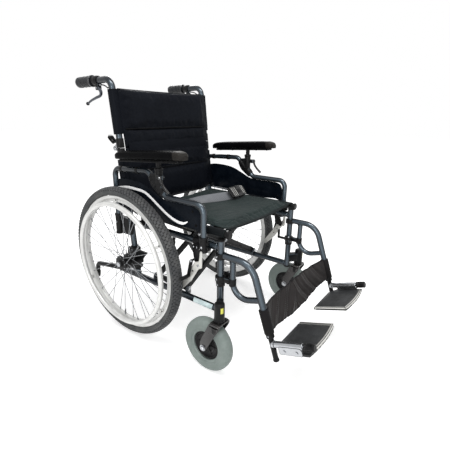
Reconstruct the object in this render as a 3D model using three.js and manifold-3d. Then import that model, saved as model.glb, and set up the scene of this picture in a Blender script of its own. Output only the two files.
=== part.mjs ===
// A folding bariatric wheelchair with a scissor cross-brace, in millimetres, +Z up.
// X runs across the chair and the footplates face -Y. Until the last line, Y is measured
// from the rear axle; the last line moves the origin to the middle of the floor plan.

import * as THREE from 'three';
import Module from 'manifold-3d';
import { mergeVertices } from 'three/addons/utils/BufferGeometryUtils.js';

const wasm = await Module();
wasm.setup();

// Sides of the chair, as the sitter names them.
const RIGHT = -1;
const LEFT = 1;

// Clearances.
const TOUCH_GAP = 0.3;
const SLIDE_GAP = 0.7;
const SWING_GAP = 0.9;
const CUT_OVERRUN = 2;

// Facet counts.
const TUBE_SIDES = 10;
const ROD_SIDES = 8;
const PUSH_SIDES = 6;
const WIRE_SIDES = 3;
const WHEEL_STEPS = 28;
const CASTER_STEPS = 20;
const HUB_STEPS = 10;
const BEND_STEP_DEGREES = 30;

// Side frame tubes.
const FRAME_X = 254;
const TUBE_R = 12.5;
const POST_Y = -428;
const POST_TOP_Z = 480;
const LOWER_RAIL_Z = 218;
const LOWER_RAIL_END_Y = 95;
const UPPER_RAIL_Z = 453;
const CANE_FOOT_Y = 8;
const CANE_LEAN_DEGREES = 6.3;
const TIP_BORE_DEPTH = 62;

// Seat rails and the cross-brace below them.
const RAIL_X = 240;
const RAIL_Z = 497;
const RAIL_FRONT_Y = -449;
const RAIL_REAR_Y = 8;
const RAIL_CAP_LENGTH = 14;
const RAIL_CAP_LIP = 2.5;
const PIVOT_Z = 242;
const BRACE_FRONT_Y = -250;
const BRACE_REAR_Y = -90;
const BAR_THICKNESS = 10;
const BAR_HEIGHT = 26;
const BAR_GAP = 1;
const FOOT_TUBE_R = 11;
const FOOT_PIN_R = 5;
const FOOT_PIN_REACH = 16;
const LUG_THICKNESS = 7;
const LUG_INNER_X = 229;
const LUG_TOP_Z = 254;
const CENTRE_PIN_R = 6;
const CENTRE_HEAD_R = 11;
const CENTRE_HEAD_LENGTH = 5;
const PIN_GAP = 0.6;

// Saddles that the seat rails rest in.
const SADDLE_LENGTH = 34;
const SADDLE_FRONT_Y = -330;
const SADDLE_REAR_Y = -40;
const SADDLE_INNER_X = 224;
const SADDLE_OUTER_X = 250;

// Armrest sockets on the side frame.
const ARM_X = 281;
const ARM_TUBE_R = 11;
const SOCKET_R = 14;
const SOCKET_LOW_Z = 432;
const SOCKET_TOP_Z = 486;
const SOCKET_FRONT_Y = -376;
const SOCKET_REAR_Y = 76;
const SOCKET_BRIDGE_HEIGHT = 16;
const SOCKET_REAR_LOW_Z = 400;
const SOCKET_REAR_BRIDGE_HEIGHT = 70;
const SOCKET_BRIDGE_HALF = 11;

// Caster housing in front of the post, and the caster below it.
const STEM_X = 302;
const STEM_Y = -462;
const HOUSING_R = 18;
const HOUSING_LOW_Z = 214;
const HOUSING_TOP_Z = 276;
const HOUSING_WALL = 7;
const HOUSING_BRIDGE_WIDTH = 26;
const HOUSING_BRIDGE_LOW_Z = 228;
const HOUSING_BRIDGE_TOP_Z = 266;
const POST_COLLAR_R = 16;
const POST_COLLAR_LENGTH = 18;
const STEM_R = 8;
const STEM_WASHER_R = 12;
const CASTER_R = 100;
const CASTER_WIDTH = 44;
const CASTER_TRAIL = 47;
const CASTER_HUB_R = 54;
const CASTER_HUB_WIDTH = 34;
const CASTER_AXLE_R = 6;
const CASTER_NUT_R = 9;
const CASTER_NUT_LENGTH = 6;
const CASTER_BOSS_R = 14;
const CASTER_WEB_HALF = 6;
const CASTER_RIM_DEPTH = 12;
const FORK_LEG_THICKNESS = 5;
const FORK_LEG_GAP = 5;
const FORK_LEG_WIDTH = 26;
const FORK_CROWN_THICKNESS = 6;
const FORK_CROWN_LOW_Z = 204;
const FORK_CROWN_HALF = 20;

// Rear wheel.
const WHEEL_X = 324;
const WHEEL_R = 305;
const TYRE_WIDTH = 46;
const TYRE_HEIGHT = 33;
const RIM_R = WHEEL_R - TYRE_HEIGHT;
const RIM_DEPTH = 26;
const RIM_WIDTH = 30;
const RIM_FLOOR_WIDTH = 16;
const HUB_BARREL_R = 17;
const HUB_FLANGE_R = 31;
const HUB_FLANGE_WIDTH = 4;
const HUB_FLANGE_OFFSET = 17;
const HUB_HALF_WIDTH = 28;
const HUB_END_R = 14;
const AXLE_R = 6;
const AXLE_CAP_R = 10;
const AXLE_CAP_LENGTH = 6;
const SPOKE_COUNT = 36;
const SPOKE_R = 1.5;
const SPOKE_HUB_R = 26;
const SPOKE_LEAN_DEGREES = 38;
const PUSH_RIM_X = 359;
const PUSH_RIM_INSET = 29;
const PUSH_RIM_R = RIM_R - PUSH_RIM_INSET;
const PUSH_TUBE_R = 9.5;
const PUSH_TAB_COUNT = 6;
const PUSH_TAB_WIDTH = 14;
const PUSH_TAB_INSET = 10;

// Axle plate between the side frame and the rear wheel. It reaches past its two clamps,
// and past the axle's boss where that lies beyond them.
const AXLE_PLATE_X = 267.5;
const AXLE_PLATE_THICKNESS = 8;
const AXLE_PLATE_FRONT_Y = -46;
const AXLE_PLATE_REAR_Y = 46;
const AXLE_SPIKE_Y = -76;
const AXLE_SPIKE_RISE = 42;
const AXLE_BOSS_R = 16;
const AXLE_CLAMP_HALF = 17;
const AXLE_CLAMP_HEIGHT = 16;
const AXLE_CLAMP_RISE = 44;
const AXLE_CLAMP_SPACING = 76;
const AXLE_CLAMP_MARGIN = 10;
const AXLE_CLAMP_LOW_Z = LOWER_RAIL_Z + AXLE_CLAMP_RISE;
const AXLE_CLAMP_TOP_Z = AXLE_CLAMP_LOW_Z + AXLE_CLAMP_SPACING;
const AXLE_PLATE_LOW_Z = Math.min(AXLE_CLAMP_LOW_Z - AXLE_CLAMP_MARGIN, WHEEL_R - 2 * AXLE_BOSS_R);
const AXLE_PLATE_TOP_Z = Math.max(AXLE_CLAMP_TOP_Z + AXLE_CLAMP_MARGIN, WHEEL_R + 2 * AXLE_BOSS_R);

// Tip tube behind the lower rail.
const TIP_TUBE_R = 10.5;
const TIP_STRAIGHT_Y = 132;
const TIP_BEND_Y = 304;
const TIP_BEND_Z = 190;
const TIP_END_Y = 318;
const TIP_END_Z = 124;
const TIP_BEND_R = 26;
const TIP_CAP_WALL = 2.5;
const TIP_CAP_FLOOR = 5;
const TIP_CAP_LENGTH = 30;

// Hanger that carries the leg support.
const LEG_LEAN_DEGREES = 19.5;
const LEG_Y = -641;
const LEG_Z = 173.8;
const HANGER_R = 12;
const HANGER_TOP_Z = 427;
const HANGER_STANDOFF = 16;
const HANGER_BEND_R = 72;
const HANGER_END_ALONG = 22;
const INNER_TUBE_R = 10.5;
const INNER_TUBE_Y = -479;
const INNER_TUBE_CORNER_Z = 277;
const INNER_TUBE_MEET_Z = 313;
const INNER_TUBE_BEND_R = 50;
const RING_R = 19;
const RING_HEIGHT = 20;
const UPPER_RING_DROP = 13;
const LOWER_RING_Z = 332;
const RING_ARM_HALF = 7;

// Latch that locks the hanger.
const LATCH_PIVOT_X = 226;
const LATCH_PIVOT_Y = -440;
const LATCH_PIVOT_R = 5;
const LATCH_PLATE_R = 9;
const LATCH_ARM_LENGTH = 52;
const LATCH_ARM_WIDTH = 13;
const LATCH_THICKNESS = 8;
const LATCH_TAB_HEIGHT = 40;
const LATCH_TAB_THICKNESS = 6;

// Sliding leg extension and the footplate on it, measured in the leg's own frame.
const EXTENSION_R = 9;
const EXTENSION_TOP = 146;
const EXTENSION_FOOT = 60;
const EXTENSION_CAP_R = 10.5;
const EXTENSION_CAP_LENGTH = 8;
const LEG_BORE_DEPTH = 138;
const FOOT_PIVOT_R = 6;
const FOOT_PIVOT_END = 150;
const FOOT_KNOB_R = 13;
const FOOT_KNOB_LENGTH = 36;
const FOOT_KNOB_STEPS = 10;
const SLEEVE_R = 11;
const SLEEVE_START = 11;
const SLEEVE_LENGTH = 99;
const PLATE_TOP_DROP = 20;
const PLATE_THICKNESS = 8;
const PLATE_INNER_X = 64;
const PLATE_OUTER_X = 262;
const PLATE_NOSE = 140;
const PLATE_NOSE_CORNER = 130;
const PLATE_HEEL = 2;
const PLATE_HEEL_CUT = 26;
const PLATE_HEEL_CUT_X = 226;
const PLATE_FLANGE_THICKNESS = 4;
const PLATE_LIP_HEIGHT = 6;
const PLATE_LIP_WIDTH = 7;

// Calf strap across the two legs.
const STRAP_LOW = 38;
const STRAP_TOP = 118;
const STRAP_THICKNESS = 4;
const STRAP_BOW = 26;
const STRAP_PLEAT_COUNT = 8;
const STRAP_PLEAT_DEPTH = 1.6;

// Parking brake on the upper rail, ahead of the tyre.
const BRAKE_CLAMP_LENGTH = 28;
const BRAKE_TYRE_GAP = 24;
const BRAKE_REAR_Y = -(WHEEL_R + BRAKE_TYRE_GAP);
const BRAKE_FRONT_Y = BRAKE_REAR_Y - BRAKE_CLAMP_LENGTH;
const BRAKE_CLAMP_WALL = 4;
const BRAKE_PLATE_X = 283;
const BRAKE_PLATE_THICKNESS = 4;
const BRAKE_PIVOT_AHEAD = 9;
const BRAKE_PIVOT_Y = BRAKE_FRONT_Y - BRAKE_PIVOT_AHEAD;
const BRAKE_PIVOT_Z = 386;
const BRAKE_PIN_R = 4;
const BRAKE_LEVER_X = ARM_X + SOCKET_R + SLIDE_GAP;
const BRAKE_LEVER_THICKNESS = 4;
const BRAKE_LEVER_REACH = 94;
const BRAKE_LEVER_DROP = 118;
const BRAKE_SHOE_PIVOT_AHEAD = 9;
const BRAKE_SHOE_PIVOT_Y = BRAKE_REAR_Y - BRAKE_SHOE_PIVOT_AHEAD;
const BRAKE_SHOE_PIVOT_Z = 398;
const BRAKE_SHOE_X = BRAKE_LEVER_X + BRAKE_LEVER_THICKNESS + SLIDE_GAP;
const BRAKE_SHOE_THICKNESS = 4;
const BRAKE_SHOE_GAP = 17;
const BRAKE_SHOE_DROP = 62;
const BRAKE_SHOE_Y = -(WHEEL_R + BRAKE_SHOE_GAP);
const BRAKE_SHOE_Z = BRAKE_SHOE_PIVOT_Z - BRAKE_SHOE_DROP;
const BRAKE_SHOE_R = 7;
const BRAKE_SHOE_END_X = 345;

// Back canes, hinge and push handles. The hinge stands at a share of the cane's length.
const HANDLE_Z = 992;
const CANE_LENGTH = (HANDLE_Z - LOWER_RAIL_Z)
  / Math.cos(THREE.MathUtils.degToRad(CANE_LEAN_DEGREES));
const HINGE_SHARE = 0.678;
const HINGE_ALONG = HINGE_SHARE * CANE_LENGTH;
const HINGE_OFFSET = 26;
const HINGE_COLLAR_R = 15;
const HINGE_COLLAR_LENGTH = 36;
const KNUCKLE_R = 8.5;
const KNUCKLE_WIDTH = 10;
const CHEEK_THICKNESS = 4.5;
const HINGE_PIN_R = 4;
const HANDLE_END_Y = 300;
const HANDLE_DROP = 7;
const HANDLE_BEND_R = 36;
const GRIP_START_Y = 207;
const GRIP_END_Y = 311;
const GRIP_R = 19;
const GRIP_WALL_END = 6;
const GRIP_COLLAR_R = 21;
const GRIP_COLLAR_LENGTH = 12;
const GRIP_STEPS = 12;

// Attendant's brake lever and its cable.
const BRAKE_MOUNT_START_Y = 170;
const BRAKE_MOUNT_END_Y = 202;
const BRAKE_MOUNT_R = 17;
const ATTENDANT_PIVOT_Y = 176;
const ATTENDANT_PIVOT_DROP = 30;
const ATTENDANT_PIVOT_Z = HANDLE_Z - ATTENDANT_PIVOT_DROP;
const ATTENDANT_PIN_R = 3;
const ATTENDANT_BOSS_R = 8;
const ATTENDANT_WIDTH = 12;
const ATTENDANT_THICKNESS = 7;
const ATTENDANT_ELBOW_Y = 160;
const ATTENDANT_ELBOW_DROP = 28;
const ATTENDANT_ELBOW_Z = ATTENDANT_PIVOT_Z - ATTENDANT_ELBOW_DROP;
const ATTENDANT_TIP_Y = 264;
const ATTENDANT_TIP_DROP = 34;
const ATTENDANT_TIP_Z = ATTENDANT_ELBOW_Z - ATTENDANT_TIP_DROP;
const CABLE_R = 2.4;
const CABLE_SWEEP = 40;
const CABLE_PULL_SHARE = 0.6;
const CABLE_GROMMET_R = 4.5;
const CABLE_GROMMET_LENGTH = 7;
const CABLE_ENTRY_DROP = 28;
const CABLE_ENTRY_Z = HANDLE_Z - CABLE_ENTRY_DROP;

// Back release lever behind each hinge.
const RELEASE_PIVOT_RISE = 24;
const RELEASE_PIVOT_ALONG = HINGE_ALONG + RELEASE_PIVOT_RISE;
const RELEASE_PIVOT_BACK = 30;
const RELEASE_PIN_R = 3.5;
const RELEASE_BOSS_R = 7;
const RELEASE_LENGTH = 30;
const RELEASE_RISE = 20;
const RELEASE_WIDTH = 22;
const RELEASE_THICKNESS = 7;

// Armrest.
const ARM_FOOT_Z = 437;
const ARM_TOP_REAR_Z = 668;
const ARM_TOP_FRONT_Z = 676;
const ARM_DROP_START_Y = -116;
const ARM_DROP_END_Y = -206;
const ARM_FRONT_Z = 594;
const ARM_BEND_R = 30;
const ARM_POST_Y = -172;
const ARM_POST_R = 9;
const ARM_POST_LOW_Z = 640;
const ARM_CLAMP_R = 14;
const ARM_CLAMP_LOW_Z = 634;
const ARM_CLAMP_TOP_Z = 694;
const PAD_TILT_DEGREES = 4;
const PAD_X = 290;
const PAD_WIDTH = 56;
const PAD_REAR = 208;
const PAD_FRONT = 136;
const PAD_THICKNESS = 30;
const PAD_POST_SHOW = 28;
const PAD_BASE_Z = Math.max(ARM_CLAMP_TOP_Z + PAD_POST_SHOW, 2 * WHEEL_R + PAD_THICKNESS);
const PAD_CROWN = 5;
const PAD_ROUND = 12;
const PAD_CARRIER_WIDTH = 30;
const PAD_CARRIER_THICKNESS = 8;
const PAD_CARRIER_INSET = 20;
const ARM_LEVER_Y = -196;
const ARM_LEVER_Z = 664;
const ARM_LEVER_X = ARM_X + ARM_CLAMP_R + SLIDE_GAP;
const ARM_LEVER_THICKNESS = 5;
const ARM_LEVER_PIN_R = 3;
const ARM_LEVER_BOSS_R = 8;
const ARM_LEVER_END_Y = -236;
const ARM_LEVER_END_Z = 612;
const ARM_LEVER_WIDTH = 11;

// Side panel inside the armrest frame.
const PANEL_THICKNESS = 4;
const PANEL_GAP = 0.5;
const PANEL_RISE = 52;
const PANEL_DROP = 90;

// Seat sling.
const SEAT_FRONT_Y = -437;
const SEAT_REAR_Y = 4;
const SEAT_EDGE = 5;
const SEAT_SAG = 12;
const SEAT_CROWN = 15;
const SEAT_HALF_STEPS = 10;

// Back upholstery, measured up the canes from the lower rail.
const BACK_HALF_WIDTH = 247;
const BACK_SEAT_GAP = 316;
const BACK_TOP_DROP = 36.7;
const BACK_TOP = CANE_LENGTH - BACK_TOP_DROP;
const BACK_FACE_GAP = 1;
const BACK_THICKNESS = 13;
const BACK_CROWN = 6;
const BACK_SAG = 16;
const BACK_SEAM_UPPER_SHARE = 0.308;
const BACK_SEAM_LOWER_SHARE = 0.65;
const BACK_SEAM_UPPER = HINGE_ALONG + BACK_SEAM_UPPER_SHARE * (BACK_TOP - HINGE_ALONG);
const BACK_SEAM_LOWER = BACK_SEAT_GAP + BACK_SEAM_LOWER_SHARE * (HINGE_ALONG - BACK_SEAT_GAP);
const BACK_SEAM_DEPTH = 4;
const BACK_EDGE = 4;
const BACK_PARTING = 1;
const SLEEVE_WALL = 2.2;
const SLEEVE_HINGE_GAP = 8;
const SLEEVE_RELEASE_GAP = 16;
const SLEEVE_LOWER_TOP = HINGE_ALONG - HINGE_COLLAR_LENGTH - SLEEVE_HINGE_GAP;
const SLEEVE_UPPER_LOW = HINGE_ALONG + HINGE_COLLAR_LENGTH + SLEEVE_RELEASE_GAP;

// Lap belt and its buckle on the seat.
const BELT_WIDTH = 38;
const BELT_THICKNESS = 2.4;
const BELT_LIFT = 0.9;
const BUCKLE_X = 122;
const BUCKLE_Y = -218;
const BUCKLE_LENGTH = 64;
const BUCKLE_WIDTH = 50;
const BUCKLE_HEIGHT = 14;

// Shapes.

const radians = THREE.MathUtils.degToRad;
const LEG_LEAN = radians(LEG_LEAN_DEGREES);
const CANE_LEAN = radians(CANE_LEAN_DEGREES);

const CANE_FRAME = new THREE.Matrix4()
  .makeTranslation(0, CANE_FOOT_Y, LOWER_RAIL_Z)
  .multiply(new THREE.Matrix4().makeRotationX(-CANE_LEAN));
const LEG_FRAME = new THREE.Matrix4()
  .makeTranslation(0, LEG_Y, LEG_Z)
  .multiply(new THREE.Matrix4().makeRotationX(-LEG_LEAN));

// A path through hand-picked points, so that a swept tube's rings stand exactly on them.
class PointPath extends THREE.Curve {
  constructor(points) {
    super();
    this.points = points;
  }

  getPoint(t, target = new THREE.Vector3()) {
    const last = this.points.length - 1;
    const place = Math.min(Math.max(t, 0), 1) * last;
    const index = Math.min(Math.floor(place), last - 1);
    return target.lerpVectors(this.points[index], this.points[index + 1], place - index);
  }

  getPointAt(u, target) {
    return this.getPoint(u, target);
  }

  getTangent(t, target = new THREE.Vector3()) {
    const last = this.points.length - 1;
    const index = Math.round(t * last);
    const here = this.points[index];
    const before = this.points[Math.max(index - 1, 0)];
    const after = this.points[Math.min(index + 1, last)];
    const arriving = here.clone().sub(before).normalize();
    const leaving = after.clone().sub(here).normalize();
    return target.copy(arriving).add(leaving).normalize();
  }

  getTangentAt(u, target) {
    return this.getTangent(u, target);
  }
}

function circleOutline(radius, sides) {
  const outline = [];
  for (let i = 0; i < sides; i += 1) {
    const angle = (2 * Math.PI * i) / sides;
    outline.push([radius * Math.cos(angle), radius * Math.sin(angle)]);
  }
  return outline;
}

function shapeOf(outline) {
  return new THREE.Shape(outline.map(([u, v]) => new THREE.Vector2(u, v)));
}

// Corners with a bend radius become the ring places of a bent tube.
function bentPoints(corners, bendRadius) {
  const places = [corners[0]];
  for (let i = 1; i < corners.length - 1; i += 1) {
    const corner = corners[i];
    const back = corners[i - 1].clone().sub(corner).normalize();
    const ahead = corners[i + 1].clone().sub(corner).normalize();
    const half = back.angleTo(ahead) / 2;
    const turn = Math.PI - 2 * half;
    const steps = Math.max(2, Math.ceil(turn / radians(BEND_STEP_DEGREES)));
    const middle = back.clone().add(ahead).normalize();
    const centre = corner.clone().addScaledVector(middle, bendRadius / Math.sin(half));
    const start = corner.clone().addScaledVector(back, bendRadius / Math.tan(half)).sub(centre);
    const axis = new THREE.Vector3().crossVectors(back, ahead).normalize().negate();
    for (let k = 0; k <= steps; k += 1) {
      places.push(start.clone().applyAxisAngle(axis, (turn * k) / steps).add(centre));
    }
  }
  places.push(corners[corners.length - 1]);
  return places;
}

function sweep(points, radius, sides = TUBE_SIDES) {
  return new THREE.ExtrudeGeometry(shapeOf(circleOutline(radius, sides)), {
    steps: points.length - 1,
    bevelEnabled: false,
    extrudePath: new PointPath(points),
  });
}

function rod(from, to, radius, sides = TUBE_SIDES) {
  return sweep([from, to], radius, sides);
}

function tube(corners, bendRadius, radius, sides = TUBE_SIDES) {
  return sweep(bentPoints(corners, bendRadius), radius, sides);
}

function point(x, y, z) {
  return new THREE.Vector3(x, y, z);
}

// A plate whose outline lies square to one axis: [y, z] for x, [x, z] for y, [x, y] for z.
function plate(axis, outline, from, to) {
  const drawn = axis === 'y' ? outline.map(([u, v]) => [v, u]) : outline;
  const geometry = new THREE.ExtrudeGeometry(shapeOf(drawn), {
    depth: Math.abs(to - from),
    bevelEnabled: false,
  });
  geometry.translate(0, 0, Math.min(from, to));
  const turn = new THREE.Matrix4();
  if (axis === 'x') {
    turn.makeBasis(point(0, 1, 0), point(0, 0, 1), point(1, 0, 0));
  }
  if (axis === 'y') {
    turn.makeBasis(point(0, 0, 1), point(1, 0, 0), point(0, 1, 0));
  }
  return geometry.applyMatrix4(turn);
}

function block(x0, x1, y0, y1, z0, z1) {
  const geometry = new THREE.BoxGeometry(Math.abs(x1 - x0), Math.abs(y1 - y0), Math.abs(z1 - z0));
  return geometry.translate((x0 + x1) / 2, (y0 + y1) / 2, (z0 + z1) / 2);
}

// A ring or disc turned about an axis along X; the profile is [distance along X, radius].
function turnedX(profile, y, z, steps) {
  const geometry = new THREE.LatheGeometry(
    profile.map(([along, radius]) => new THREE.Vector2(radius, along)),
    steps,
  );
  geometry.rotateX(Math.PI / 2);
  geometry.rotateY(Math.PI / 2);
  return geometry.translate(0, y, z);
}

// Two closed sheets joined round their edge: place(u, v, front) gives each point.
function padded(acrossSteps, alongSteps, place) {
  const positions = [];
  const indices = [];
  const columns = alongSteps + 1;
  const sheetSize = (acrossSteps + 1) * columns;
  for (const front of [true, false]) {
    for (let i = 0; i <= acrossSteps; i += 1) {
      for (let j = 0; j <= alongSteps; j += 1) {
        positions.push(...place(i / acrossSteps, j / alongSteps, front));
      }
    }
  }
  const quad = (a, b, c, d) => indices.push(a, b, c, a, c, d);
  for (let i = 0; i < acrossSteps; i += 1) {
    for (let j = 0; j < alongSteps; j += 1) {
      const a = i * columns + j;
      const b = a + columns;
      quad(a, b, b + 1, a + 1);
      quad(sheetSize + a, sheetSize + a + 1, sheetSize + b + 1, sheetSize + b);
    }
  }
  for (let i = 0; i < acrossSteps; i += 1) {
    const a = i * columns;
    const b = a + columns;
    quad(a, a + sheetSize, b + sheetSize, b);
    quad(a + alongSteps, b + alongSteps, b + alongSteps + sheetSize, a + alongSteps + sheetSize);
  }
  const far = acrossSteps * columns;
  for (let j = 0; j < alongSteps; j += 1) {
    quad(j, j + 1, j + 1 + sheetSize, j + sheetSize);
    quad(far + j, far + j + sheetSize, far + j + 1 + sheetSize, far + j + 1);
  }
  const geometry = new THREE.BufferGeometry();
  geometry.setAttribute('position', new THREE.Float32BufferAttribute(positions, 3));
  geometry.setIndex(indices);
  return geometry;
}

// Solids.

function toSolid(geometry) {
  const bare = geometry.clone();
  bare.deleteAttribute('normal');
  bare.deleteAttribute('uv');
  const merged = mergeVertices(bare);
  const index = merged.index.array;
  const kept = [];
  for (let i = 0; i < index.length; i += 3) {
    const [a, b, c] = [index[i], index[i + 1], index[i + 2]];
    if (a !== b && b !== c && a !== c) {
      kept.push(a, b, c);
    }
  }
  const build = (triangles) => new wasm.Manifold(new wasm.Mesh({
    numProp: 3,
    vertProperties: new Float32Array(merged.attributes.position.array),
    triVerts: new Uint32Array(triangles),
  }));
  const solid = build(kept);
  if (solid.volume() >= 0) {
    return solid;
  }
  const flipped = [];
  for (let i = 0; i < kept.length; i += 3) {
    flipped.push(kept[i], kept[i + 2], kept[i + 1]);
  }
  return build(flipped);
}

function join(geometries) {
  return geometries.map(toSolid).reduce((all, one) => all.add(one));
}

function cut(solid, geometries) {
  return geometries.map(toSolid).reduce((rest, tool) => rest.subtract(tool), solid);
}

function placed(geometries, frame) {
  return geometries.map((geometry) => geometry.applyMatrix4(frame));
}

function node(name, solid, colour, roughness, metalness) {
  const mesh = solid.getMesh();
  const geometry = new THREE.BufferGeometry();
  const positions = [];
  for (let i = 0; i < mesh.numVert; i += 1) {
    positions.push(...mesh.vertProperties.slice(i * mesh.numProp, i * mesh.numProp + 3));
  }
  geometry.setAttribute('position', new THREE.Float32BufferAttribute(positions, 3));
  geometry.setIndex(Array.from(mesh.triVerts));
  const material = new THREE.MeshStandardMaterial({ color: colour, roughness, metalness });
  const part = new THREE.Mesh(geometry, material);
  part.name = name;
  return part;
}

function named(base, side) {
  return `${base}_${side === RIGHT ? 'right' : 'left'}`;
}

// Colours read from the photograph.
const FRAME_BLUE = 0x2d3a46;
const SATIN_BLACK = 0x17181a;
const SILVER = 0xc9cbcc;
const CHROME = 0xd8dadb;
const TYRE_GREY = 0x3a3b3d;
const CASTER_GREY = 0x7d8883;
const FORK_GREY = 0x3c3836;
const SEAT_GREEN = 0x2d3734;
const BACK_BLACK = 0x1e2224;
const STRAP_GREY = 0x403d3d;
const PANEL_BLUE = 0x1b242b;
const PAD_BLACK = 0x1a1b1c;
const GRIP_GREY = 0x33363a;
const BELT_GREY = 0x55575a;

// Places worked out from the sizes above.
const ALONG_LEG = point(0, Math.sin(LEG_LEAN), Math.cos(LEG_LEAN));
const legPoint = (x, along) => point(x, LEG_Y, LEG_Z).addScaledVector(ALONG_LEG, along);
const caneY = (z) => CANE_FOOT_Y + (z - LOWER_RAIL_Z) * Math.tan(CANE_LEAN);
const canePoint = (x, along) => point(x, 0, along).applyMatrix4(CANE_FRAME);
const BRACE_HALF_GAP = (BAR_THICKNESS + BAR_GAP) / 2;
const BRACE_RISE = RAIL_Z - PIVOT_Z;
const BRACE_ANGLE = Math.atan2(BRACE_RISE, 2 * RAIL_X);
const BRACE_LENGTH = Math.hypot(BRACE_RISE, 2 * RAIL_X);
const HANDLE_SLOPE = HANDLE_DROP / (HANDLE_END_Y - caneY(HANDLE_Z));
const handleZ = (y) => HANDLE_Z - (y - caneY(HANDLE_Z)) * HANDLE_SLOPE;

// Each brace half leans across the chair in front of (-1) or behind (+1) its partner.
function braceY(base, order) {
  return base + order * BRACE_HALF_GAP;
}

const BRACES = [
  { name: 'brace_a', footSide: RIGHT, order: -1 },
  { name: 'brace_b', footSide: LEFT, order: 1 },
];

function footRange(order) {
  const half = BAR_THICKNESS / 2;
  return [braceY(BRACE_FRONT_Y, order) - half, braceY(BRACE_REAR_Y, order) + half];
}

// Side frame.

function pivotLugs(side) {
  const { order } = BRACES.find((brace) => brace.footSide === side);
  const [front, rear] = footRange(order);
  const lugs = [];
  for (const [face, outward] of [[front, -1], [rear, 1]]) {
    const near = face + outward * PIN_GAP;
    const far = near + outward * LUG_THICKNESS;
    lugs.push(block(
      side * LUG_INNER_X,
      side * FRAME_X,
      near,
      far,
      LOWER_RAIL_Z,
      LUG_TOP_Z,
    ));
    lugs.push(rod(
      point(side * RAIL_X, far - outward * LUG_THICKNESS / 2, PIVOT_Z),
      point(side * RAIL_X, near - outward * FOOT_PIN_REACH, PIVOT_Z),
      FOOT_PIN_R,
      ROD_SIDES,
    ));
  }
  return lugs;
}

function casterHousing(side) {
  const x = side * STEM_X;
  const run = point(x - side * FRAME_X, STEM_Y - POST_Y, 0);
  const across = point(-run.y, run.x, 0).normalize().multiplyScalar(HOUSING_BRIDGE_WIDTH / 2);
  const bridge = [
    [side * FRAME_X + across.x, POST_Y + across.y],
    [x + across.x, STEM_Y + across.y],
    [x - across.x, STEM_Y - across.y],
    [side * FRAME_X - across.x, POST_Y - across.y],
  ];
  return [
    rod(point(x, STEM_Y, HOUSING_LOW_Z), point(x, STEM_Y, HOUSING_TOP_Z), HOUSING_R),
    plate('z', bridge, HOUSING_BRIDGE_LOW_Z, HOUSING_BRIDGE_TOP_Z),
  ];
}

function saddle(side, y) {
  return block(
    side * SADDLE_INNER_X,
    side * SADDLE_OUTER_X,
    y - SADDLE_LENGTH / 2,
    y + SADDLE_LENGTH / 2,
    UPPER_RAIL_Z,
    RAIL_Z - BAR_GAP,
  );
}

function armSocket(side, y, low, bridgeFromY, bridgeHeight) {
  const x = side * ARM_X;
  return [
    rod(point(x, y, low), point(x, y, SOCKET_TOP_Z), SOCKET_R),
    block(
      side * FRAME_X,
      x,
      Math.min(bridgeFromY, y) - SOCKET_BRIDGE_HALF,
      Math.max(bridgeFromY, y) + SOCKET_BRIDGE_HALF,
      low,
      low + bridgeHeight,
    ),
  ];
}

function lowerHinge(side) {
  const x = side * FRAME_X;
  const top = HINGE_ALONG - BAR_GAP / 2;
  return placed([
    rod(point(x, 0, top - HINGE_COLLAR_LENGTH), point(x, 0, top), HINGE_COLLAR_R),
    block(
      x - KNUCKLE_WIDTH / 2,
      x + KNUCKLE_WIDTH / 2,
      0,
      HINGE_OFFSET,
      top - 2 * KNUCKLE_R,
      top - BAR_GAP,
    ),
    rod(
      point(x - KNUCKLE_WIDTH / 2, HINGE_OFFSET, HINGE_ALONG),
      point(x + KNUCKLE_WIDTH / 2, HINGE_OFFSET, HINGE_ALONG),
      KNUCKLE_R,
    ),
  ], CANE_FRAME);
}

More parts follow.
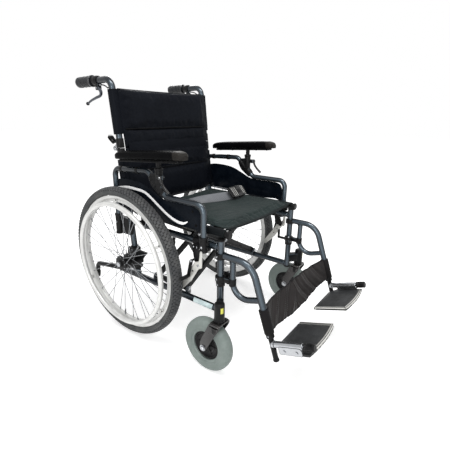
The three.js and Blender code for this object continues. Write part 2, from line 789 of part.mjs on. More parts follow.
function sideFrame(side) {
  const x = side * FRAME_X;
  const solid = join([
    rod(point(x, POST_Y, LOWER_RAIL_Z - TUBE_R), point(x, POST_Y, POST_TOP_Z), TUBE_R),
    rod(point(x, POST_Y, LOWER_RAIL_Z), point(x, LOWER_RAIL_END_Y, LOWER_RAIL_Z), TUBE_R),
    rod(point(x, POST_Y, UPPER_RAIL_Z), point(x, caneY(UPPER_RAIL_Z), UPPER_RAIL_Z), TUBE_R),
    rod(canePoint(x, 0), canePoint(x, HINGE_ALONG - BAR_GAP / 2), TUBE_R),
    rod(
      point(x, POST_Y, LOWER_RING_Z - TOUCH_GAP - POST_COLLAR_LENGTH),
      point(x, POST_Y, LOWER_RING_Z - TOUCH_GAP),
      POST_COLLAR_R,
    ),
    saddle(side, SADDLE_FRONT_Y),
    saddle(side, SADDLE_REAR_Y),
    ...pivotLugs(side),
    ...casterHousing(side),
    ...armSocket(side, SOCKET_FRONT_Y, SOCKET_LOW_Z, SOCKET_FRONT_Y, SOCKET_BRIDGE_HEIGHT),
    ...armSocket(
      side,
      SOCKET_REAR_Y,
      SOCKET_REAR_LOW_Z,
      caneY(SOCKET_REAR_LOW_Z),
      SOCKET_REAR_BRIDGE_HEIGHT,
    ),
    ...lowerHinge(side),
  ]);
  const [hingePin] = placed([rod(
    point(x - KNUCKLE_WIDTH, HINGE_OFFSET, HINGE_ALONG),
    point(x + KNUCKLE_WIDTH, HINGE_OFFSET, HINGE_ALONG),
    HINGE_PIN_R + PIN_GAP,
    ROD_SIDES,
  )], CANE_FRAME);
  const bores = [
    rod(
      point(x, LOWER_RAIL_END_Y - TIP_BORE_DEPTH, LOWER_RAIL_Z),
      point(x, LOWER_RAIL_END_Y + CUT_OVERRUN, LOWER_RAIL_Z),
      TIP_TUBE_R + SLIDE_GAP,
      ROD_SIDES,
    ),
    rod(
      point(side * STEM_X, STEM_Y, HOUSING_LOW_Z - CUT_OVERRUN),
      point(side * STEM_X, STEM_Y, HOUSING_TOP_Z - HOUSING_WALL),
      STEM_R + SLIDE_GAP,
    ),
    rod(
      point(side * RAIL_X, SADDLE_FRONT_Y - SADDLE_LENGTH, RAIL_Z),
      point(side * RAIL_X, SADDLE_REAR_Y + SADDLE_LENGTH, RAIL_Z),
      TUBE_R + TOUCH_GAP,
    ),
    hingePin,
  ];
  for (const [y, low] of [[SOCKET_FRONT_Y, SOCKET_LOW_Z], [SOCKET_REAR_Y, SOCKET_REAR_LOW_Z]]) {
    bores.push(rod(
      point(side * ARM_X, y, low - CUT_OVERRUN),
      point(side * ARM_X, y, SOCKET_TOP_Z + CUT_OVERRUN),
      ARM_TUBE_R + SLIDE_GAP,
    ));
  }
  return node(named('side_frame', side), cut(solid, bores), FRAME_BLUE, 0.35, 0.6);
}

// Axle plate, with the quick-release axle in it.

function axlePlate(side) {
  const inner = side * AXLE_PLATE_X;
  const outer = side * (AXLE_PLATE_X + AXLE_PLATE_THICKNESS);
  const outline = [
    [AXLE_PLATE_FRONT_Y, WHEEL_R - AXLE_BOSS_R / 2],
    [-AXLE_BOSS_R, WHEEL_R - AXLE_BOSS_R],
    [caneY(AXLE_PLATE_LOW_Z) - AXLE_CLAMP_HALF, AXLE_PLATE_LOW_Z],
    [caneY(AXLE_PLATE_LOW_Z) + AXLE_CLAMP_HALF, AXLE_PLATE_LOW_Z],
    [AXLE_PLATE_REAR_Y, WHEEL_R],
    [caneY(AXLE_PLATE_TOP_Z) + AXLE_CLAMP_HALF, AXLE_PLATE_TOP_Z],
    [caneY(AXLE_PLATE_TOP_Z) - AXLE_CLAMP_HALF, AXLE_PLATE_TOP_Z],
    [AXLE_SPIKE_Y, WHEEL_R + AXLE_SPIKE_RISE],
    [AXLE_PLATE_FRONT_Y, WHEEL_R + AXLE_BOSS_R / 2],
  ];
  const clamps = [AXLE_CLAMP_LOW_Z, AXLE_CLAMP_TOP_Z].map((z) => block(
    side * (FRAME_X - AXLE_CLAMP_HALF),
    outer,
    caneY(z) - AXLE_CLAMP_HALF,
    caneY(z) + AXLE_CLAMP_HALF,
    z - AXLE_CLAMP_HEIGHT / 2,
    z + AXLE_CLAMP_HEIGHT / 2,
  ));
  const bossEnd = side * (WHEEL_X - HUB_HALF_WIDTH - SLIDE_GAP);
  const hubEnd = side * (WHEEL_X + HUB_HALF_WIDTH + SLIDE_GAP);
  const solid = join([
    plate('x', outline, inner, outer),
    ...clamps,
    rod(point(inner, 0, WHEEL_R), point(bossEnd, 0, WHEEL_R), AXLE_BOSS_R),
    rod(point(inner, 0, WHEEL_R), point(hubEnd, 0, WHEEL_R), AXLE_R, ROD_SIDES),
    rod(
      point(hubEnd, 0, WHEEL_R),
      point(hubEnd + side * AXLE_CAP_LENGTH, 0, WHEEL_R),
      AXLE_CAP_R,
      ROD_SIDES,
    ),
  ]);
  const post = rod(
    canePoint(side * FRAME_X, 0),
    canePoint(side * FRAME_X, UPPER_RAIL_Z - LOWER_RAIL_Z),
    TUBE_R + TOUCH_GAP,
  );
  return node(named('axle_plate', side), cut(solid, [post]), SATIN_BLACK, 0.5, 0.4);
}

// Rear wheel.

function mirroredProfile(half) {
  const other = half.map(([along, radius]) => [-along, radius]).reverse();
  return [...half, ...other, half[0]];
}

function onWheel(side, profile) {
  return profile.map(([along, radius]) => [side * WHEEL_X + along, radius]);
}

function rearTyre(side) {
  const half = TYRE_WIDTH / 2;
  const seat = RIM_R + TOUCH_GAP;
  const height = WHEEL_R - seat;
  const wallShares = [[0.66, 0], [1, 0.45], [0.82, 0.82], [0.4, 1]];
  const profile = mirroredProfile(
    wallShares.map(([across, up]) => [across * half, seat + up * height]),
  );
  const ring = turnedX(onWheel(side, profile), 0, WHEEL_R, WHEEL_STEPS);
  return node(named('rear_tyre', side), toSolid(ring), TYRE_GREY, 0.9, 0);
}

function spokeEnds(side, index) {
  const flange = index % 2 === 0 ? 1 : -1;
  const lean = Math.floor(index / 2) % 2 === 0 ? 1 : -1;
  const turn = (2 * Math.PI * (index + 1 / 2)) / SPOKE_COUNT;
  const hubTurn = turn + lean * radians(SPOKE_LEAN_DEGREES);
  const hubX = side * WHEEL_X + flange * (HUB_FLANGE_OFFSET + (lean * HUB_FLANGE_WIDTH) / 2);
  const rimX = side * WHEEL_X + (flange * RIM_FLOOR_WIDTH) / 4;
  const rimR = RIM_R - RIM_DEPTH / 2;
  return [
    point(hubX, SPOKE_HUB_R * Math.cos(hubTurn), WHEEL_R + SPOKE_HUB_R * Math.sin(hubTurn)),
    point(rimX, rimR * Math.cos(turn), WHEEL_R + rimR * Math.sin(turn)),
  ];
}

function rearWheel(side) {
  const rimFloor = RIM_R - RIM_DEPTH;
  const rim = turnedX(onWheel(side, mirroredProfile([
    [RIM_FLOOR_WIDTH / 2, rimFloor],
    [RIM_WIDTH / 2, (rimFloor + RIM_R) / 2],
    [RIM_WIDTH / 2, RIM_R],
  ])), 0, WHEEL_R, WHEEL_STEPS);
  const bore = AXLE_R + PIN_GAP;
  const flangeOut = HUB_FLANGE_OFFSET + HUB_FLANGE_WIDTH;
  const flangeIn = HUB_FLANGE_OFFSET - HUB_FLANGE_WIDTH;
  const hub = turnedX(onWheel(side, mirroredProfile([
    [HUB_HALF_WIDTH, bore],
    [HUB_HALF_WIDTH, HUB_END_R],
    [flangeOut, HUB_BARREL_R],
    [flangeOut, HUB_FLANGE_R],
    [flangeIn, HUB_FLANGE_R],
    [flangeIn, HUB_BARREL_R],
  ])), 0, WHEEL_R, HUB_STEPS);
  const spokes = [];
  for (let i = 0; i < SPOKE_COUNT; i += 1) {
    const [hubEnd, rimEnd] = spokeEnds(side, i);
    spokes.push(rod(hubEnd, rimEnd, SPOKE_R, WIRE_SIDES));
  }
  return node(named('rear_wheel', side), join([rim, hub, ...spokes]), SILVER, 0.3, 0.8);
}

function pushRim(side) {
  const x = side * PUSH_RIM_X;
  const ring = turnedX(
    [...circleOutline(PUSH_TUBE_R, PUSH_SIDES), [PUSH_TUBE_R, 0]]
      .map(([along, out]) => [x + along, PUSH_RIM_R + out]),
    0,
    WHEEL_R,
    WHEEL_STEPS,
  );
  const rimFace = side * (WHEEL_X + RIM_WIDTH / 2 + TOUCH_GAP);
  const tabs = [];
  for (let i = 0; i < PUSH_TAB_COUNT; i += 1) {
    const tab = block(
      rimFace,
      x,
      -PUSH_TAB_WIDTH / 2,
      PUSH_TAB_WIDTH / 2,
      PUSH_RIM_R,
      RIM_R - PUSH_TAB_INSET,
    );
    tab.rotateX((2 * Math.PI * i) / PUSH_TAB_COUNT);
    tabs.push(tab.translate(0, 0, WHEEL_R));
  }
  return node(named('push_rim', side), join([ring, ...tabs]), SILVER, 0.25, 0.8);
}

// Caster, its fork and its hub.

const CASTER_Y = STEM_Y + CASTER_TRAIL;

function casterTyre(side) {
  const half = CASTER_WIDTH / 2;
  const seat = CASTER_HUB_R + TOUCH_GAP;
  const height = CASTER_R - seat;
  const wallShares = [[0.76, 0], [1, 0.4], [0.84, 0.82], [0.42, 1]];
  const profile = mirroredProfile(
    wallShares.map(([across, up]) => [across * half, seat + up * height]),
  ).map(([along, radius]) => [side * STEM_X + along, radius]);
  const ring = turnedX(profile, CASTER_Y, CASTER_R, CASTER_STEPS);
  return node(named('caster_tyre', side), toSolid(ring), CASTER_GREY, 0.7, 0);
}

function casterHub(side) {
  const half = CASTER_HUB_WIDTH / 2;
  const profile = mirroredProfile([
    [half, CASTER_AXLE_R + PIN_GAP],
    [half, CASTER_BOSS_R],
    [CASTER_WEB_HALF, CASTER_BOSS_R],
    [CASTER_WEB_HALF, CASTER_HUB_R - CASTER_RIM_DEPTH],
    [half - CASTER_WEB_HALF, CASTER_HUB_R],
  ]).map(([along, radius]) => [side * STEM_X + along, radius]);
  const ring = turnedX(profile, CASTER_Y, CASTER_R, CASTER_STEPS);
  return node(named('caster_hub', side), toSolid(ring), SATIN_BLACK, 0.5, 0.1);
}

function casterFork(side) {
  const x = side * STEM_X;
  const inner = CASTER_WIDTH / 2 + FORK_LEG_GAP;
  const outer = inner + FORK_LEG_THICKNESS;
  const half = FORK_LEG_WIDTH / 2;
  const crownTop = FORK_CROWN_LOW_Z + FORK_CROWN_THICKNESS;
  const legOutline = [
    [STEM_Y - FORK_CROWN_HALF, FORK_CROWN_LOW_Z],
    [STEM_Y - FORK_CROWN_HALF, crownTop],
    [STEM_Y + FORK_CROWN_HALF, crownTop],
    [CASTER_Y + half, CASTER_R],
    [CASTER_Y + half / 2, CASTER_R - half],
    [CASTER_Y - half / 2, CASTER_R - half],
    [CASTER_Y - half, CASTER_R],
  ];
  const washerTop = HOUSING_LOW_Z - TOUCH_GAP;
  const solid = join([
    plate('x', legOutline, x - outer, x - inner),
    plate('x', legOutline, x + inner, x + outer),
    block(
      x - outer,
      x + outer,
      STEM_Y - FORK_CROWN_HALF,
      STEM_Y + FORK_CROWN_HALF,
      FORK_CROWN_LOW_Z,
      crownTop,
    ),
    rod(point(x, STEM_Y, crownTop), point(x, STEM_Y, washerTop), STEM_WASHER_R, ROD_SIDES),
    rod(
      point(x, STEM_Y, FORK_CROWN_LOW_Z),
      point(x, STEM_Y, HOUSING_TOP_Z - HOUSING_WALL - TOUCH_GAP),
      STEM_R,
    ),
    rod(
      point(x - outer - CASTER_NUT_LENGTH, CASTER_Y, CASTER_R),
      point(x + outer + CASTER_NUT_LENGTH, CASTER_Y, CASTER_R),
      CASTER_AXLE_R,
      ROD_SIDES,
    ),
    rod(
      point(x - outer - CASTER_NUT_LENGTH, CASTER_Y, CASTER_R),
      point(x - outer, CASTER_Y, CASTER_R),
      CASTER_NUT_R,
      ROD_SIDES,
    ),
    rod(
      point(x + outer, CASTER_Y, CASTER_R),
      point(x + outer + CASTER_NUT_LENGTH, CASTER_Y, CASTER_R),
      CASTER_NUT_R,
      ROD_SIDES,
    ),
  ]);
  return node(named('caster_fork', side), solid, FORK_GREY, 0.45, 0.6);
}

// Tip tube with its rubber cap.

function tipTube(side) {
  const x = side * FRAME_X;
  const start = point(x, LOWER_RAIL_END_Y - TIP_BORE_DEPTH + CUT_OVERRUN, LOWER_RAIL_Z);
  const end = point(x, TIP_END_Y, TIP_END_Z);
  const corners = [
    start,
    point(x, TIP_STRAIGHT_Y, LOWER_RAIL_Z),
    point(x, TIP_BEND_Y, TIP_BEND_Z),
    end,
  ];
  const down = end.clone().sub(corners[2]).normalize();
  const capFoot = end.clone().addScaledVector(down, TIP_CAP_FLOOR);
  const capTop = capFoot.clone().addScaledVector(down, -TIP_CAP_LENGTH);
  const solid = join([
    tube(corners, TIP_BEND_R, TIP_TUBE_R, ROD_SIDES),
    rod(capTop, capFoot, TIP_TUBE_R + TIP_CAP_WALL),
  ]);
  return node(named('tip_tube', side), solid, SATIN_BLACK, 0.5, 0.4);
}

// Hanger, with two rings round the post.

function hanger(side) {
  const x = side * FRAME_X;
  const cornerAlong = (HANGER_TOP_Z - LEG_Z) / Math.cos(LEG_LEAN);
  const main = tube([
    point(x, POST_Y - HANGER_STANDOFF, HANGER_TOP_Z),
    legPoint(x, cornerAlong),
    legPoint(x, HANGER_END_ALONG),
  ], HANGER_BEND_R, HANGER_R);
  const legMeet = (INNER_TUBE_MEET_Z - LEG_Z) / Math.cos(LEG_LEAN);
  const inner = tube([
    point(x, INNER_TUBE_Y, HANGER_TOP_Z),
    point(x, INNER_TUBE_Y, INNER_TUBE_CORNER_Z),
    legPoint(x, legMeet),
  ], INNER_TUBE_BEND_R, INNER_TUBE_R, ROD_SIDES);
  const rings = [HANGER_TOP_Z - UPPER_RING_DROP, LOWER_RING_Z].map((z) => rod(
    point(x, POST_Y, z),
    point(x, POST_Y, z + RING_HEIGHT),
    RING_R,
  ));
  const arm = block(
    x - RING_ARM_HALF,
    x + RING_ARM_HALF,
    INNER_TUBE_Y,
    POST_Y,
    LOWER_RING_Z,
    LOWER_RING_Z + RING_HEIGHT,
  );
  const latchArm = block(
    side * (LATCH_PIVOT_X - LATCH_PLATE_R),
    x,
    LATCH_PIVOT_Y - LATCH_PLATE_R,
    LATCH_PIVOT_Y + LATCH_PLATE_R,
    LOWER_RING_Z,
    LOWER_RING_Z + RING_HEIGHT - LATCH_THICKNESS,
  );
  const latchTop = LOWER_RING_Z + RING_HEIGHT + LATCH_THICKNESS;
  const latchPin = rod(
    point(side * LATCH_PIVOT_X, LATCH_PIVOT_Y, LOWER_RING_Z + LATCH_THICKNESS),
    point(side * LATCH_PIVOT_X, LATCH_PIVOT_Y, latchTop),
    LATCH_PIVOT_R,
    ROD_SIDES,
  );
  const post = rod(
    point(x, POST_Y, LOWER_RING_Z - CUT_OVERRUN),
    point(x, POST_Y, POST_TOP_Z),
    TUBE_R + SWING_GAP,
  );
  const bore = rod(
    legPoint(x, HANGER_END_ALONG - CUT_OVERRUN),
    legPoint(x, HANGER_END_ALONG + LEG_BORE_DEPTH),
    EXTENSION_R + SLIDE_GAP,
  );
  const solid = cut(join([main, inner, ...rings, arm, latchArm, latchPin]), [post, bore]);
  return node(named('hanger', side), solid, FRAME_BLUE, 0.35, 0.6);
}

function hangerLatch(side) {
  const x = side * LATCH_PIVOT_X;
  const low = LOWER_RING_Z + RING_HEIGHT - LATCH_THICKNESS + TOUCH_GAP;
  const top = low + LATCH_THICKNESS - TOUCH_GAP;
  const tail = LATCH_PIVOT_Y + LATCH_ARM_LENGTH;
  const solid = join([
    rod(point(x, LATCH_PIVOT_Y, low), point(x, LATCH_PIVOT_Y, top), LATCH_PLATE_R),
    block(
      x - LATCH_ARM_WIDTH / 2,
      x + LATCH_ARM_WIDTH / 2,
      LATCH_PIVOT_Y,
      tail,
      low,
      top,
    ),
    block(
      x - LATCH_ARM_WIDTH / 2,
      x + LATCH_ARM_WIDTH / 2,
      tail - LATCH_TAB_THICKNESS,
      tail,
      low,
      low + LATCH_TAB_HEIGHT,
    ),
  ]);
  const bore = rod(
    point(x, LATCH_PIVOT_Y, low - CUT_OVERRUN),
    point(x, LATCH_PIVOT_Y, top + CUT_OVERRUN),
    LATCH_PIVOT_R + PIN_GAP,
    ROD_SIDES,
  );
  return node(named('hanger_latch', side), cut(solid, [bore]), SATIN_BLACK, 0.5, 0.1);
}

// Leg extension and footplate, drawn in the leg's frame: -y is forward along the foot.

function legExtension(side) {
  const x = side * FRAME_X;
  const knobEnd = FOOT_PIVOT_END;
  const solid = join(placed([
    rod(point(x, 0, -EXTENSION_FOOT), point(x, 0, EXTENSION_TOP), EXTENSION_R),
    rod(
      point(x, 0, -EXTENSION_FOOT),
      point(x, 0, EXTENSION_CAP_LENGTH - EXTENSION_FOOT),
      EXTENSION_CAP_R,
    ),
    rod(point(x, 0, 0), point(x, -knobEnd, 0), FOOT_PIVOT_R, ROD_SIDES),
    rod(
      point(x, FOOT_KNOB_LENGTH - knobEnd, 0),
      point(x, -knobEnd, 0),
      FOOT_KNOB_R,
      FOOT_KNOB_STEPS,
    ),
  ], LEG_FRAME));
  return node(named('leg_extension', side), solid, SATIN_BLACK, 0.4, 0.5);
}

// How far forward the footplate's bowed nose reaches at a distance x from the middle.
function noseY(x) {
  const middle = (PLATE_INNER_X + PLATE_OUTER_X) / 2;
  const share = (x - middle) / (PLATE_OUTER_X - middle);
  return -(PLATE_NOSE_CORNER + (PLATE_NOSE - PLATE_NOSE_CORNER) * (1 - share * share));
}

function footplate(side) {
  const x = side * FRAME_X;
  const top = -PLATE_TOP_DROP;
  const low = top - PLATE_THICKNESS;
  const lipTop = top + PLATE_LIP_HEIGHT;
  const sleeveEnd = -(SLEEVE_START + SLEEVE_LENGTH);
  const treadEdge = FRAME_X - SLEEVE_R - PLATE_LIP_WIDTH / 2;
  const noseShares = [0, 0.3, 0.7, 1];
  const across = (outer) => noseShares
    .map((share) => PLATE_INNER_X + share * (outer - PLATE_INNER_X));
  const outline = [
    [side * PLATE_INNER_X, PLATE_HEEL],
    ...across(PLATE_OUTER_X).map((u) => [side * u, noseY(u)]),
    [side * PLATE_OUTER_X, -PLATE_HEEL_CUT],
    [side * PLATE_HEEL_CUT_X, PLATE_HEEL],
  ];
  const tread = [
    [side * (PLATE_INNER_X - CUT_OVERRUN), PLATE_HEEL + CUT_OVERRUN],
    [side * (PLATE_INNER_X - CUT_OVERRUN), noseY(PLATE_INNER_X) + PLATE_LIP_WIDTH],
    ...across(treadEdge).map((u) => [side * u, noseY(u) + PLATE_LIP_WIDTH]),
    [side * treadEdge, PLATE_HEEL + CUT_OVERRUN],
  ];
  const lip = cut(
    join([plate('z', outline, low, lipTop)]),
    [plate('z', tread, top, lipTop + CUT_OVERRUN)],
  );
  const hingeSide = join([
    rod(point(x, -SLEEVE_START, 0), point(x, sleeveEnd, 0), SLEEVE_R),
    block(
      side * (PLATE_OUTER_X - PLATE_FLANGE_THICKNESS),
      side * (PLATE_OUTER_X + PLATE_FLANGE_THICKNESS),
      -PLATE_HEEL_CUT,
      sleeveEnd,
      low,
      0,
    ),
  ]);
  const bore = rod(point(x, 0, 0), point(x, -FOOT_PIVOT_END, 0), FOOT_PIVOT_R + PIN_GAP, ROD_SIDES);
  const solid = cut(hingeSide.add(lip), [bore]).transform(LEG_FRAME.elements);
  return node(named('footplate', side), solid, CHROME, 0.35, 0.7);
}

// Parking brake.

function brakeBody(side) {
  const x = side * FRAME_X;
  const wall = TUBE_R + BRAKE_CLAMP_WALL;
  const inner = side * BRAKE_PLATE_X;
  const outer = side * (BRAKE_PLATE_X + BRAKE_PLATE_THICKNESS);
  const low = UPPER_RAIL_Z - wall;
  const outline = [
    [BRAKE_REAR_Y, UPPER_RAIL_Z],
    [BRAKE_FRONT_Y, UPPER_RAIL_Z],
    [BRAKE_FRONT_Y, low],
    [BRAKE_PIVOT_Y - 2 * BRAKE_PIN_R, BRAKE_PIVOT_Z + BRAKE_PIN_R],
    [BRAKE_PIVOT_Y, BRAKE_PIVOT_Z - 2 * BRAKE_PIN_R],
    [BRAKE_SHOE_PIVOT_Y, BRAKE_SHOE_PIVOT_Z - 2 * BRAKE_PIN_R],
    [BRAKE_REAR_Y, low],
  ];
  const pins = [
    [BRAKE_PIVOT_Y, BRAKE_PIVOT_Z, BRAKE_LEVER_X + BRAKE_LEVER_THICKNESS],
    [BRAKE_SHOE_PIVOT_Y, BRAKE_SHOE_PIVOT_Z, BRAKE_SHOE_X + BRAKE_SHOE_THICKNESS],
  ].map(([y, z, end]) => rod(
    point(inner, y, z),
    point(side * (end + BAR_GAP), y, z),
    BRAKE_PIN_R,
    ROD_SIDES,
  ));
  const solid = join([
    block(x - side * wall, outer, BRAKE_FRONT_Y, BRAKE_REAR_Y, low, UPPER_RAIL_Z - TOUCH_GAP),
    plate('x', outline, inner, outer),
    ...pins,
  ]);
  const rail = rod(
    point(x, BRAKE_FRONT_Y - CUT_OVERRUN, UPPER_RAIL_Z),
    point(x, BRAKE_REAR_Y + CUT_OVERRUN, UPPER_RAIL_Z),
    TUBE_R + TOUCH_GAP,
  );
  return node(named('brake_body', side), cut(solid, [rail]), SATIN_BLACK, 0.5, 0.3);
}

// The brake lever's outline as shares of its reach behind its pin and its drop below it.
const BRAKE_LEVER_SHARES = [
  [-0.19, 0.42],
  [-0.09, 0.46],
  [-0.04, 0.14],
  [0.17, 0.08],
  [0.47, -0.31],
  [0.96, -0.85],
  [1, -0.95],
  [0.87, -1],
  [0.34, -0.56],
  [0, -0.12],
  [-0.17, -0.05],
];

function brakeLever(side) {
  const outline = BRAKE_LEVER_SHARES.map(([along, up]) => [
    BRAKE_PIVOT_Y + along * BRAKE_LEVER_REACH,
    BRAKE_PIVOT_Z + up * BRAKE_LEVER_DROP,
  ]);
  const solid = join([plate(
    'x',
    outline,
    side * BRAKE_LEVER_X,
    side * (BRAKE_LEVER_X + BRAKE_LEVER_THICKNESS),
  )]);
  const bore = rod(
    point(side * BRAKE_PLATE_X, BRAKE_PIVOT_Y, BRAKE_PIVOT_Z),
    point(side * WHEEL_X, BRAKE_PIVOT_Y, BRAKE_PIVOT_Z),
    BRAKE_PIN_R + PIN_GAP,
    ROD_SIDES,
  );
  return node(named('brake_lever', side), cut(solid, [bore]), CHROME, 0.35, 0.7);
}

function brakeShoe(side) {
  const near = side * BRAKE_SHOE_X;
  const far = side * (BRAKE_SHOE_X + BRAKE_SHOE_THICKNESS);
  const half = BRAKE_SHOE_R;
  const solid = join([
    plate('x', [
      [BRAKE_SHOE_PIVOT_Y - half, BRAKE_SHOE_PIVOT_Z],
      [BRAKE_SHOE_PIVOT_Y, BRAKE_SHOE_PIVOT_Z + half],
      [BRAKE_SHOE_PIVOT_Y + half, BRAKE_SHOE_PIVOT_Z],
      [BRAKE_SHOE_Y + half, BRAKE_SHOE_Z],
      [BRAKE_SHOE_Y - half, BRAKE_SHOE_Z],
    ], near, far),
    rod(
      point(near, BRAKE_SHOE_Y, BRAKE_SHOE_Z),
      point(side * BRAKE_SHOE_END_X, BRAKE_SHOE_Y, BRAKE_SHOE_Z),
      BRAKE_SHOE_R,
    ),
  ]);
  const bore = rod(
    point(side * BRAKE_PLATE_X, BRAKE_SHOE_PIVOT_Y, BRAKE_SHOE_PIVOT_Z),
    point(side * WHEEL_X, BRAKE_SHOE_PIVOT_Y, BRAKE_SHOE_PIVOT_Z),
    BRAKE_PIN_R + PIN_GAP,
    ROD_SIDES,
  );
  return node(named('brake_shoe', side), cut(solid, [bore]), SATIN_BLACK, 0.5, 0.3);
}

// Upper back cane with its push handle, hinge half and brake lever mount.

function backCane(side) {
  const x = side * FRAME_X;
  const low = HINGE_ALONG + BAR_GAP / 2;
  const cheekInner = KNUCKLE_WIDTH / 2 + SLIDE_GAP;
  const cheekOuter = cheekInner + CHEEK_THICKNESS;
  const hinge = [rod(
    point(x, 0, low),
    point(x, 0, low + HINGE_COLLAR_LENGTH),
    HINGE_COLLAR_R,
  ), rod(
    point(x - cheekOuter, HINGE_OFFSET, HINGE_ALONG),
    point(x + cheekOuter, HINGE_OFFSET, HINGE_ALONG),
    HINGE_PIN_R,
    ROD_SIDES,
  )];
  for (const way of [-1, 1]) {
    const from = x + way * cheekInner;
    const to = x + way * cheekOuter;
    hinge.push(rod(
      point(from, HINGE_OFFSET, HINGE_ALONG),
      point(to, HINGE_OFFSET, HINGE_ALONG),
      KNUCKLE_R,
    ));
    hinge.push(block(
      from,
      to,
      0,
      HINGE_OFFSET,
      low + BAR_GAP,
      low + 2 * KNUCKLE_R,
    ));
  }
  hinge.push(block(
    x - KNUCKLE_WIDTH / 2,
    x + KNUCKLE_WIDTH / 2,
    0,
    RELEASE_PIVOT_BACK,
    RELEASE_PIVOT_ALONG - RELEASE_PIN_R,
    RELEASE_PIVOT_ALONG + RELEASE_PIN_R,
  ));
  hinge.push(rod(
    point(x - RELEASE_WIDTH / 2, RELEASE_PIVOT_BACK, RELEASE_PIVOT_ALONG),
    point(x + RELEASE_WIDTH / 2, RELEASE_PIVOT_BACK, RELEASE_PIVOT_ALONG),
    RELEASE_PIN_R,
    ROD_SIDES,
  ));
  const mount = [
    rod(
      point(x, BRAKE_MOUNT_START_Y, handleZ(BRAKE_MOUNT_START_Y)),
      point(x, BRAKE_MOUNT_END_Y, handleZ(BRAKE_MOUNT_END_Y)),
      BRAKE_MOUNT_R,
    ),
    block(
      x - ATTENDANT_THICKNESS / 2,
      x + ATTENDANT_THICKNESS / 2,
      ATTENDANT_PIVOT_Y - ATTENDANT_BOSS_R,
      ATTENDANT_PIVOT_Y + ATTENDANT_BOSS_R,
      ATTENDANT_PIVOT_Z + ATTENDANT_BOSS_R + SLIDE_GAP,
      HANDLE_Z,
    ),
  ];
  for (const way of [-1, 1]) {
    mount.push(block(
      x + way * (ATTENDANT_THICKNESS / 2 + SLIDE_GAP),
      x + way * (ATTENDANT_THICKNESS / 2 + SLIDE_GAP + CHEEK_THICKNESS),
      ATTENDANT_PIVOT_Y - ATTENDANT_BOSS_R,
      ATTENDANT_PIVOT_Y + ATTENDANT_BOSS_R,
      ATTENDANT_PIVOT_Z - ATTENDANT_BOSS_R,
      HANDLE_Z,
    ));
  }
  mount.push(rod(
    point(x - ATTENDANT_THICKNESS, ATTENDANT_PIVOT_Y, ATTENDANT_PIVOT_Z),
    point(x + ATTENDANT_THICKNESS, ATTENDANT_PIVOT_Y, ATTENDANT_PIVOT_Z),
    ATTENDANT_PIN_R,
    ROD_SIDES,
  ));
  const corner = point(x, caneY(HANDLE_Z), HANDLE_Z);
  const handleTube = tube([
    canePoint(x, low),
    corner,
    point(x, HANDLE_END_Y, handleZ(HANDLE_END_Y)),
  ], HANDLE_BEND_R, TUBE_R);
  const grommetAlong = (CABLE_ENTRY_Z - LOWER_RAIL_Z) / Math.cos(CANE_LEAN);
  const grommet = placed([rod(
    point(x, 0, grommetAlong),
    point(x, TUBE_R + CABLE_GROMMET_LENGTH, grommetAlong),
    CABLE_GROMMET_R,
    ROD_SIDES,
  )], CANE_FRAME);
  const solid = join([handleTube, ...placed(hinge, CANE_FRAME), ...mount, ...grommet]);
  return node(named('back_cane', side), solid, FRAME_BLUE, 0.35, 0.6);
}

function pushGrip(side) {
  const x = side * FRAME_X;
  const start = point(x, GRIP_START_Y, handleZ(GRIP_START_Y));
  const end = point(x, GRIP_END_Y, handleZ(GRIP_END_Y));
  const back = end.clone().sub(start).normalize();
  const collarEnd = start.clone().addScaledVector(back, GRIP_COLLAR_LENGTH);
  const inside = point(x, HANDLE_END_Y, handleZ(HANDLE_END_Y)).addScaledVector(back, TOUCH_GAP);
  const before = start.clone().addScaledVector(back, -CUT_OVERRUN);
  const solid = cut(
    join([rod(start, end, GRIP_R, GRIP_STEPS), rod(start, collarEnd, GRIP_COLLAR_R, GRIP_STEPS)]),
    [rod(before, inside, TUBE_R + TOUCH_GAP)],
  );
  return node(named('push_grip', side), solid, GRIP_GREY, 0.8, 0);
}

function attendantLever(side) {
  const x = side * FRAME_X;
  const half = ATTENDANT_WIDTH / 2;
  const outline = [
    [ATTENDANT_PIVOT_Y - half, ATTENDANT_PIVOT_Z],
    [ATTENDANT_PIVOT_Y, ATTENDANT_PIVOT_Z + half],
    [ATTENDANT_PIVOT_Y + half, ATTENDANT_PIVOT_Z],
    [ATTENDANT_ELBOW_Y + ATTENDANT_WIDTH, ATTENDANT_ELBOW_Z + half],
    [ATTENDANT_TIP_Y - half, ATTENDANT_TIP_Z + half],
    [ATTENDANT_TIP_Y, ATTENDANT_TIP_Z],
    [ATTENDANT_TIP_Y - half, ATTENDANT_TIP_Z - half],
    [ATTENDANT_ELBOW_Y, ATTENDANT_ELBOW_Z - half],
    [ATTENDANT_ELBOW_Y - half, ATTENDANT_ELBOW_Z],
  ];
  const solid = join([plate(
    'x',
    outline,
    x - ATTENDANT_THICKNESS / 2,
    x + ATTENDANT_THICKNESS / 2,
  )]);
  const bore = rod(
    point(x - ATTENDANT_THICKNESS, ATTENDANT_PIVOT_Y, ATTENDANT_PIVOT_Z),
    point(x + ATTENDANT_THICKNESS, ATTENDANT_PIVOT_Y, ATTENDANT_PIVOT_Z),
    ATTENDANT_PIN_R + PIN_GAP,
    ROD_SIDES,
  );
  return node(named('attendant_lever', side), cut(solid, [bore]), SILVER, 0.4, 0.6);
}

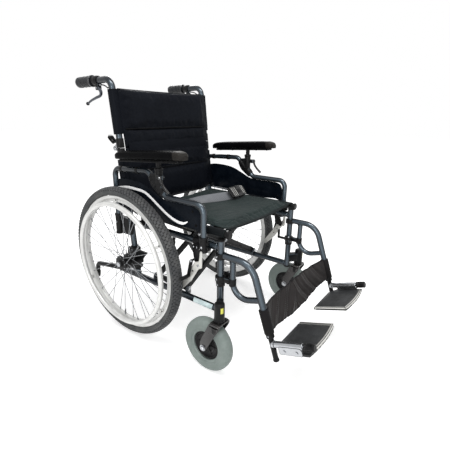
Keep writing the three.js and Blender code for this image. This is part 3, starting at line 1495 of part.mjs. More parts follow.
// The short open run of cable between the lever mount and the cane.
function brakeCable(side) {
  const x = side * FRAME_X;
  const grommetAlong = (CABLE_ENTRY_Z - LOWER_RAIL_Z) / Math.cos(CANE_LEAN);
  const mouth = TUBE_R + CABLE_GROMMET_LENGTH + TOUCH_GAP;
  const entry = point(x, mouth, grommetAlong).applyMatrix4(CANE_FRAME);
  const ahead = point(x, mouth + CABLE_GROMMET_LENGTH, grommetAlong).applyMatrix4(CANE_FRAME);
  const leaveY = ATTENDANT_PIVOT_Y - ATTENDANT_BOSS_R - TOUCH_GAP;
  const leave = point(x, leaveY, ATTENDANT_PIVOT_Z + ATTENDANT_BOSS_R + SLIDE_GAP + CABLE_R);
  const clear = leave.clone().setY(leaveY - CABLE_GROMMET_LENGTH);
  const route = new THREE.CubicBezierCurve3(
    clear,
    clear.clone().setY(leaveY - CABLE_SWEEP),
    ahead.clone().lerp(entry, -CABLE_PULL_SHARE),
    ahead,
  );
  const cord = sweep([leave, ...route.getPoints(ROD_SIDES), entry], CABLE_R, ROD_SIDES);
  return node(named('brake_cable', side), toSolid(cord), SATIN_BLACK, 0.6, 0);
}

function releaseLever(side) {
  const x = side * FRAME_X;
  const half = RELEASE_BOSS_R;
  const backY = RELEASE_PIVOT_BACK + RELEASE_LENGTH;
  const topZ = RELEASE_PIVOT_ALONG + RELEASE_RISE;
  const outline = [
    [RELEASE_PIVOT_BACK - half, RELEASE_PIVOT_ALONG],
    [RELEASE_PIVOT_BACK, RELEASE_PIVOT_ALONG + half],
    [backY - half, topZ + half],
    [backY, topZ],
    [backY - half, topZ - RELEASE_THICKNESS],
    [RELEASE_PIVOT_BACK + half, RELEASE_PIVOT_ALONG - half / 2],
    [RELEASE_PIVOT_BACK, RELEASE_PIVOT_ALONG - half],
  ];
  const outer = RELEASE_WIDTH / 2;
  const fork = KNUCKLE_WIDTH / 2 + SLIDE_GAP;
  const body = join(placed([plate('x', outline, x - outer, x + outer)], CANE_FRAME));
  const tools = placed([
    block(
      x - fork,
      x + fork,
      RELEASE_PIVOT_BACK - 2 * half,
      RELEASE_PIVOT_BACK + half,
      RELEASE_PIVOT_ALONG - 2 * half,
      RELEASE_PIVOT_ALONG + 2 * half,
    ),
    rod(
      point(x - RELEASE_WIDTH, RELEASE_PIVOT_BACK, RELEASE_PIVOT_ALONG),
      point(x + RELEASE_WIDTH, RELEASE_PIVOT_BACK, RELEASE_PIVOT_ALONG),
      RELEASE_PIN_R + PIN_GAP,
      ROD_SIDES,
    ),
  ], CANE_FRAME);
  return node(named('release_lever', side), cut(body, tools), SATIN_BLACK, 0.5, 0.1);
}

// Armrest.

function armrestFrame(side) {
  const x = side * ARM_X;
  const loop = tube([
    point(x, SOCKET_REAR_Y, ARM_FOOT_Z),
    point(x, SOCKET_REAR_Y, ARM_TOP_REAR_Z),
    point(x, ARM_DROP_START_Y, ARM_TOP_FRONT_Z),
    point(x, ARM_DROP_END_Y, ARM_FRONT_Z),
    point(x, SOCKET_FRONT_Y, ARM_FRONT_Z),
    point(x, SOCKET_FRONT_Y, ARM_FOOT_Z),
  ], ARM_BEND_R, ARM_TUBE_R);
  const clamp = rod(
    point(x, ARM_POST_Y, ARM_CLAMP_LOW_Z - ARM_CLAMP_R),
    point(x, ARM_POST_Y, ARM_CLAMP_TOP_Z),
    ARM_CLAMP_R,
  );
  const web = block(
    x - ARM_TUBE_R,
    x + ARM_TUBE_R,
    ARM_POST_Y,
    ARM_DROP_START_Y - ARM_CLAMP_R,
    ARM_CLAMP_LOW_Z,
    ARM_CLAMP_TOP_Z - ARM_CLAMP_R,
  );
  const leverPin = rod(
    point(x, ARM_LEVER_Y, ARM_LEVER_Z),
    point(side * (ARM_LEVER_X + ARM_LEVER_THICKNESS + BAR_GAP), ARM_LEVER_Y, ARM_LEVER_Z),
    ARM_LEVER_PIN_R,
    ROD_SIDES,
  );
  const ear = block(
    x - ARM_TUBE_R / 2,
    side * (ARM_LEVER_X - TOUCH_GAP),
    ARM_LEVER_Y - ARM_LEVER_BOSS_R,
    ARM_POST_Y,
    ARM_LEVER_Z - ARM_LEVER_BOSS_R,
    ARM_LEVER_Z + ARM_LEVER_BOSS_R,
  );
  const bore = rod(
    point(x, ARM_POST_Y, ARM_CLAMP_LOW_Z),
    point(x, ARM_POST_Y, ARM_CLAMP_TOP_Z + CUT_OVERRUN),
    ARM_POST_R + SLIDE_GAP,
  );
  const solid = cut(join([loop, clamp, web, ear, leverPin]), [bore]);
  return node(named('armrest_frame', side), solid, FRAME_BLUE, 0.35, 0.6);
}

// The pad and its carrier lie in a frame that tilts about the top of the post.
const PAD_FRAME = new THREE.Matrix4()
  .makeTranslation(0, ARM_POST_Y, PAD_BASE_Z)
  .multiply(new THREE.Matrix4().makeRotationX(-radians(PAD_TILT_DEGREES)));

function armrestPost(side) {
  const x = side * ARM_X;
  const carrier = placed([block(
    side * (PAD_X - PAD_CARRIER_WIDTH / 2),
    side * (PAD_X + PAD_CARRIER_WIDTH / 2),
    PAD_CARRIER_INSET - PAD_FRONT,
    PAD_REAR - PAD_CARRIER_INSET,
    -PAD_CARRIER_THICKNESS,
    -TOUCH_GAP,
  )], PAD_FRAME);
  const solid = join([
    rod(
      point(x, ARM_POST_Y, ARM_POST_LOW_Z),
      point(x, ARM_POST_Y, PAD_BASE_Z - PAD_CARRIER_THICKNESS / 2),
      ARM_POST_R,
    ),
    ...carrier,
  ]);
  return node(named('armrest_post', side), solid, SATIN_BLACK, 0.45, 0.5);
}

function armpad(side) {
  const shares = [0, 0.07, 0.3, 0.7, 0.93, 1];
  const pad = padded(shares.length - 1, 6, (u, v, front) => {
    const across = 2 * shares[Math.round(u * (shares.length - 1))] - 1;
    const along = 2 * v - 1;
    const y = -PAD_FRONT + (PAD_REAR + PAD_FRONT) * v;
    const edge = 1 - Math.abs(along) ** 6;
    const x = side * PAD_X + (across * (PAD_WIDTH - PAD_ROUND * (1 - edge))) / 2;
    if (!front) {
      return [x, y, 0];
    }
    const round = 1 - Math.abs(across) ** 4;
    const height = PAD_THICKNESS - PAD_ROUND * (1 - edge / 2 - round / 2);
    return [x, y, height + PAD_CROWN * round * edge];
  });
  const solid = join(placed([pad], PAD_FRAME));
  return node(named('armpad', side), solid, PAD_BLACK, 0.5, 0);
}

function armrestLever(side) {
  const half = ARM_LEVER_WIDTH / 2;
  const outline = [
    [ARM_LEVER_Y - ARM_LEVER_BOSS_R, ARM_LEVER_Z],
    [ARM_LEVER_Y, ARM_LEVER_Z + ARM_LEVER_BOSS_R],
    [ARM_LEVER_Y + ARM_LEVER_BOSS_R, ARM_LEVER_Z],
    [ARM_LEVER_Y, ARM_LEVER_Z - 2 * ARM_LEVER_BOSS_R],
    [ARM_LEVER_END_Y + half, ARM_LEVER_END_Z + half],
    [ARM_LEVER_END_Y + half, ARM_LEVER_END_Z - half],
    [ARM_LEVER_END_Y - half, ARM_LEVER_END_Z],
    [ARM_LEVER_END_Y - half, ARM_LEVER_END_Z + 2 * half],
    [ARM_LEVER_Y - ARM_LEVER_WIDTH, ARM_LEVER_Z - ARM_LEVER_BOSS_R],
  ];
  const near = side * ARM_LEVER_X;
  const far = side * (ARM_LEVER_X + ARM_LEVER_THICKNESS);
  const bore = rod(
    point(side * ARM_X, ARM_LEVER_Y, ARM_LEVER_Z),
    point(side * WHEEL_X, ARM_LEVER_Y, ARM_LEVER_Z),
    ARM_LEVER_PIN_R + PIN_GAP,
    ROD_SIDES,
  );
  const solid = cut(join([plate('x', outline, near, far)]), [bore]);
  return node(named('armrest_lever', side), solid, SATIN_BLACK, 0.4, 0.4);
}

// The panel's outline as shares of its length, front to rear, and of its rise above or
// drop below the armrest's front tube.
const PANEL_SHARES = [
  [1, 0.85],
  [0.9, 1],
  [0.757, 0.98],
  [0.64, 0.85],
  [0.523, 0.46],
  [0.4, 0],
  [0.07, 0],
  [0.02, -0.09],
  [0, -0.33],
  [0, -1],
  [0.06, -0.82],
  [0.24, -0.91],
  [1, -0.8],
];

function sidePanel(side) {
  const inside = ARM_TUBE_R + PANEL_GAP;
  const front = SOCKET_FRONT_Y + inside;
  const rear = SOCKET_REAR_Y - inside;
  const under = ARM_FRONT_Z - inside;
  const outline = PANEL_SHARES.map(([along, up]) => [
    front + along * (rear - front),
    under + up * (up > 0 ? PANEL_RISE : PANEL_DROP),
  ]);
  const panel = plate(
    'x',
    outline,
    side * (ARM_X - PANEL_THICKNESS / 2),
    side * (ARM_X + PANEL_THICKNESS / 2),
  );
  return node(named('side_panel', side), toSolid(panel), PANEL_BLUE, 0.5, 0.1);
}

// Cross-brace halves, each with the seat rail that it carries.

function brace({ name, footSide, order }) {
  const railSide = -footSide;
  const angle = Math.PI / 2 - BRACE_ANGLE;
  const bars = [];
  const bores = [];
  for (const base of [BRACE_FRONT_Y, BRACE_REAR_Y]) {
    const y = braceY(base, order);
    const bar = block(
      -BAR_HEIGHT / 2,
      BAR_HEIGHT / 2,
      y - BAR_THICKNESS / 2,
      y + BAR_THICKNESS / 2,
      0,
      BRACE_LENGTH,
    );
    bar.rotateY(railSide * angle);
    bars.push(bar.translate(footSide * RAIL_X, 0, PIVOT_Z));
    const middleZ = (PIVOT_Z + RAIL_Z) / 2;
    const partner = braceY(base, -order);
    if (order < 0) {
      const far = partner + BAR_THICKNESS / 2 + PIN_GAP;
      bars.push(rod(point(0, y, middleZ), point(0, far, middleZ), CENTRE_PIN_R, ROD_SIDES));
      bars.push(rod(
        point(0, far, middleZ),
        point(0, far + CENTRE_HEAD_LENGTH, middleZ),
        CENTRE_HEAD_R,
        ROD_SIDES,
      ));
    } else {
      bores.push(rod(
        point(0, y - BAR_THICKNESS, middleZ),
        point(0, y + BAR_THICKNESS, middleZ),
        CENTRE_PIN_R + PIN_GAP,
        ROD_SIDES,
      ));
    }
  }
  const [front, rear] = footRange(order);
  const footX = footSide * RAIL_X;
  bars.push(rod(point(footX, front, PIVOT_Z), point(footX, rear, PIVOT_Z), FOOT_TUBE_R));
  for (const [face, inward] of [[front, 1], [rear, -1]]) {
    bores.push(rod(
      point(footX, face - inward * CUT_OVERRUN, PIVOT_Z),
      point(footX, face + inward * (FOOT_PIN_REACH + CUT_OVERRUN), PIVOT_Z),
      FOOT_PIN_R + PIN_GAP,
      ROD_SIDES,
    ));
  }
  const railX = railSide * RAIL_X;
  bars.push(rod(point(railX, RAIL_FRONT_Y, RAIL_Z), point(railX, RAIL_REAR_Y, RAIL_Z), TUBE_R));
  bars.push(rod(
    point(railX, RAIL_FRONT_Y - RAIL_CAP_LENGTH / 2, RAIL_Z),
    point(railX, RAIL_FRONT_Y, RAIL_Z),
    TUBE_R + RAIL_CAP_LIP,
  ));
  return node(name, cut(join(bars), bores), SATIN_BLACK, 0.5, 0.4);
}

// Seat sling: it wraps over both rails and sags between them.

const SEAT_WRAP = TUBE_R + SLIDE_GAP;
const SEAT_LEAVE = Math.atan((2 * SEAT_SAG) / RAIL_X);
const SEAT_SPAN = RAIL_X - SEAT_WRAP * Math.sin(SEAT_LEAVE);

function seatUnder(x) {
  const spring = RAIL_Z + SEAT_WRAP * Math.cos(SEAT_LEAVE);
  return spring - SEAT_SAG * (1 - (x / SEAT_SPAN) ** 2);
}

function seatTop(x) {
  const reach = Math.min(Math.abs(x) / SEAT_SPAN, 1);
  return seatUnder(x) + SEAT_EDGE + SEAT_CROWN * (1 - reach ** 4);
}

function seatSling() {
  const under = [];
  const wrapTurns = [-20, 10, 40, 65];
  for (const degrees of wrapTurns) {
    const turn = radians(degrees);
    under.push([RAIL_X + SEAT_WRAP * Math.cos(turn), RAIL_Z + SEAT_WRAP * Math.sin(turn)]);
  }
  for (let i = 0; i <= SEAT_HALF_STEPS; i += 1) {
    const x = SEAT_SPAN * (1 - i / SEAT_HALF_STEPS);
    under.push([x, seatUnder(x)]);
  }
  const over = under.map(([x, z]) => {
    if (x < SEAT_SPAN) {
      return [x, seatTop(x)];
    }
    const out = point(x - RAIL_X, 0, z - RAIL_Z).normalize().multiplyScalar(SEAT_EDGE);
    return [x + out.x, z + out.z];
  });
  const mirror = (list) => list.map(([x, z]) => [-x, z]);
  const outline = [
    ...over,
    ...mirror(over).reverse().slice(1),
    ...mirror(under),
    ...under.slice(0, -1).reverse(),
  ];
  const sling = plate('y', outline, SEAT_FRONT_Y, SEAT_REAR_Y);
  return node('seat_sling', toSolid(sling), SEAT_GREEN, 0.85, 0);
}

// Back panels: a padded face in front of the canes, with a sleeve round each cane.

function backPanel(name, low, top, seam, sleeveLow, sleeveTop) {
  const backFace = -(HINGE_COLLAR_R + BACK_FACE_GAP);
  const seamHalf = BACK_SEAM_DEPTH * 3;
  const face = padded(6, 8, (u, v, front) => {
    const across = 2 * u - 1;
    const along = low + (top - low) * v;
    const sag = BACK_SAG * (1 - across ** 2);
    const edge = 1 - Math.abs(2 * v - 1) ** 8;
    const x = BACK_HALF_WIDTH * across;
    if (!front) {
      return [x, backFace + sag, along];
    }
    const groove = Math.max(0, 1 - Math.abs(along - seam) / seamHalf) * BACK_SEAM_DEPTH;
    const swell = (BACK_THICKNESS - BACK_EDGE + BACK_CROWN * (1 - across ** 2)) * edge;
    const thick = BACK_EDGE + Math.max(swell - groove, 0) * (1 - across ** 10);
    return [x, backFace + sag - thick, along];
  });
  const sleeves = [];
  for (const side of [RIGHT, LEFT]) {
    const inner = TUBE_R + SLIDE_GAP;
    const outer = inner + SLEEVE_WALL;
    const turns = [-112, -90, -60, -30, 0, 30, 60, 90, 112];
    const ring = (radius) => turns.map((degrees) => [
      side * (FRAME_X + radius * Math.cos(radians(degrees))),
      radius * Math.sin(radians(degrees)),
    ]);
    sleeves.push(plate('z', [...ring(outer), ...ring(inner).reverse()], sleeveLow, sleeveTop));
    sleeves.push(block(
      side * (FRAME_X - outer),
      side * FRAME_X,
      -(inner + SLEEVE_WALL / 2),
      backFace - BACK_EDGE / 2,
      sleeveLow,
      sleeveTop,
    ));
  }
  const solid = join(placed([face, ...sleeves], CANE_FRAME));
  return node(name, solid, BACK_BLACK, 0.9, 0);
}

// Calf strap, in the leg's frame.

function calfStrap() {
  const inner = HANGER_R + SLIDE_GAP;
  const outer = inner + STRAP_THICKNESS;
  const span = FRAME_X - inner - STRAP_THICKNESS / 2;
  const band = padded(STRAP_PLEAT_COUNT * 2, 2, (u, v, front) => {
    const across = 2 * u - 1;
    const pleat = STRAP_PLEAT_DEPTH * Math.cos(2 * Math.PI * STRAP_PLEAT_COUNT * u);
    const bow = STRAP_BOW * (1 - across ** 4);
    const z = STRAP_LOW + (STRAP_TOP - STRAP_LOW) * v;
    const thick = front ? -STRAP_THICKNESS : STRAP_THICKNESS;
    return [span * across, bow + pleat * (1 - across ** 8) + thick / 2, z];
  });
  const wraps = [];
  for (const side of [RIGHT, LEFT]) {
    const turns = [-160, -125, -90, -55, -20, 15, 50, 85, 120, 155, 187];
    const ring = (radius) => turns.map((degrees) => [
      side * (FRAME_X + radius * Math.cos(radians(degrees))),
      radius * Math.sin(radians(degrees)),
    ]);
    wraps.push(plate('z', [...ring(outer), ...ring(inner).reverse()], STRAP_LOW, STRAP_TOP));
  }
  const solid = join(placed([band, ...wraps], LEG_FRAME));
  return node('calf_strap', solid, STRAP_GREY, 0.9, 0);
}

// Lap belt lying on the seat, with its buckle on top.

// The belt's route as shares of half the seat's width and of the seat's depth.
const BELT_ROUTE_SHARES = [
  [-0.93, 0.93],
  [-0.8, 0.84],
  [-0.6, 0.75],
  [-0.4, 0.68],
  [-0.2, 0.62],
  [0, 0.57],
  [0.2, 0.53],
  [0.4, 0.5],
  [0.62, 0.5],
  [0.78, 0.6],
  [0.9, 0.76],
  [0.94, 0.94],
];

function lapBelt() {
  const route = BELT_ROUTE_SHARES.map(([across, along]) => {
    const x = across * RAIL_X;
    return point(x, SEAT_FRONT_Y + along * (SEAT_REAR_Y - SEAT_FRONT_Y), seatTop(x));
  });
  const run = padded(1, route.length - 1, (u, v, front) => {
    const index = Math.round(v * (route.length - 1));
    const before = route[Math.max(index - 1, 0)];
    const after = route[Math.min(index + 1, route.length - 1)];
    const ahead = after.clone().sub(before).setZ(0).normalize();
    const across = new THREE.Vector3(ahead.y, -ahead.x, 0);
    const place = route[index].clone().addScaledVector(across, (u - 1 / 2) * BELT_WIDTH);
    const low = seatTop(place.x) + BELT_LIFT;
    return [place.x, place.y, front ? low + BELT_THICKNESS : low];
  });
  return node('lap_belt', toSolid(run), BELT_GREY, 0.6, 0);
}

function beltBuckle() {
  const bevel = BUCKLE_HEIGHT / 4;
  const left = BUCKLE_X - BUCKLE_LENGTH / 2;
  const right = BUCKLE_X + BUCKLE_LENGTH / 2;
  const seat = Math.max(seatTop(left), seatTop(BUCKLE_X));
  const floor = seat + BELT_LIFT + BELT_THICKNESS + TOUCH_GAP;
  const top = floor + BUCKLE_HEIGHT;
  const outline = [
    [left, floor + bevel],
    [left + bevel, floor],
    [right - bevel, floor],
    [right, floor + bevel],
    [right, top - bevel],
    [right - bevel, top],
    [left + bevel, top],
    [left, top - bevel],
  ];
  const half = BUCKLE_WIDTH / 2;
  const solid = toSolid(plate('y', outline, BUCKLE_Y - half, BUCKLE_Y + half));
  return node('belt_buckle', solid, SATIN_BLACK, 0.35, 0);
}

// The whole chair.

const chair = new THREE.Group();
for (const side of [RIGHT, LEFT]) {
  chair.add(sideFrame(side));
  chair.add(axlePlate(side));
  chair.add(rearTyre(side));
  chair.add(rearWheel(side));
  chair.add(pushRim(side));
  chair.add(casterFork(side));
  chair.add(casterTyre(side));
  chair.add(casterHub(side));
  chair.add(tipTube(side));
  chair.add(hanger(side));
  chair.add(hangerLatch(side));
  chair.add(legExtension(side));
  chair.add(footplate(side));
  chair.add(brakeBody(side));
  chair.add(brakeLever(side));
  chair.add(brakeShoe(side));
  chair.add(backCane(side));
  chair.add(pushGrip(side));
  chair.add(attendantLever(side));
  chair.add(brakeCable(side));
  chair.add(releaseLever(side));
  chair.add(armrestFrame(side));
  chair.add(armrestPost(side));
  chair.add(armpad(side));
  chair.add(armrestLever(side));
  chair.add(sidePanel(side));
}
for (const half of BRACES) {
  chair.add(brace(half));
}
chair.add(seatSling());
chair.add(backPanel(
  'back_lower',
  BACK_SEAT_GAP,
  HINGE_ALONG - BACK_PARTING,
  BACK_SEAM_LOWER,
  BACK_SEAT_GAP,
  SLEEVE_LOWER_TOP,
));
chair.add(backPanel(
  'back_upper',
  HINGE_ALONG + BACK_PARTING,
  BACK_TOP,
  BACK_SEAM_UPPER,
  SLEEVE_UPPER_LOW,
  BACK_TOP,
));
chair.add(calfStrap());
chair.add(lapBelt());
chair.add(beltBuckle());

// The origin is the middle of the floor plan.
const reach = new THREE.Box3().setFromObject(chair);
chair.position.y = -(reach.min.y + reach.max.y) / 2;
chair.updateMatrixWorld(true);

export default chair;
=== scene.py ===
"""Fine surfaces, fabrics and finishes of a folding bariatric wheelchair.

Sizes are in millimetres from the rear axle, X across the chair and the footplates facing -Y.
A finished form turns into metres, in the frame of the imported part.
"""

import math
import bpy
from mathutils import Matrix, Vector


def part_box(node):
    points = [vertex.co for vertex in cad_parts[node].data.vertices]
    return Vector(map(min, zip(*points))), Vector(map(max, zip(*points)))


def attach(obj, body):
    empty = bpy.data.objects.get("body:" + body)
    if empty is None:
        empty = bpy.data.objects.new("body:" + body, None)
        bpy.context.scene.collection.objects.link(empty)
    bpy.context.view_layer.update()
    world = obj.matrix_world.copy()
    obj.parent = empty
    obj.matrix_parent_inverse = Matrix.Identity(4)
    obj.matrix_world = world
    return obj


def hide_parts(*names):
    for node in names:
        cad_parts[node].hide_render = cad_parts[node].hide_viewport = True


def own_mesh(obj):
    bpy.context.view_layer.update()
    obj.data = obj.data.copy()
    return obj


bl_info = {
    "name": "Folding Bariatric Wheelchair",
    "version": (1, 0, 0),
    "blender": (4, 5, 0),
    "location": "3D View > Sidebar > Wheelchair",
    "description": "Builds the fine pieces, fabrics and finishes of a folding wheelchair",
    "category": "Object",
}

import bmesh
import bpy
from bpy.props import FloatProperty, FloatVectorProperty, IntProperty, PointerProperty
from mathutils import Matrix, Vector, noise

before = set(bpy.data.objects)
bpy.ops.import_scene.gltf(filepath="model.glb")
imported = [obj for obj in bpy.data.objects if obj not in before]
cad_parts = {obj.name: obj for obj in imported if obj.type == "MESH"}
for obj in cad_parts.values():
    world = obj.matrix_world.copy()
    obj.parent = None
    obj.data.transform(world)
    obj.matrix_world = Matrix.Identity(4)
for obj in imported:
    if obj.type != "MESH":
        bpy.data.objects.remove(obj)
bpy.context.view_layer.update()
tyre_low, tyre_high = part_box("rear_tyre_right")
AXLE_Y = (tyre_low.y + tyre_high.y) / 2
TO_METRES = Matrix.Translation((0, AXLE_Y, 0)) @ Matrix.Scale(0.001, 4)

RIGHT = -1
LEFT = 1
SIDES = ((RIGHT, "right"), (LEFT, "left"))

# Side frame.
FRAME_X = 254
TUBE_R = 12.5
POST_Y = -428
POST_TOP_Z = 480
LOWER_RAIL_Z = 218
LOWER_RAIL_END_Y = 95
UPPER_RAIL_Z = 453
CANE_FOOT_Y = 8
CANE_LEAN = math.radians(6.3)
RAIL_X = 240
RAIL_Z = 497
RAIL_FRONT_Y = -449
RAIL_REAR_Y = 8
PIVOT_Z = 242
BRACE_BASES = (-250, -90)
BAR_THICKNESS = 10
BAR_HEIGHT = 26
BAR_OFFSET = 5.5
SADDLES = (-330, -40)

# Armrest sockets and caster housing.
ARM_X = 281
ARM_TUBE_R = 11
SOCKET_R = 14
SOCKET_LOW_Z = 432
SOCKET_TOP_Z = 486
SOCKET_REAR_LOW_Z = 400
SOCKET_FRONT_Y = -376
SOCKET_REAR_Y = 76
STEM_X = 302
STEM_Y = -462
HOUSING_R = 18
HOUSING_LOW_Z = 214
HOUSING_TOP_Z = 276

# Wheels.
WHEEL_X = 324
WHEEL_R = 305
TYRE_CENTRE_R = 284.5
TYRE_HALF_WIDTH = 22.0
TYRE_HALF_HEIGHT = 17.6
TREAD_EDGE_R = 290
RIM_R = 272
AXLE_END_X = 352.7
SPOKE_COUNT = 36
PUSH_RIM_X = 359
PUSH_RIM_R = 243
PUSH_TUBE_R = 9.5
CASTER_R = 100
CASTER_Y = STEM_Y + 47

# Leg supports.
LEG_LEAN = math.radians(19.5)
LEG_Y = -641
LEG_Z = 173.8
HANGER_R = 12
HANGER_TOP_Z = 427
LOWER_RING_Z = 332
UPPER_RING_Z = HANGER_TOP_Z - 13
INNER_TUBE_Y = -479
RING_R = 19
RING_HEIGHT = 20
PLATE_INNER_X = 64
PLATE_TOP = -20
PLATE_OUTER_X = 262

# Backrest.
HINGE_ALONG = 528
HINGE_OFFSET = 26
HANDLE_Z = 992
HANDLE_END_Y = 300
GRIP_END_Y = 303
ATTENDANT_PIVOT = (176, 962)
GROMMET_Z = 964
BACK_TOP = 742
BACK_SEAT_GAP = 316
BACK_HALF = 246
BACK_FACE = -16
BACK_SAG = 16
BACK_FILL = 8
BACK_CROWN = 4
BACK_HANG = 15
LOWER_SEAM = 434
UPPER_SEAM = 597
LOWER_SLEEVE_TOP = 484
UPPER_SLEEVE_LOW = 580

# Brakes and armrests.
BRAKE_PIVOT = (-366, 386)
BRAKE_LEVER_X = 295.7
BRAKE_SHOE_X = 300.4
ARM_POST_Y = -172
PAD_BASE_Z = 722
PAD_X = 290
PAD_HALF_WIDTH = 28
PAD_HEIGHT = 32
PAD_CAP = 34
ARM_LOW_Z = 594
ARM_LEVER_PIVOT = (-196, 664)


def leaned(place, angle):
    """A place turned about X."""
    return Matrix.Translation(place) @ Matrix.Rotation(angle, 4, "X")


CANE_FRAME = leaned((0, CANE_FOOT_Y, LOWER_RAIL_Z), -CANE_LEAN)
LEG_FRAME = leaned((0, LEG_Y, LEG_Z), -LEG_LEAN)
LEG_FORWARD = LEG_FRAME.to_3x3() @ Vector((0, -1, 0))
PAD_FRAME = leaned((0, ARM_POST_Y, PAD_BASE_Z), math.radians(-4))

SHARP = math.radians(28)
X_AXIS = Vector((1, 0, 0))
Y_AXIS = Vector((0, 1, 0))
Z_AXIS = Vector((0, 0, 1))


def cane_y(z):
    return CANE_FOOT_Y + (z - LOWER_RAIL_Z) * math.tan(CANE_LEAN)


def cane_point(x, along, back=0):
    return CANE_FRAME @ Vector((x, back, along))


def leg_point(x, along, back=0):
    return LEG_FRAME @ Vector((x, back, along))


def handle_z(y):
    return HANDLE_Z - (y - cane_y(HANDLE_Z)) * 7 / (HANDLE_END_Y - cane_y(HANDLE_Z))


def bent(corners, bend_radius, step=math.radians(6)):
    """Corners joined by straight runs and round bends."""
    corners = [Vector(c) for c in corners]
    places = [corners[0]]
    for before, corner, after in zip(corners, corners[1:], corners[2:]):
        back = (before - corner).normalized()
        ahead = (after - corner).normalized()
        half = back.angle(ahead) / 2
        turn = math.pi - 2 * half
        centre = corner + (back + ahead).normalized() * (bend_radius / math.sin(half))
        start = corner + back * (bend_radius / math.tan(half)) - centre
        axis = ahead.cross(back).normalized()
        count = max(2, math.ceil(turn / step))
        for k in range(count + 1):
            places.append(Matrix.Rotation(turn * k / count, 3, axis) @ start + centre)
    return places + [corners[-1]]


def smooth_run(corners, count=8):
    """A soft curve through given places."""
    corners = [Vector(c) for c in corners]
    padded = [2 * corners[0] - corners[1], *corners, 2 * corners[-1] - corners[-2]]
    places = []
    for p0, p1, p2, p3 in zip(padded, padded[1:], padded[2:], padded[3:]):
        for k in range(count):
            t = k / count
            places.append(0.5 * (2 * p1 + (p2 - p0) * t + (2 * p0 - 5 * p1 + 4 * p2 - p3) * t * t
                                 + (3 * p1 - p0 - 3 * p2 + p3) * t ** 3))
    return places + [corners[-1]]


def square_to(axis):
    """Two directions square to an axis and to each other."""
    first = axis.orthogonal().normalized()
    return first, axis.cross(first).normalized()


def mirrored(outline, side):
    return [(side * u, v) for u, v in outline]


def both_ways(half):
    """A profile followed by its mirror image, the places on the middle line once."""
    return half + [(-a, r) for a, r in reversed(half) if a]


def ring_faces(rings, sides):
    """Faces between rings of places, with both ends closed."""
    faces = [tuple(range(sides)), tuple((rings - 1) * sides + k for k in range(sides))]
    for i in range(rings - 1):
        for k in range(sides):
            a = i * sides + k
            b = i * sides + (k + 1) % sides
            faces.append((a, b, b + sides, a + sides))
    return faces


def strip(lines):
    """A closed strip, from the lines of places that go round its section."""
    count, sides = len(lines[0]), len(lines)
    faces = []
    for r in range(sides):
        here, after = r * count, (r + 1) % sides * count
        faces += [(here + i, here + i + 1, after + i + 1, after + i) for i in range(count - 1)]
    faces.append(tuple(r * count for r in range(sides)))
    faces.append(tuple(r * count + count - 1 for r in range(sides)))
    return [place for line in lines for place in line], faces


def wrapped(side, x, z, runs):
    """The outline of cloth round a tube: runs gives radii, each with its angles in degrees."""
    outline = []
    for radius, turns in runs:
        for degrees in turns:
            turn = math.radians(degrees)
            outline.append((side * (x + radius * math.cos(turn)), z + radius * math.sin(turn)))
    return outline


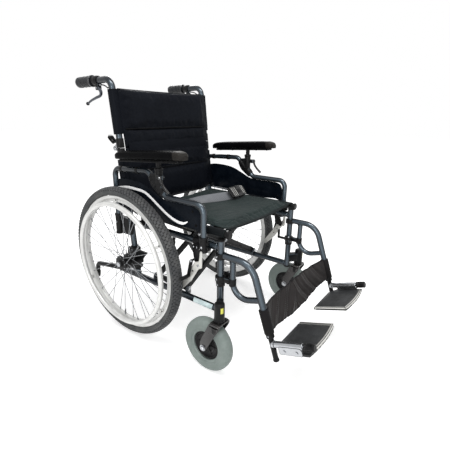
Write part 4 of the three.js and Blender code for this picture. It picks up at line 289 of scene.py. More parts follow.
class Form:
    """One piece being shaped, in millimetres from the rear axle."""

    def __init__(self):
        self.mesh = bmesh.new()

    def add(self, points, faces, finish=0, bevel=0.0, rounds=2, place=None):
        verts = [self.mesh.verts.new(place @ Vector(p) if place else Vector(p)) for p in points]
        made = []
        for corners in faces:
            face = self.mesh.faces.new([verts[i] for i in corners])
            face.material_index = finish
            face.smooth = True
            made.append(face)
        if bevel:
            bmesh.ops.recalc_face_normals(self.mesh, faces=made)
            edges = dict.fromkeys(edge for face in made for edge in face.edges)
            sharp = [e for e in edges if len(e.link_faces) == 2 and e.calc_face_angle(0) > SHARP]
            bmesh.ops.bevel(self.mesh, geom=sharp, offset=bevel, segments=rounds, profile=0.5,
                            affect="EDGES", clamp_overlap=True)
        return self

    def tube(self, points, radius, sides=20, finish=0, place=None, chamfer=0.0, flat=1.0):
        """A rod or tube along points; radius is one value or one a point."""
        points = [Vector(p) for p in points]
        radii = list(radius) if hasattr(radius, "__len__") else [radius] * len(points)
        if chamfer:
            first = (points[1] - points[0]).normalized() * chamfer
            last = (points[-2] - points[-1]).normalized() * chamfer
            points = [points[0], points[0] + first, *points[1:-1], points[-1] + last, points[-1]]
            radii = [radii[0] - chamfer, radii[0], *radii[1:-1], radii[-1], radii[-1] - chamfer]
        count = len(points)
        rings = []
        up = None
        for i, here in enumerate(points):
            along = Vector()
            if i:
                along += (here - points[i - 1]).normalized()
            if i < count - 1:
                along += (points[i + 1] - here).normalized()
            along.normalize()
            up = along.orthogonal() if up is None else up - along * up.dot(along)
            up.normalize()
            across = along.cross(up)
            for k in range(sides):
                turn = 2 * math.pi * k / sides
                rings.append(here + (up * math.cos(turn) * flat + across * math.sin(turn))
                             * radii[i])
        return self.add(rings, ring_faces(count, sides), finish, place=place)

    def turned(self, profile, centre, axis=X_AXIS, steps=48, finish=0, closed=True, place=None):
        """A form turned about an axis: the profile gives (distance along it, radius)."""
        axis = Vector(axis).normalized()
        centre = Vector(centre)
        first, second = square_to(axis)
        points = []
        starts = []
        for along, radius in profile:
            starts.append((len(points), radius > 0))
            for k in range(steps if radius > 0 else 1):
                turn = 2 * math.pi * k / steps
                points.append(centre + axis * along
                              + (first * math.cos(turn) + second * math.sin(turn)) * radius)
        faces = []
        pairs = list(zip(starts, starts[1:]))
        if closed:
            pairs.append((starts[-1], starts[0]))
        for (a, a_round), (b, b_round) in pairs:
            for k in range(steps):
                n = (k + 1) % steps
                if a_round and b_round:
                    faces.append((a + k, a + n, b + n, b + k))
                elif a_round:
                    faces.append((a + k, a + n, b))
                elif b_round:
                    faces.append((a, b + n, b + k))
        return self.add(points, faces, finish, place=place)

    def plate(self, axis, outline, low, high, bevel=1.0, finish=0, place=None, rounds=2):
        """A plate square to x, y or z, whose outline gives the other two places."""
        low, high = min(low, high), max(low, high)
        count = len(outline)
        points = []
        for level in (low, high):
            for u, v in outline:
                points.append({"x": (level, u, v), "y": (u, level, v), "z": (u, v, level)}[axis])
        faces = [tuple(range(count)), tuple(range(count, 2 * count))]
        faces += [(i, (i + 1) % count, (i + 1) % count + count, i + count) for i in range(count)]
        return self.add(points, faces, finish, bevel, rounds, place)

    def block(self, x0, x1, y0, y1, z0, z1, bevel=1.5, finish=0, place=None, rounds=2):
        outline = [(x0, y0), (x1, y0), (x1, y1), (x0, y1)]
        return self.plate("z", outline, z0, z1, bevel, finish, place, rounds)

    def collar(self, low, high, radius, finish=0, lip=1.2, place=None, bore=0.0, steps=32):
        """A short turned sleeve between two places, with softened rims."""
        low, high = Vector(low), Vector(high)
        length = (high - low).length
        inner = bore if bore else 0
        profile = [(0, inner), (0, radius - lip), (lip * 0.3, radius - lip * 0.3), (lip, radius),
                   (length - lip, radius), (length - lip * 0.3, radius - lip * 0.3),
                   (length, radius - lip), (length, inner)]
        return self.turned(profile, low, high - low, steps, finish, bool(bore), place)

    def bolt(self, centre, direction, radius, height, finish=0, place=None, hex_head=False):
        """A fastener's head: a domed button with a socket, or a six-sided head on a washer."""
        direction = Vector(direction).normalized()
        centre = Vector(centre)
        if hex_head:
            rim, thick = radius * 1.35, height * 0.25
            washer = [(0, 0), (0, rim), (thick, rim), (thick, 0)]
            self.turned(washer, centre, direction, 20, finish, False, place)
            head = [(thick, 0), (thick, radius), (height * 0.9, radius), (height, radius * 0.86),
                    (height, 0)]
            self.turned(head, centre, direction, 6, finish, False, place)
            return self
        profile = [(0, 0), (0, radius), (height * 0.35, radius), (height * 0.75, radius * 0.86),
                   (height, radius * 0.5), (height * 0.45, radius * 0.42), (height * 0.45, 0)]
        return self.turned(profile, centre, direction, 20, finish, False, place)

    def ring(self, centre, axis, radius, tube_radius, steps=24, sides=8, finish=0, place=None):
        """A bead round a joint."""
        profile = []
        for k in range(sides):
            turn = 2 * math.pi * k / sides
            profile.append((tube_radius * math.cos(turn), radius + tube_radius * math.sin(turn)))
        return self.turned(profile, centre, axis, steps, finish, True, place)

    def piece(self, name, body, finishes, replaces=()):
        """Turns the form into a named piece that moves with a body of the frame."""
        bmesh.ops.recalc_face_normals(self.mesh, faces=self.mesh.faces[:])
        data = bpy.data.meshes.new(name)
        self.mesh.transform(TO_METRES)
        self.mesh.to_mesh(data)
        self.mesh.free()
        return finish_piece(data, name, body, finishes, replaces)


def finish_piece(data, name, body, finishes, replaces=()):
    data.set_sharp_from_angle(angle=SHARP)
    thing = bpy.data.objects.new(name, data)
    bpy.context.scene.collection.objects.link(thing)
    for finish in finishes:
        data.materials.append(finish)
    if body:
        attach(thing, body)
    if replaces:
        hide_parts(*replaces)
    return thing


# Finishes.

WAVE_TURN = 6.2832


def tint(red, green, blue):
    """A colour read as 0-255 screen values, as the shader wants it."""
    def linear(value):
        value /= 255
        return value / 12.92 if value <= 0.04045 else ((value + 0.055) / 1.055) ** 2.4
    return (linear(red), linear(green), linear(blue), 1.0)


class Finish:
    """A material whose nodes are being wired."""

    def __init__(self, name, colour, roughness, metallic=0.0, **sockets):
        self.material = bpy.data.materials.new(name)
        self.material.use_nodes = True
        self.tree = self.material.node_tree
        self.shader = self.tree.nodes["Principled BSDF"]
        self.shader.inputs["Base Color"].default_value = colour
        self.shader.inputs["Roughness"].default_value = roughness
        self.shader.inputs["Metallic"].default_value = metallic
        for socket, value in sockets.items():
            self.shader.inputs[socket.replace("_", " ")].default_value = value
        self.colour = colour
        self.place = self.tree.nodes.new("ShaderNodeTexCoord").outputs["Object"]
        self.height = None

    def node(self, kind, links=(), **values):
        made = self.tree.nodes.new(kind)
        for key, value in values.items():
            setattr(made, key, value)
        for socket, source in dict(links).items():
            if hasattr(source, "is_output"):
                self.tree.links.new(source, made.inputs[socket])
            else:
                made.inputs[socket].default_value = source
        return made

    def stretched(self, scale, turn=(0, 0, 0)):
        return self.node("ShaderNodeMapping", {"Vector": self.place, "Scale": scale,
                                               "Rotation": turn}).outputs[0]

    def speckle(self, scale, detail=3, rough=0.55, where=None):
        links = {"Vector": where or self.place, "Scale": scale, "Detail": detail,
                 "Roughness": rough}
        return self.node("ShaderNodeTexNoise", links).outputs["Fac"]

    def wave(self, scale, direction="X", distortion=0.0, where=None):
        links = {"Vector": where or self.place, "Scale": scale, "Distortion": distortion}
        return self.node("ShaderNodeTexWave", links, bands_direction=direction).outputs["Fac"]

    def cells(self, scale, feature="F1", where=None):
        links = {"Vector": where or self.place, "Scale": scale}
        return self.node("ShaderNodeTexVoronoi", links, feature=feature).outputs["Distance"]

    def ranged(self, value, low, high, out_low=0.0, out_high=1.0):
        links = {"Value": value, "From Min": low, "From Max": high, "To Min": out_low,
                 "To Max": out_high}
        return self.node("ShaderNodeMapRange", links).outputs["Result"]

    def maths(self, operation, first, second=0.0):
        return self.node("ShaderNodeMath", {0: first, 1: second}, operation=operation).outputs[0]

    def mix(self, share, first, second):
        made = self.tree.nodes.new("ShaderNodeMix")
        made.data_type = "RGBA"
        for index, source in ((0, share), (6, first), (7, second)):
            if hasattr(source, "is_output"):
                self.tree.links.new(source, made.inputs[index])
            else:
                made.inputs[index].default_value = source
        return made.outputs[2]

    def paint(self, colour):
        self.tree.links.new(colour, self.shader.inputs["Base Color"])
        return self

    def sheen(self, value, low, high):
        """Roughness from low to high as the value goes from nothing to one."""
        self.tree.links.new(self.ranged(value, 0.25, 0.75, low, high),
                            self.shader.inputs["Roughness"])
        return self

    def relief(self, value, depth, strength=1.0):
        """Adds a bump so many metres deep."""
        links = {"Height": value, "Distance": depth, "Strength": strength}
        bump = self.node("ShaderNodeBump", links)
        if self.height:
            self.tree.links.new(self.height, bump.inputs["Normal"])
        self.height = bump.outputs["Normal"]
        self.tree.links.new(self.height, self.shader.inputs["Normal"])
        return self


def lacquer(name, colour, flake_and_highlight, roughness=0.3, metallic=0.5, coat=0.5):
    """Sprayed paint with fine flake, faint ripple, rubbed places and a painted highlight, paler
    where the surface faces the viewer.
    """
    f = Finish(name, colour, roughness, metallic, Coat_Weight=coat, Coat_Roughness=0.05,
               Specular_IOR_Level=0.3)
    flakes = f.ranged(f.speckle(1800, 1), 0.45, 0.7)
    # Painted highlight: the pale flake colour where the surface faces the viewer, the dark paint
    # towards the grazing edges.
    facing = f.node("ShaderNodeLayerWeight", {"Blend": 0.5}).outputs["Facing"]
    painted_facing_highlight = f.mix(f.ranged(facing, 0.0, 0.3), flake_and_highlight, colour)
    base = f.mix(f.maths("MULTIPLY", flakes, 0.15), painted_facing_highlight, flake_and_highlight)
    rubbed = f.ranged(f.speckle(14, 6, 0.7), 0.62, 0.8)
    f.paint(f.mix(f.maths("MULTIPLY", rubbed, 0.18), base, flake_and_highlight))
    f.sheen(f.speckle(60, 4), roughness - 0.05, roughness + 0.12)
    return f.relief(f.speckle(420, 2), 0.00004, 0.5).material


def powder(name, colour, roughness=0.5, metallic=0.2):
    """Powder coat: a fine pebbled skin, a little dusty."""
    f = Finish(name, colour, roughness, metallic, Specular_IOR_Level=0.2)
    dust = f.ranged(f.speckle(9, 7, 0.7), 0.5, 0.8)
    paler = tuple(min(1.0, c * 2.2 + 0.006) for c in colour[:3]) + (1.0,)
    f.paint(f.mix(f.maths("MULTIPLY", dust, 0.3), colour, paler))
    f.sheen(f.speckle(120, 3), roughness - 0.08, roughness + 0.12)
    return f.relief(f.speckle(1500, 2), 0.00006, 0.5).material


def alloy(name, colour, roughness=0.28, brushed=(1, 1, 1), metallic=0.9, relief=0.00003):
    """Bare or plated metal with brush lines along one way and faint handling marks."""
    f = Finish(name, colour, roughness, metallic)
    lines = f.speckle(900, 3, 0.6, f.stretched(brushed))
    marks = f.speckle(18, 5, 0.7)
    darker = tuple(c * 0.82 for c in colour[:3]) + (1.0,)
    f.paint(f.mix(f.ranged(marks, 0.4, 0.75), colour, darker))
    f.sheen(lines, roughness - 0.07, roughness + 0.1)
    return f.relief(lines, relief, 0.4).material


def moulded(name, colour, roughness=0.5, grain=1100, coat=0.0, shine=0.22):
    """Moulded plastic with a fine spark-eroded grain."""
    f = Finish(name, colour, roughness, 0.0, Coat_Weight=coat, Coat_Roughness=0.16,
               Specular_IOR_Level=shine)
    paler = tuple(min(1.0, c * 1.7 + 0.004) for c in colour[:3]) + (1.0,)
    f.paint(f.mix(f.ranged(f.speckle(25, 5, 0.65), 0.4, 0.8), colour, paler))
    f.sheen(f.speckle(90, 3), roughness - 0.06, roughness + 0.1)
    return f.relief(f.speckle(grain, 2), 0.00005, 0.6).material


def rubber(name, colour, dusty, roughness=0.75):
    """Rubber, dulled by dust and rubbed lighter in places."""
    f = Finish(name, colour, roughness, 0.0, Specular_IOR_Level=0.35)
    wear = f.ranged(f.speckle(22, 7, 0.7), 0.42, 0.72)
    f.paint(f.mix(f.maths("MULTIPLY", wear, 0.65), colour, dusty))
    f.sheen(f.speckle(140, 3), roughness - 0.12, roughness + 0.08)
    return f.relief(f.speckle(700, 4), 0.00012, 0.5).material


def cloth(name, colour, paler, pitch=0.0011, roughness=0.7, sheen=0.06, turn=0.0, depth=0.00018):
    """Woven cloth: threads over and under, a soft bloom and faint soiling."""
    f = Finish(name, colour, roughness, 0.0, Sheen_Weight=sheen, Sheen_Roughness=0.4,
               Specular_IOR_Level=0.05)
    laid = f.stretched((1, 1, 1), (0, 0, turn))
    scale = 1 / pitch / WAVE_TURN
    warp = f.wave(scale, "X", 0.6, laid)
    weft = f.maths("MAXIMUM", f.wave(scale, "Y", 0.6, laid), f.wave(scale, "Z", 0.6, laid))
    weave = f.maths("MULTIPLY", warp, weft)
    tone = f.maths("ADD", f.maths("MULTIPLY", weave, 0.35), f.ranged(f.speckle(7, 6, 0.65), 0.35,
                                                                     0.8, 0, 0.65))
    f.paint(f.mix(tone, colour, paler))
    f.sheen(f.speckle(40, 4), roughness - 0.08, roughness + 0.08)
    f.relief(weave, depth, 0.6)
    return f.relief(f.speckle(55, 4, 0.6), 0.0006, 0.35).material


def leathery(name, colour, paler, roughness=0.42):
    """A polyurethane skin with fine creased grain."""
    f = Finish(name, colour, roughness, 0.0, Coat_Weight=0.0, Coat_Roughness=0.12,
               Specular_IOR_Level=0.02)
    grain = f.cells(520, "DISTANCE_TO_EDGE")
    f.paint(f.mix(f.ranged(f.speckle(16, 5, 0.6), 0.4, 0.75), colour, paler))
    f.sheen(f.speckle(70, 4), roughness - 0.07, roughness + 0.12)
    f.relief(f.ranged(grain, 0.0, 0.12), 0.00012, 0.5)
    return f.relief(f.speckle(90, 3), 0.0003, 0.25).material


def webbing_finish(name, colour, paler):
    """Narrow woven webbing with ribs across it."""
    f = Finish(name, colour, 0.6, 0.0, Sheen_Weight=0.2, Sheen_Roughness=0.5)
    ribs = f.maths("MULTIPLY", f.wave(140, "X", 0.4), f.wave(90, "Y", 0.5))
    f.paint(f.mix(ribs, colour, paler))
    f.sheen(f.speckle(50, 3), 0.5, 0.7)
    return f.relief(ribs, 0.0003, 0.7).material


def make_finishes(wanted):
    """Every finish of the chair by name."""
    def rgb(values):
        return (*values, 1.0)
    frame_blue = rgb(wanted.frame_colour)
    return {
        # A lacquer's second colour serves its flake, its rubbed places and its painted highlight.
        "frame": lacquer("frame_lacquer", frame_blue, tint(78, 90, 99), 0.18, 0.35, 0.35),
        "black": powder("black_powder_coat", tint(13, 14, 15), 0.42),
        "fork": lacquer("fork_lacquer", tint(30, 29, 29), tint(70, 67, 66), 0.2, 0.3, 0.4),
        "rim": alloy("anodised_rim", rgb(wanted.rim_colour), 0.34, (1, 1, 1), 0.45),
        "spoke": alloy("steel_spoke", tint(140, 142, 145), 0.28, (1, 1, 1), 0.6),
        "tread": rubber("tyre_tread", rgb(wanted.tyre_colour), tint(98, 98, 96), 0.66),
        # The gap rubber is darker than the tread: painted shade between the lugs.
        "gap": rubber("shaded_tread_gap", tint(38, 39, 40), tint(62, 62, 61), 0.85),
        "sidewall": rubber("tyre_sidewall", tint(58, 60, 61), tint(92, 92, 90), 0.68),
        "caster": rubber("caster_rubber", rgb(wanted.caster_colour), tint(136, 145, 141), 0.6),
        "chrome": alloy("bright_plating", tint(172, 174, 177), 0.18, (1, 1, 1), 0.95),
        "cast": alloy("cast_aluminium", tint(202, 201, 196), 0.36, (1, 1, 0.2), 0.6, 0.0001),
        "lever": alloy("cast_lever", tint(66, 70, 77), 0.34, (1, 0.2, 0.2), 0.5),
        "plastic": moulded("black_plastic", tint(11, 11, 12), 0.4, 1100, 0.0, 0.16),
        "gloss": moulded("gloss_plastic", tint(11, 11, 12), 0.2, 1400, 0.25, 0.25),
        "matt": moulded("matt_plastic", tint(8, 8, 9), 0.6, 900, 0.0, 0.06),
        "grip": moulded("grip_rubber", tint(25, 27, 30), 0.26, 800, 0.2, 0.25),
        "pad": leathery("pad_skin", tint(7, 7, 8), tint(13, 13, 14), 0.26),
        "cap": moulded("pad_end_cap", tint(30, 28, 26), 0.36, 1100, 0.03, 0.06),
        "seat": cloth("seat_nylon", rgb(wanted.seat_colour), tint(46, 56, 55), 0.0012, 0.55, 0.06),
        "hem": cloth("dark_hem", tint(10, 12, 14), tint(24, 27, 29), 0.001, 0.6, 0.04),
        "back": cloth("back_nylon", rgb(wanted.back_colour), tint(20, 23, 29), 0.0012, 0.5, 0.0),
        "strap": cloth("strap_nylon", tint(37, 35, 35), tint(60, 57, 56), 0.0012, 0.42, 0.05),
        "binding": cloth("edge_binding", tint(24, 23, 24), tint(44, 42, 43), 0.0009, 0.6, 0.05),
        "thread": cloth("stitching", tint(36, 38, 41), tint(58, 60, 64), 0.0005, 0.6, 0.05),
        "webbing": webbing_finish("grey_webbing", tint(78, 80, 84), tint(116, 119, 123)),
        "panel": moulded("panel_skin", tint(6, 11, 18), 0.26, 1200, 0.02, 0.04),
        "stripe": moulded("pale_stripe", tint(252, 252, 252), 0.45, 900),
        "label": moulded("blank_label", tint(190, 206, 208), 0.4, 500),
        "patch": moulded("blank_patch", tint(206, 205, 92), 0.45, 500),
        "tread_plate": moulded("footplate_tread", tint(38, 39, 40), 0.45, 420, 0.0, 0.3),
        "cable": rubber("cable_jacket", tint(14, 14, 15), tint(30, 30, 31), 0.5),
        "bumper": rubber("rubber_cap", tint(15, 16, 17), tint(38, 38, 38), 0.8),
    }


FINISHES = {}


def looks(*names):
    if not FINISHES:
        FINISHES.update(make_finishes(bpy.context.scene.chair_colours))
    return [FINISHES[name] for name in names]


def rounded(outline, radius, steps=4):
    """An outline whose corners are eased by up to a radius."""
    count = len(outline)
    radii = radius if hasattr(radius, "__len__") else [radius] * count
    eased = []
    for i, corner in enumerate(outline):
        here = Vector(corner)
        if radii[i] <= 0:
            eased.append(tuple(here))
            continue
        back = Vector(outline[i - 1]) - here
        ahead = Vector(outline[(i + 1) % count]) - here
        start = here + back * min(radii[i] / back.length, 0.45)
        end = here + ahead * min(radii[i] / ahead.length, 0.45)
        for k in range(steps + 1):
            t = k / steps
            eased.append(tuple(start * (1 - t) ** 2 + here * 2 * t * (1 - t) + end * t * t))
    return eased


def arc(centre, radius, start, end, steps=10):
    """Points on a flat arc, its angles in degrees."""
    points = []
    for k in range(steps + 1):
        turn = math.radians(start + (end - start) * k / steps)
        points.append((centre[0] + radius * math.cos(turn), centre[1] + radius * math.sin(turn)))
    return points


def curved_label(form, centre, axis, radius, start, end, low, high, finish, thickness=0.25):
    """A thin blank label wrapped round a tube, between two angles in degrees."""
    axis = Vector(axis)
    first = Vector((-1, 0, 0))
    second = axis.cross(first)
    points = []
    steps = 12
    for along in (low, high):
        for out in (radius - 0.3, radius + thickness):
            for k in range(steps + 1):
                turn = math.radians(start + (end - start) * k / steps)
                points.append(Vector(centre) + axis * along
                              + (first * math.cos(turn) + second * math.sin(turn)) * out)
    row = steps + 1
    faces = [(0, row, 3 * row, 2 * row), (steps, 2 * row + steps, 3 * row + steps, row + steps)]
    for k in range(steps):
        faces.append((k, k + 1, row + k + 1, row + k))
        faces.append((2 * row + k, 3 * row + k, 3 * row + k + 1, 2 * row + k + 1))
        faces.append((k, 2 * row + k, 2 * row + k + 1, k + 1))
        faces.append((row + k, row + k + 1, 3 * row + k + 1, 3 * row + k))
    form.add(points, faces, finish)


# Frame pieces.


def side_frame(side, suffix):
    x = side * FRAME_X
    f = Form()
    frame_paint, black, plastic, metal, label, patch = range(6)
    f.tube([(x, POST_Y, 206), (x, POST_Y, POST_TOP_Z - 1)], TUBE_R, 28, frame_paint, chamfer=1)
    f.collar((x, POST_Y, POST_TOP_Z - 3), (x, POST_Y, POST_TOP_Z + 2), TUBE_R + 0.8, plastic)
    f.collar((x, POST_Y, 204), (x, POST_Y, 212), TUBE_R + 1, plastic)
    f.tube([(x, POST_Y, LOWER_RAIL_Z), (x, LOWER_RAIL_END_Y, LOWER_RAIL_Z)], TUBE_R, 28,
           frame_paint, chamfer=1)
    f.collar((x, LOWER_RAIL_END_Y - 12, LOWER_RAIL_Z), (x, LOWER_RAIL_END_Y + 1, LOWER_RAIL_Z),
             TUBE_R + 1.2, plastic)
    f.tube([(x, POST_Y, UPPER_RAIL_Z), (x, cane_y(UPPER_RAIL_Z), UPPER_RAIL_Z)], TUBE_R, 28,
           frame_paint)
    f.tube([cane_point(x, 0), cane_point(x, HINGE_ALONG - 1)], TUBE_R, 28, frame_paint)
    for y, z, way in ((POST_Y, LOWER_RAIL_Z, 1), (POST_Y, UPPER_RAIL_Z, 1),
                      (cane_y(UPPER_RAIL_Z), UPPER_RAIL_Z, -1)):
        f.ring((x, y + way * (TUBE_R + 0.6), z), Y_AXIS, TUBE_R + 0.4, 1.7, 28, 8, frame_paint)
    f.ring(cane_point(x, 13), CANE_FRAME.to_3x3() @ Z_AXIS, TUBE_R + 0.4, 1.7, 28, 8, frame_paint)
    f.collar((x, POST_Y, LOWER_RING_Z - 18.3), (x, POST_Y, LOWER_RING_Z - 0.3), 16, plastic, 2)
    f.bolt((x + side * 15, POST_Y + 2, LOWER_RING_Z - 10), (side, 0.1, 0), 4, 3.5, metal)
    for y in SADDLES:
        half = 17
        notch = arc((RAIL_X, RAIL_Z), 12.8, -38.6, -175.5, 14)
        foot = UPPER_RAIL_Z + 1
        outline = mirrored([(224, foot), (250, foot), *notch, (224, RAIL_Z - 1)], side)
        f.plate("y", outline, y - half, y + half, 1.2, plastic)
        f.bolt((side * 250, y, UPPER_RAIL_Z + 23), (side, 0, 0), 5, 3.2, metal, hex_head=True)
        f.collar((x, y - half, UPPER_RAIL_Z), (x, y + half, UPPER_RAIL_Z), TUBE_R + 2.6, plastic,
                 1.5)
    order = -1 if side == RIGHT else 1
    for index, base in enumerate(BRACE_BASES):
        outward = -1 if index == 0 else 1
        face = base + order * BAR_OFFSET + outward * BAR_THICKNESS / 2
        near = face + outward * 0.6
        far = near + outward * 7
        lug = [(230, LOWER_RAIL_Z), (FRAME_X, LOWER_RAIL_Z), (FRAME_X, 238),
               *arc((RAIL_X, PIVOT_Z), 12, 10, 170, 12)]
        f.plate("y", mirrored(lug, side), near, far, 1.0, frame_paint)
        f.tube([(side * RAIL_X, far, PIVOT_Z), (side * RAIL_X, near - outward * 16, PIVOT_Z)], 5,
               16, metal)
        f.bolt((side * RAIL_X, far, PIVOT_Z), (0, outward, 0), 6, 4, metal, hex_head=True)
    hx = side * STEM_X
    height = HOUSING_TOP_Z - HOUSING_LOW_Z
    profile = [(0, 9), (0, 16), (1.5, HOUSING_R), (height - 1.5, HOUSING_R), (height, 16.5),
               (height, 9)]
    f.turned(profile, (hx, STEM_Y, HOUSING_LOW_Z), Z_AXIS, 40, black)
    f.turned([(0, 0), (0, 17), (2, 17), (5, 14), (6.5, 8), (7, 0)], (hx, STEM_Y, HOUSING_TOP_Z),
             Z_AXIS, 40, plastic, False)
    f.collar((hx, STEM_Y, HOUSING_LOW_Z), (hx, STEM_Y, HOUSING_LOW_Z + 6), 19.5, plastic, 1.5,
             bore=9)
    run = Vector((hx - x, STEM_Y - POST_Y, 0))
    across = Vector((-run.y, run.x, 0)).normalized() * 13
    bridge = [(x + across.x, POST_Y + across.y), (hx + across.x, STEM_Y + across.y),
              (hx - across.x, STEM_Y - across.y), (x - across.x, POST_Y - across.y)]
    f.plate("z", bridge, 228, 266, 3, black, rounds=3)
    facing = 66 if side == RIGHT else 114
    curved_label(f, (hx, STEM_Y, 0), Z_AXIS, HOUSING_R, facing - 16, facing + 16, 248, 268, patch)
    facing = 8 if side == RIGHT else 172
    curved_label(f, (x, 0, LOWER_RAIL_Z), Y_AXIS, TUBE_R, facing - 56, facing + 56, -400, -312,
                 label)
    for y, low, bridge_y, rise in ((SOCKET_FRONT_Y, SOCKET_LOW_Z, SOCKET_FRONT_Y, 16),
                                   (SOCKET_REAR_Y, SOCKET_REAR_LOW_Z,
                                    cane_y(SOCKET_REAR_LOW_Z), 70)):
        ax = side * ARM_X
        f.collar((ax, y, low), (ax, y, SOCKET_TOP_Z), SOCKET_R, plastic, 1.6, bore=11.6)
        f.collar((ax, y, SOCKET_TOP_Z - 9), (ax, y, SOCKET_TOP_Z), SOCKET_R + 1.4, plastic, 1.6,
                 bore=11.6)
        f.block(x, ax - side * 4, min(bridge_y, y) - 11, max(bridge_y, y) + 11, low, low + rise,
                2.5, plastic, rounds=3)
        f.collar((ax, y, low), (ax, y, low + 10), SOCKET_R + 1.2, plastic, 1.6, bore=11.6)
        f.bolt((ax + side * 12.5, y, SOCKET_LOW_Z + 20), (side, 0, 0), 5, 4, metal)
        f.tube([(ax, y - 13, SOCKET_LOW_Z + 34), (ax, y - 21, SOCKET_LOW_Z + 34)], 6, 20, plastic,
               chamfer=1.5)
    top = HINGE_ALONG - 0.5
    f.collar((x, 0, top - 36), (x, 0, top), 15, plastic, 1.6, CANE_FRAME)
    knuckle = [(0, top - 17), (0, top - 1), (HINGE_OFFSET, top - 1),
               *arc((HINGE_OFFSET, HINGE_ALONG), 8.3, 0, -90, 8)]
    f.plate("x", knuckle, x - 4.8, x + 4.8, 0.8, metal, CANE_FRAME)
    f.tube([(x - 4.8, HINGE_OFFSET, HINGE_ALONG), (x + 4.8, HINGE_OFFSET, HINGE_ALONG)], 8.3, 28,
           metal, CANE_FRAME, 0.6)
    f.bolt(cane_point(x + side * 15, top - 18), (side, 0, 0), 4, 3, metal)
    return f.piece(f"frame_tubes_{suffix}", f"{suffix}_frame",
                   looks("frame", "black", "plastic", "chrome", "label", "patch"),
                   [f"side_frame_{suffix}"])


def axle_plate(side, suffix):
    f = Form()
    x = side * FRAME_X
    inner, outer = side * 267.5, side * 275.5
    outline = rounded([(-46, 297), (-16, 289), (cane_y(252) - 17, 252), (cane_y(252) + 17, 252),
                       (46, 305), (cane_y(348) + 17, 348), (cane_y(348) - 17, 348), (-76, 347),
                       (-46, 313)], [6, 8, 5, 5, 6, 5, 5, 3, 6])
    f.plate("x", outline, inner, outer, 1.4)
    for z in (262, 338):
        y = cane_y(z)
        f.block(side * 237, inner, y - 17, y + 17, z - 8, z + 8, 3.5, rounds=3)
        f.collar((x, y, z - 13), (x, y, z + 13), 15.5, 0, 2)
        for way in (-1, 1):
            f.bolt((outer, y + way * 9, z), (side, 0, 0), 4.4, 3.4, 1)
            f.tube([(side * 236, y + way * 12, z), (side * 240, y + way * 12, z)], 5, 6, 1,
                   chamfer=0.6)
    f.turned([(0, 0), (0, 16), (16, 16), (19.4, 13.5), (19.8, 0)], (outer, 0, WHEEL_R),
             (side, 0, 0), 36, 0, False)
    f.ring((side * 282, 0, WHEEL_R), X_AXIS, 16, 1.2, 36, 8, 0)
    f.tube([(inner, 0, WHEEL_R), (side * AXLE_END_X, 0, WHEEL_R)], 6, 24, 1)
    f.turned([(0, 0), (0, 8), (1, 10), (4, 10), (5.2, 8), (5.2, 4.5), (6, 4), (6, 0)],
             (side * AXLE_END_X, 0, WHEEL_R), (side, 0, 0), 32, 1, False)
    for k in range(3):
        here = (-54 + 13 * k, 333 - 5 * k)
        f.tube([(inner - side * 0.4, *here), (outer + side * 0.5, *here)], 3.6, 16, 2)
    return f.piece(f"axle_mount_{suffix}", f"{suffix}_frame", looks("black", "chrome", "plastic"),
                   [f"axle_plate_{suffix}"])


def tip_tube(side, suffix):
    f = Form()
    x = side * FRAME_X
    corners = [(x, 60, LOWER_RAIL_Z), (x, 132, LOWER_RAIL_Z), (x, 304, 190), (x, 318, 124)]
    f.tube(bent(corners, 26), 10.5, 24, 0)
    end = Vector(corners[-1])
    down = (end - Vector(corners[2])).normalized()
    foot = end + down * 5
    profile = [(0, 0), (0, 10.5), (1.5, 12.8), (6, 13), (7, 12.2), (8, 13), (13, 13), (14, 12.2),
               (15, 13), (28, 13), (30, 11.5), (30, 0)]
    f.turned(profile, foot, -down, 32, 1, False)
    f.tube([(x, 104, LOWER_RAIL_Z + 9), (x, 104, LOWER_RAIL_Z + 12.6)], 3.6, 16, 2, chamfer=0.8)
    return f.piece(f"tipping_bar_{suffix}", f"{suffix}_frame", looks("black", "bumper", "chrome"),
                   [f"tip_tube_{suffix}"])


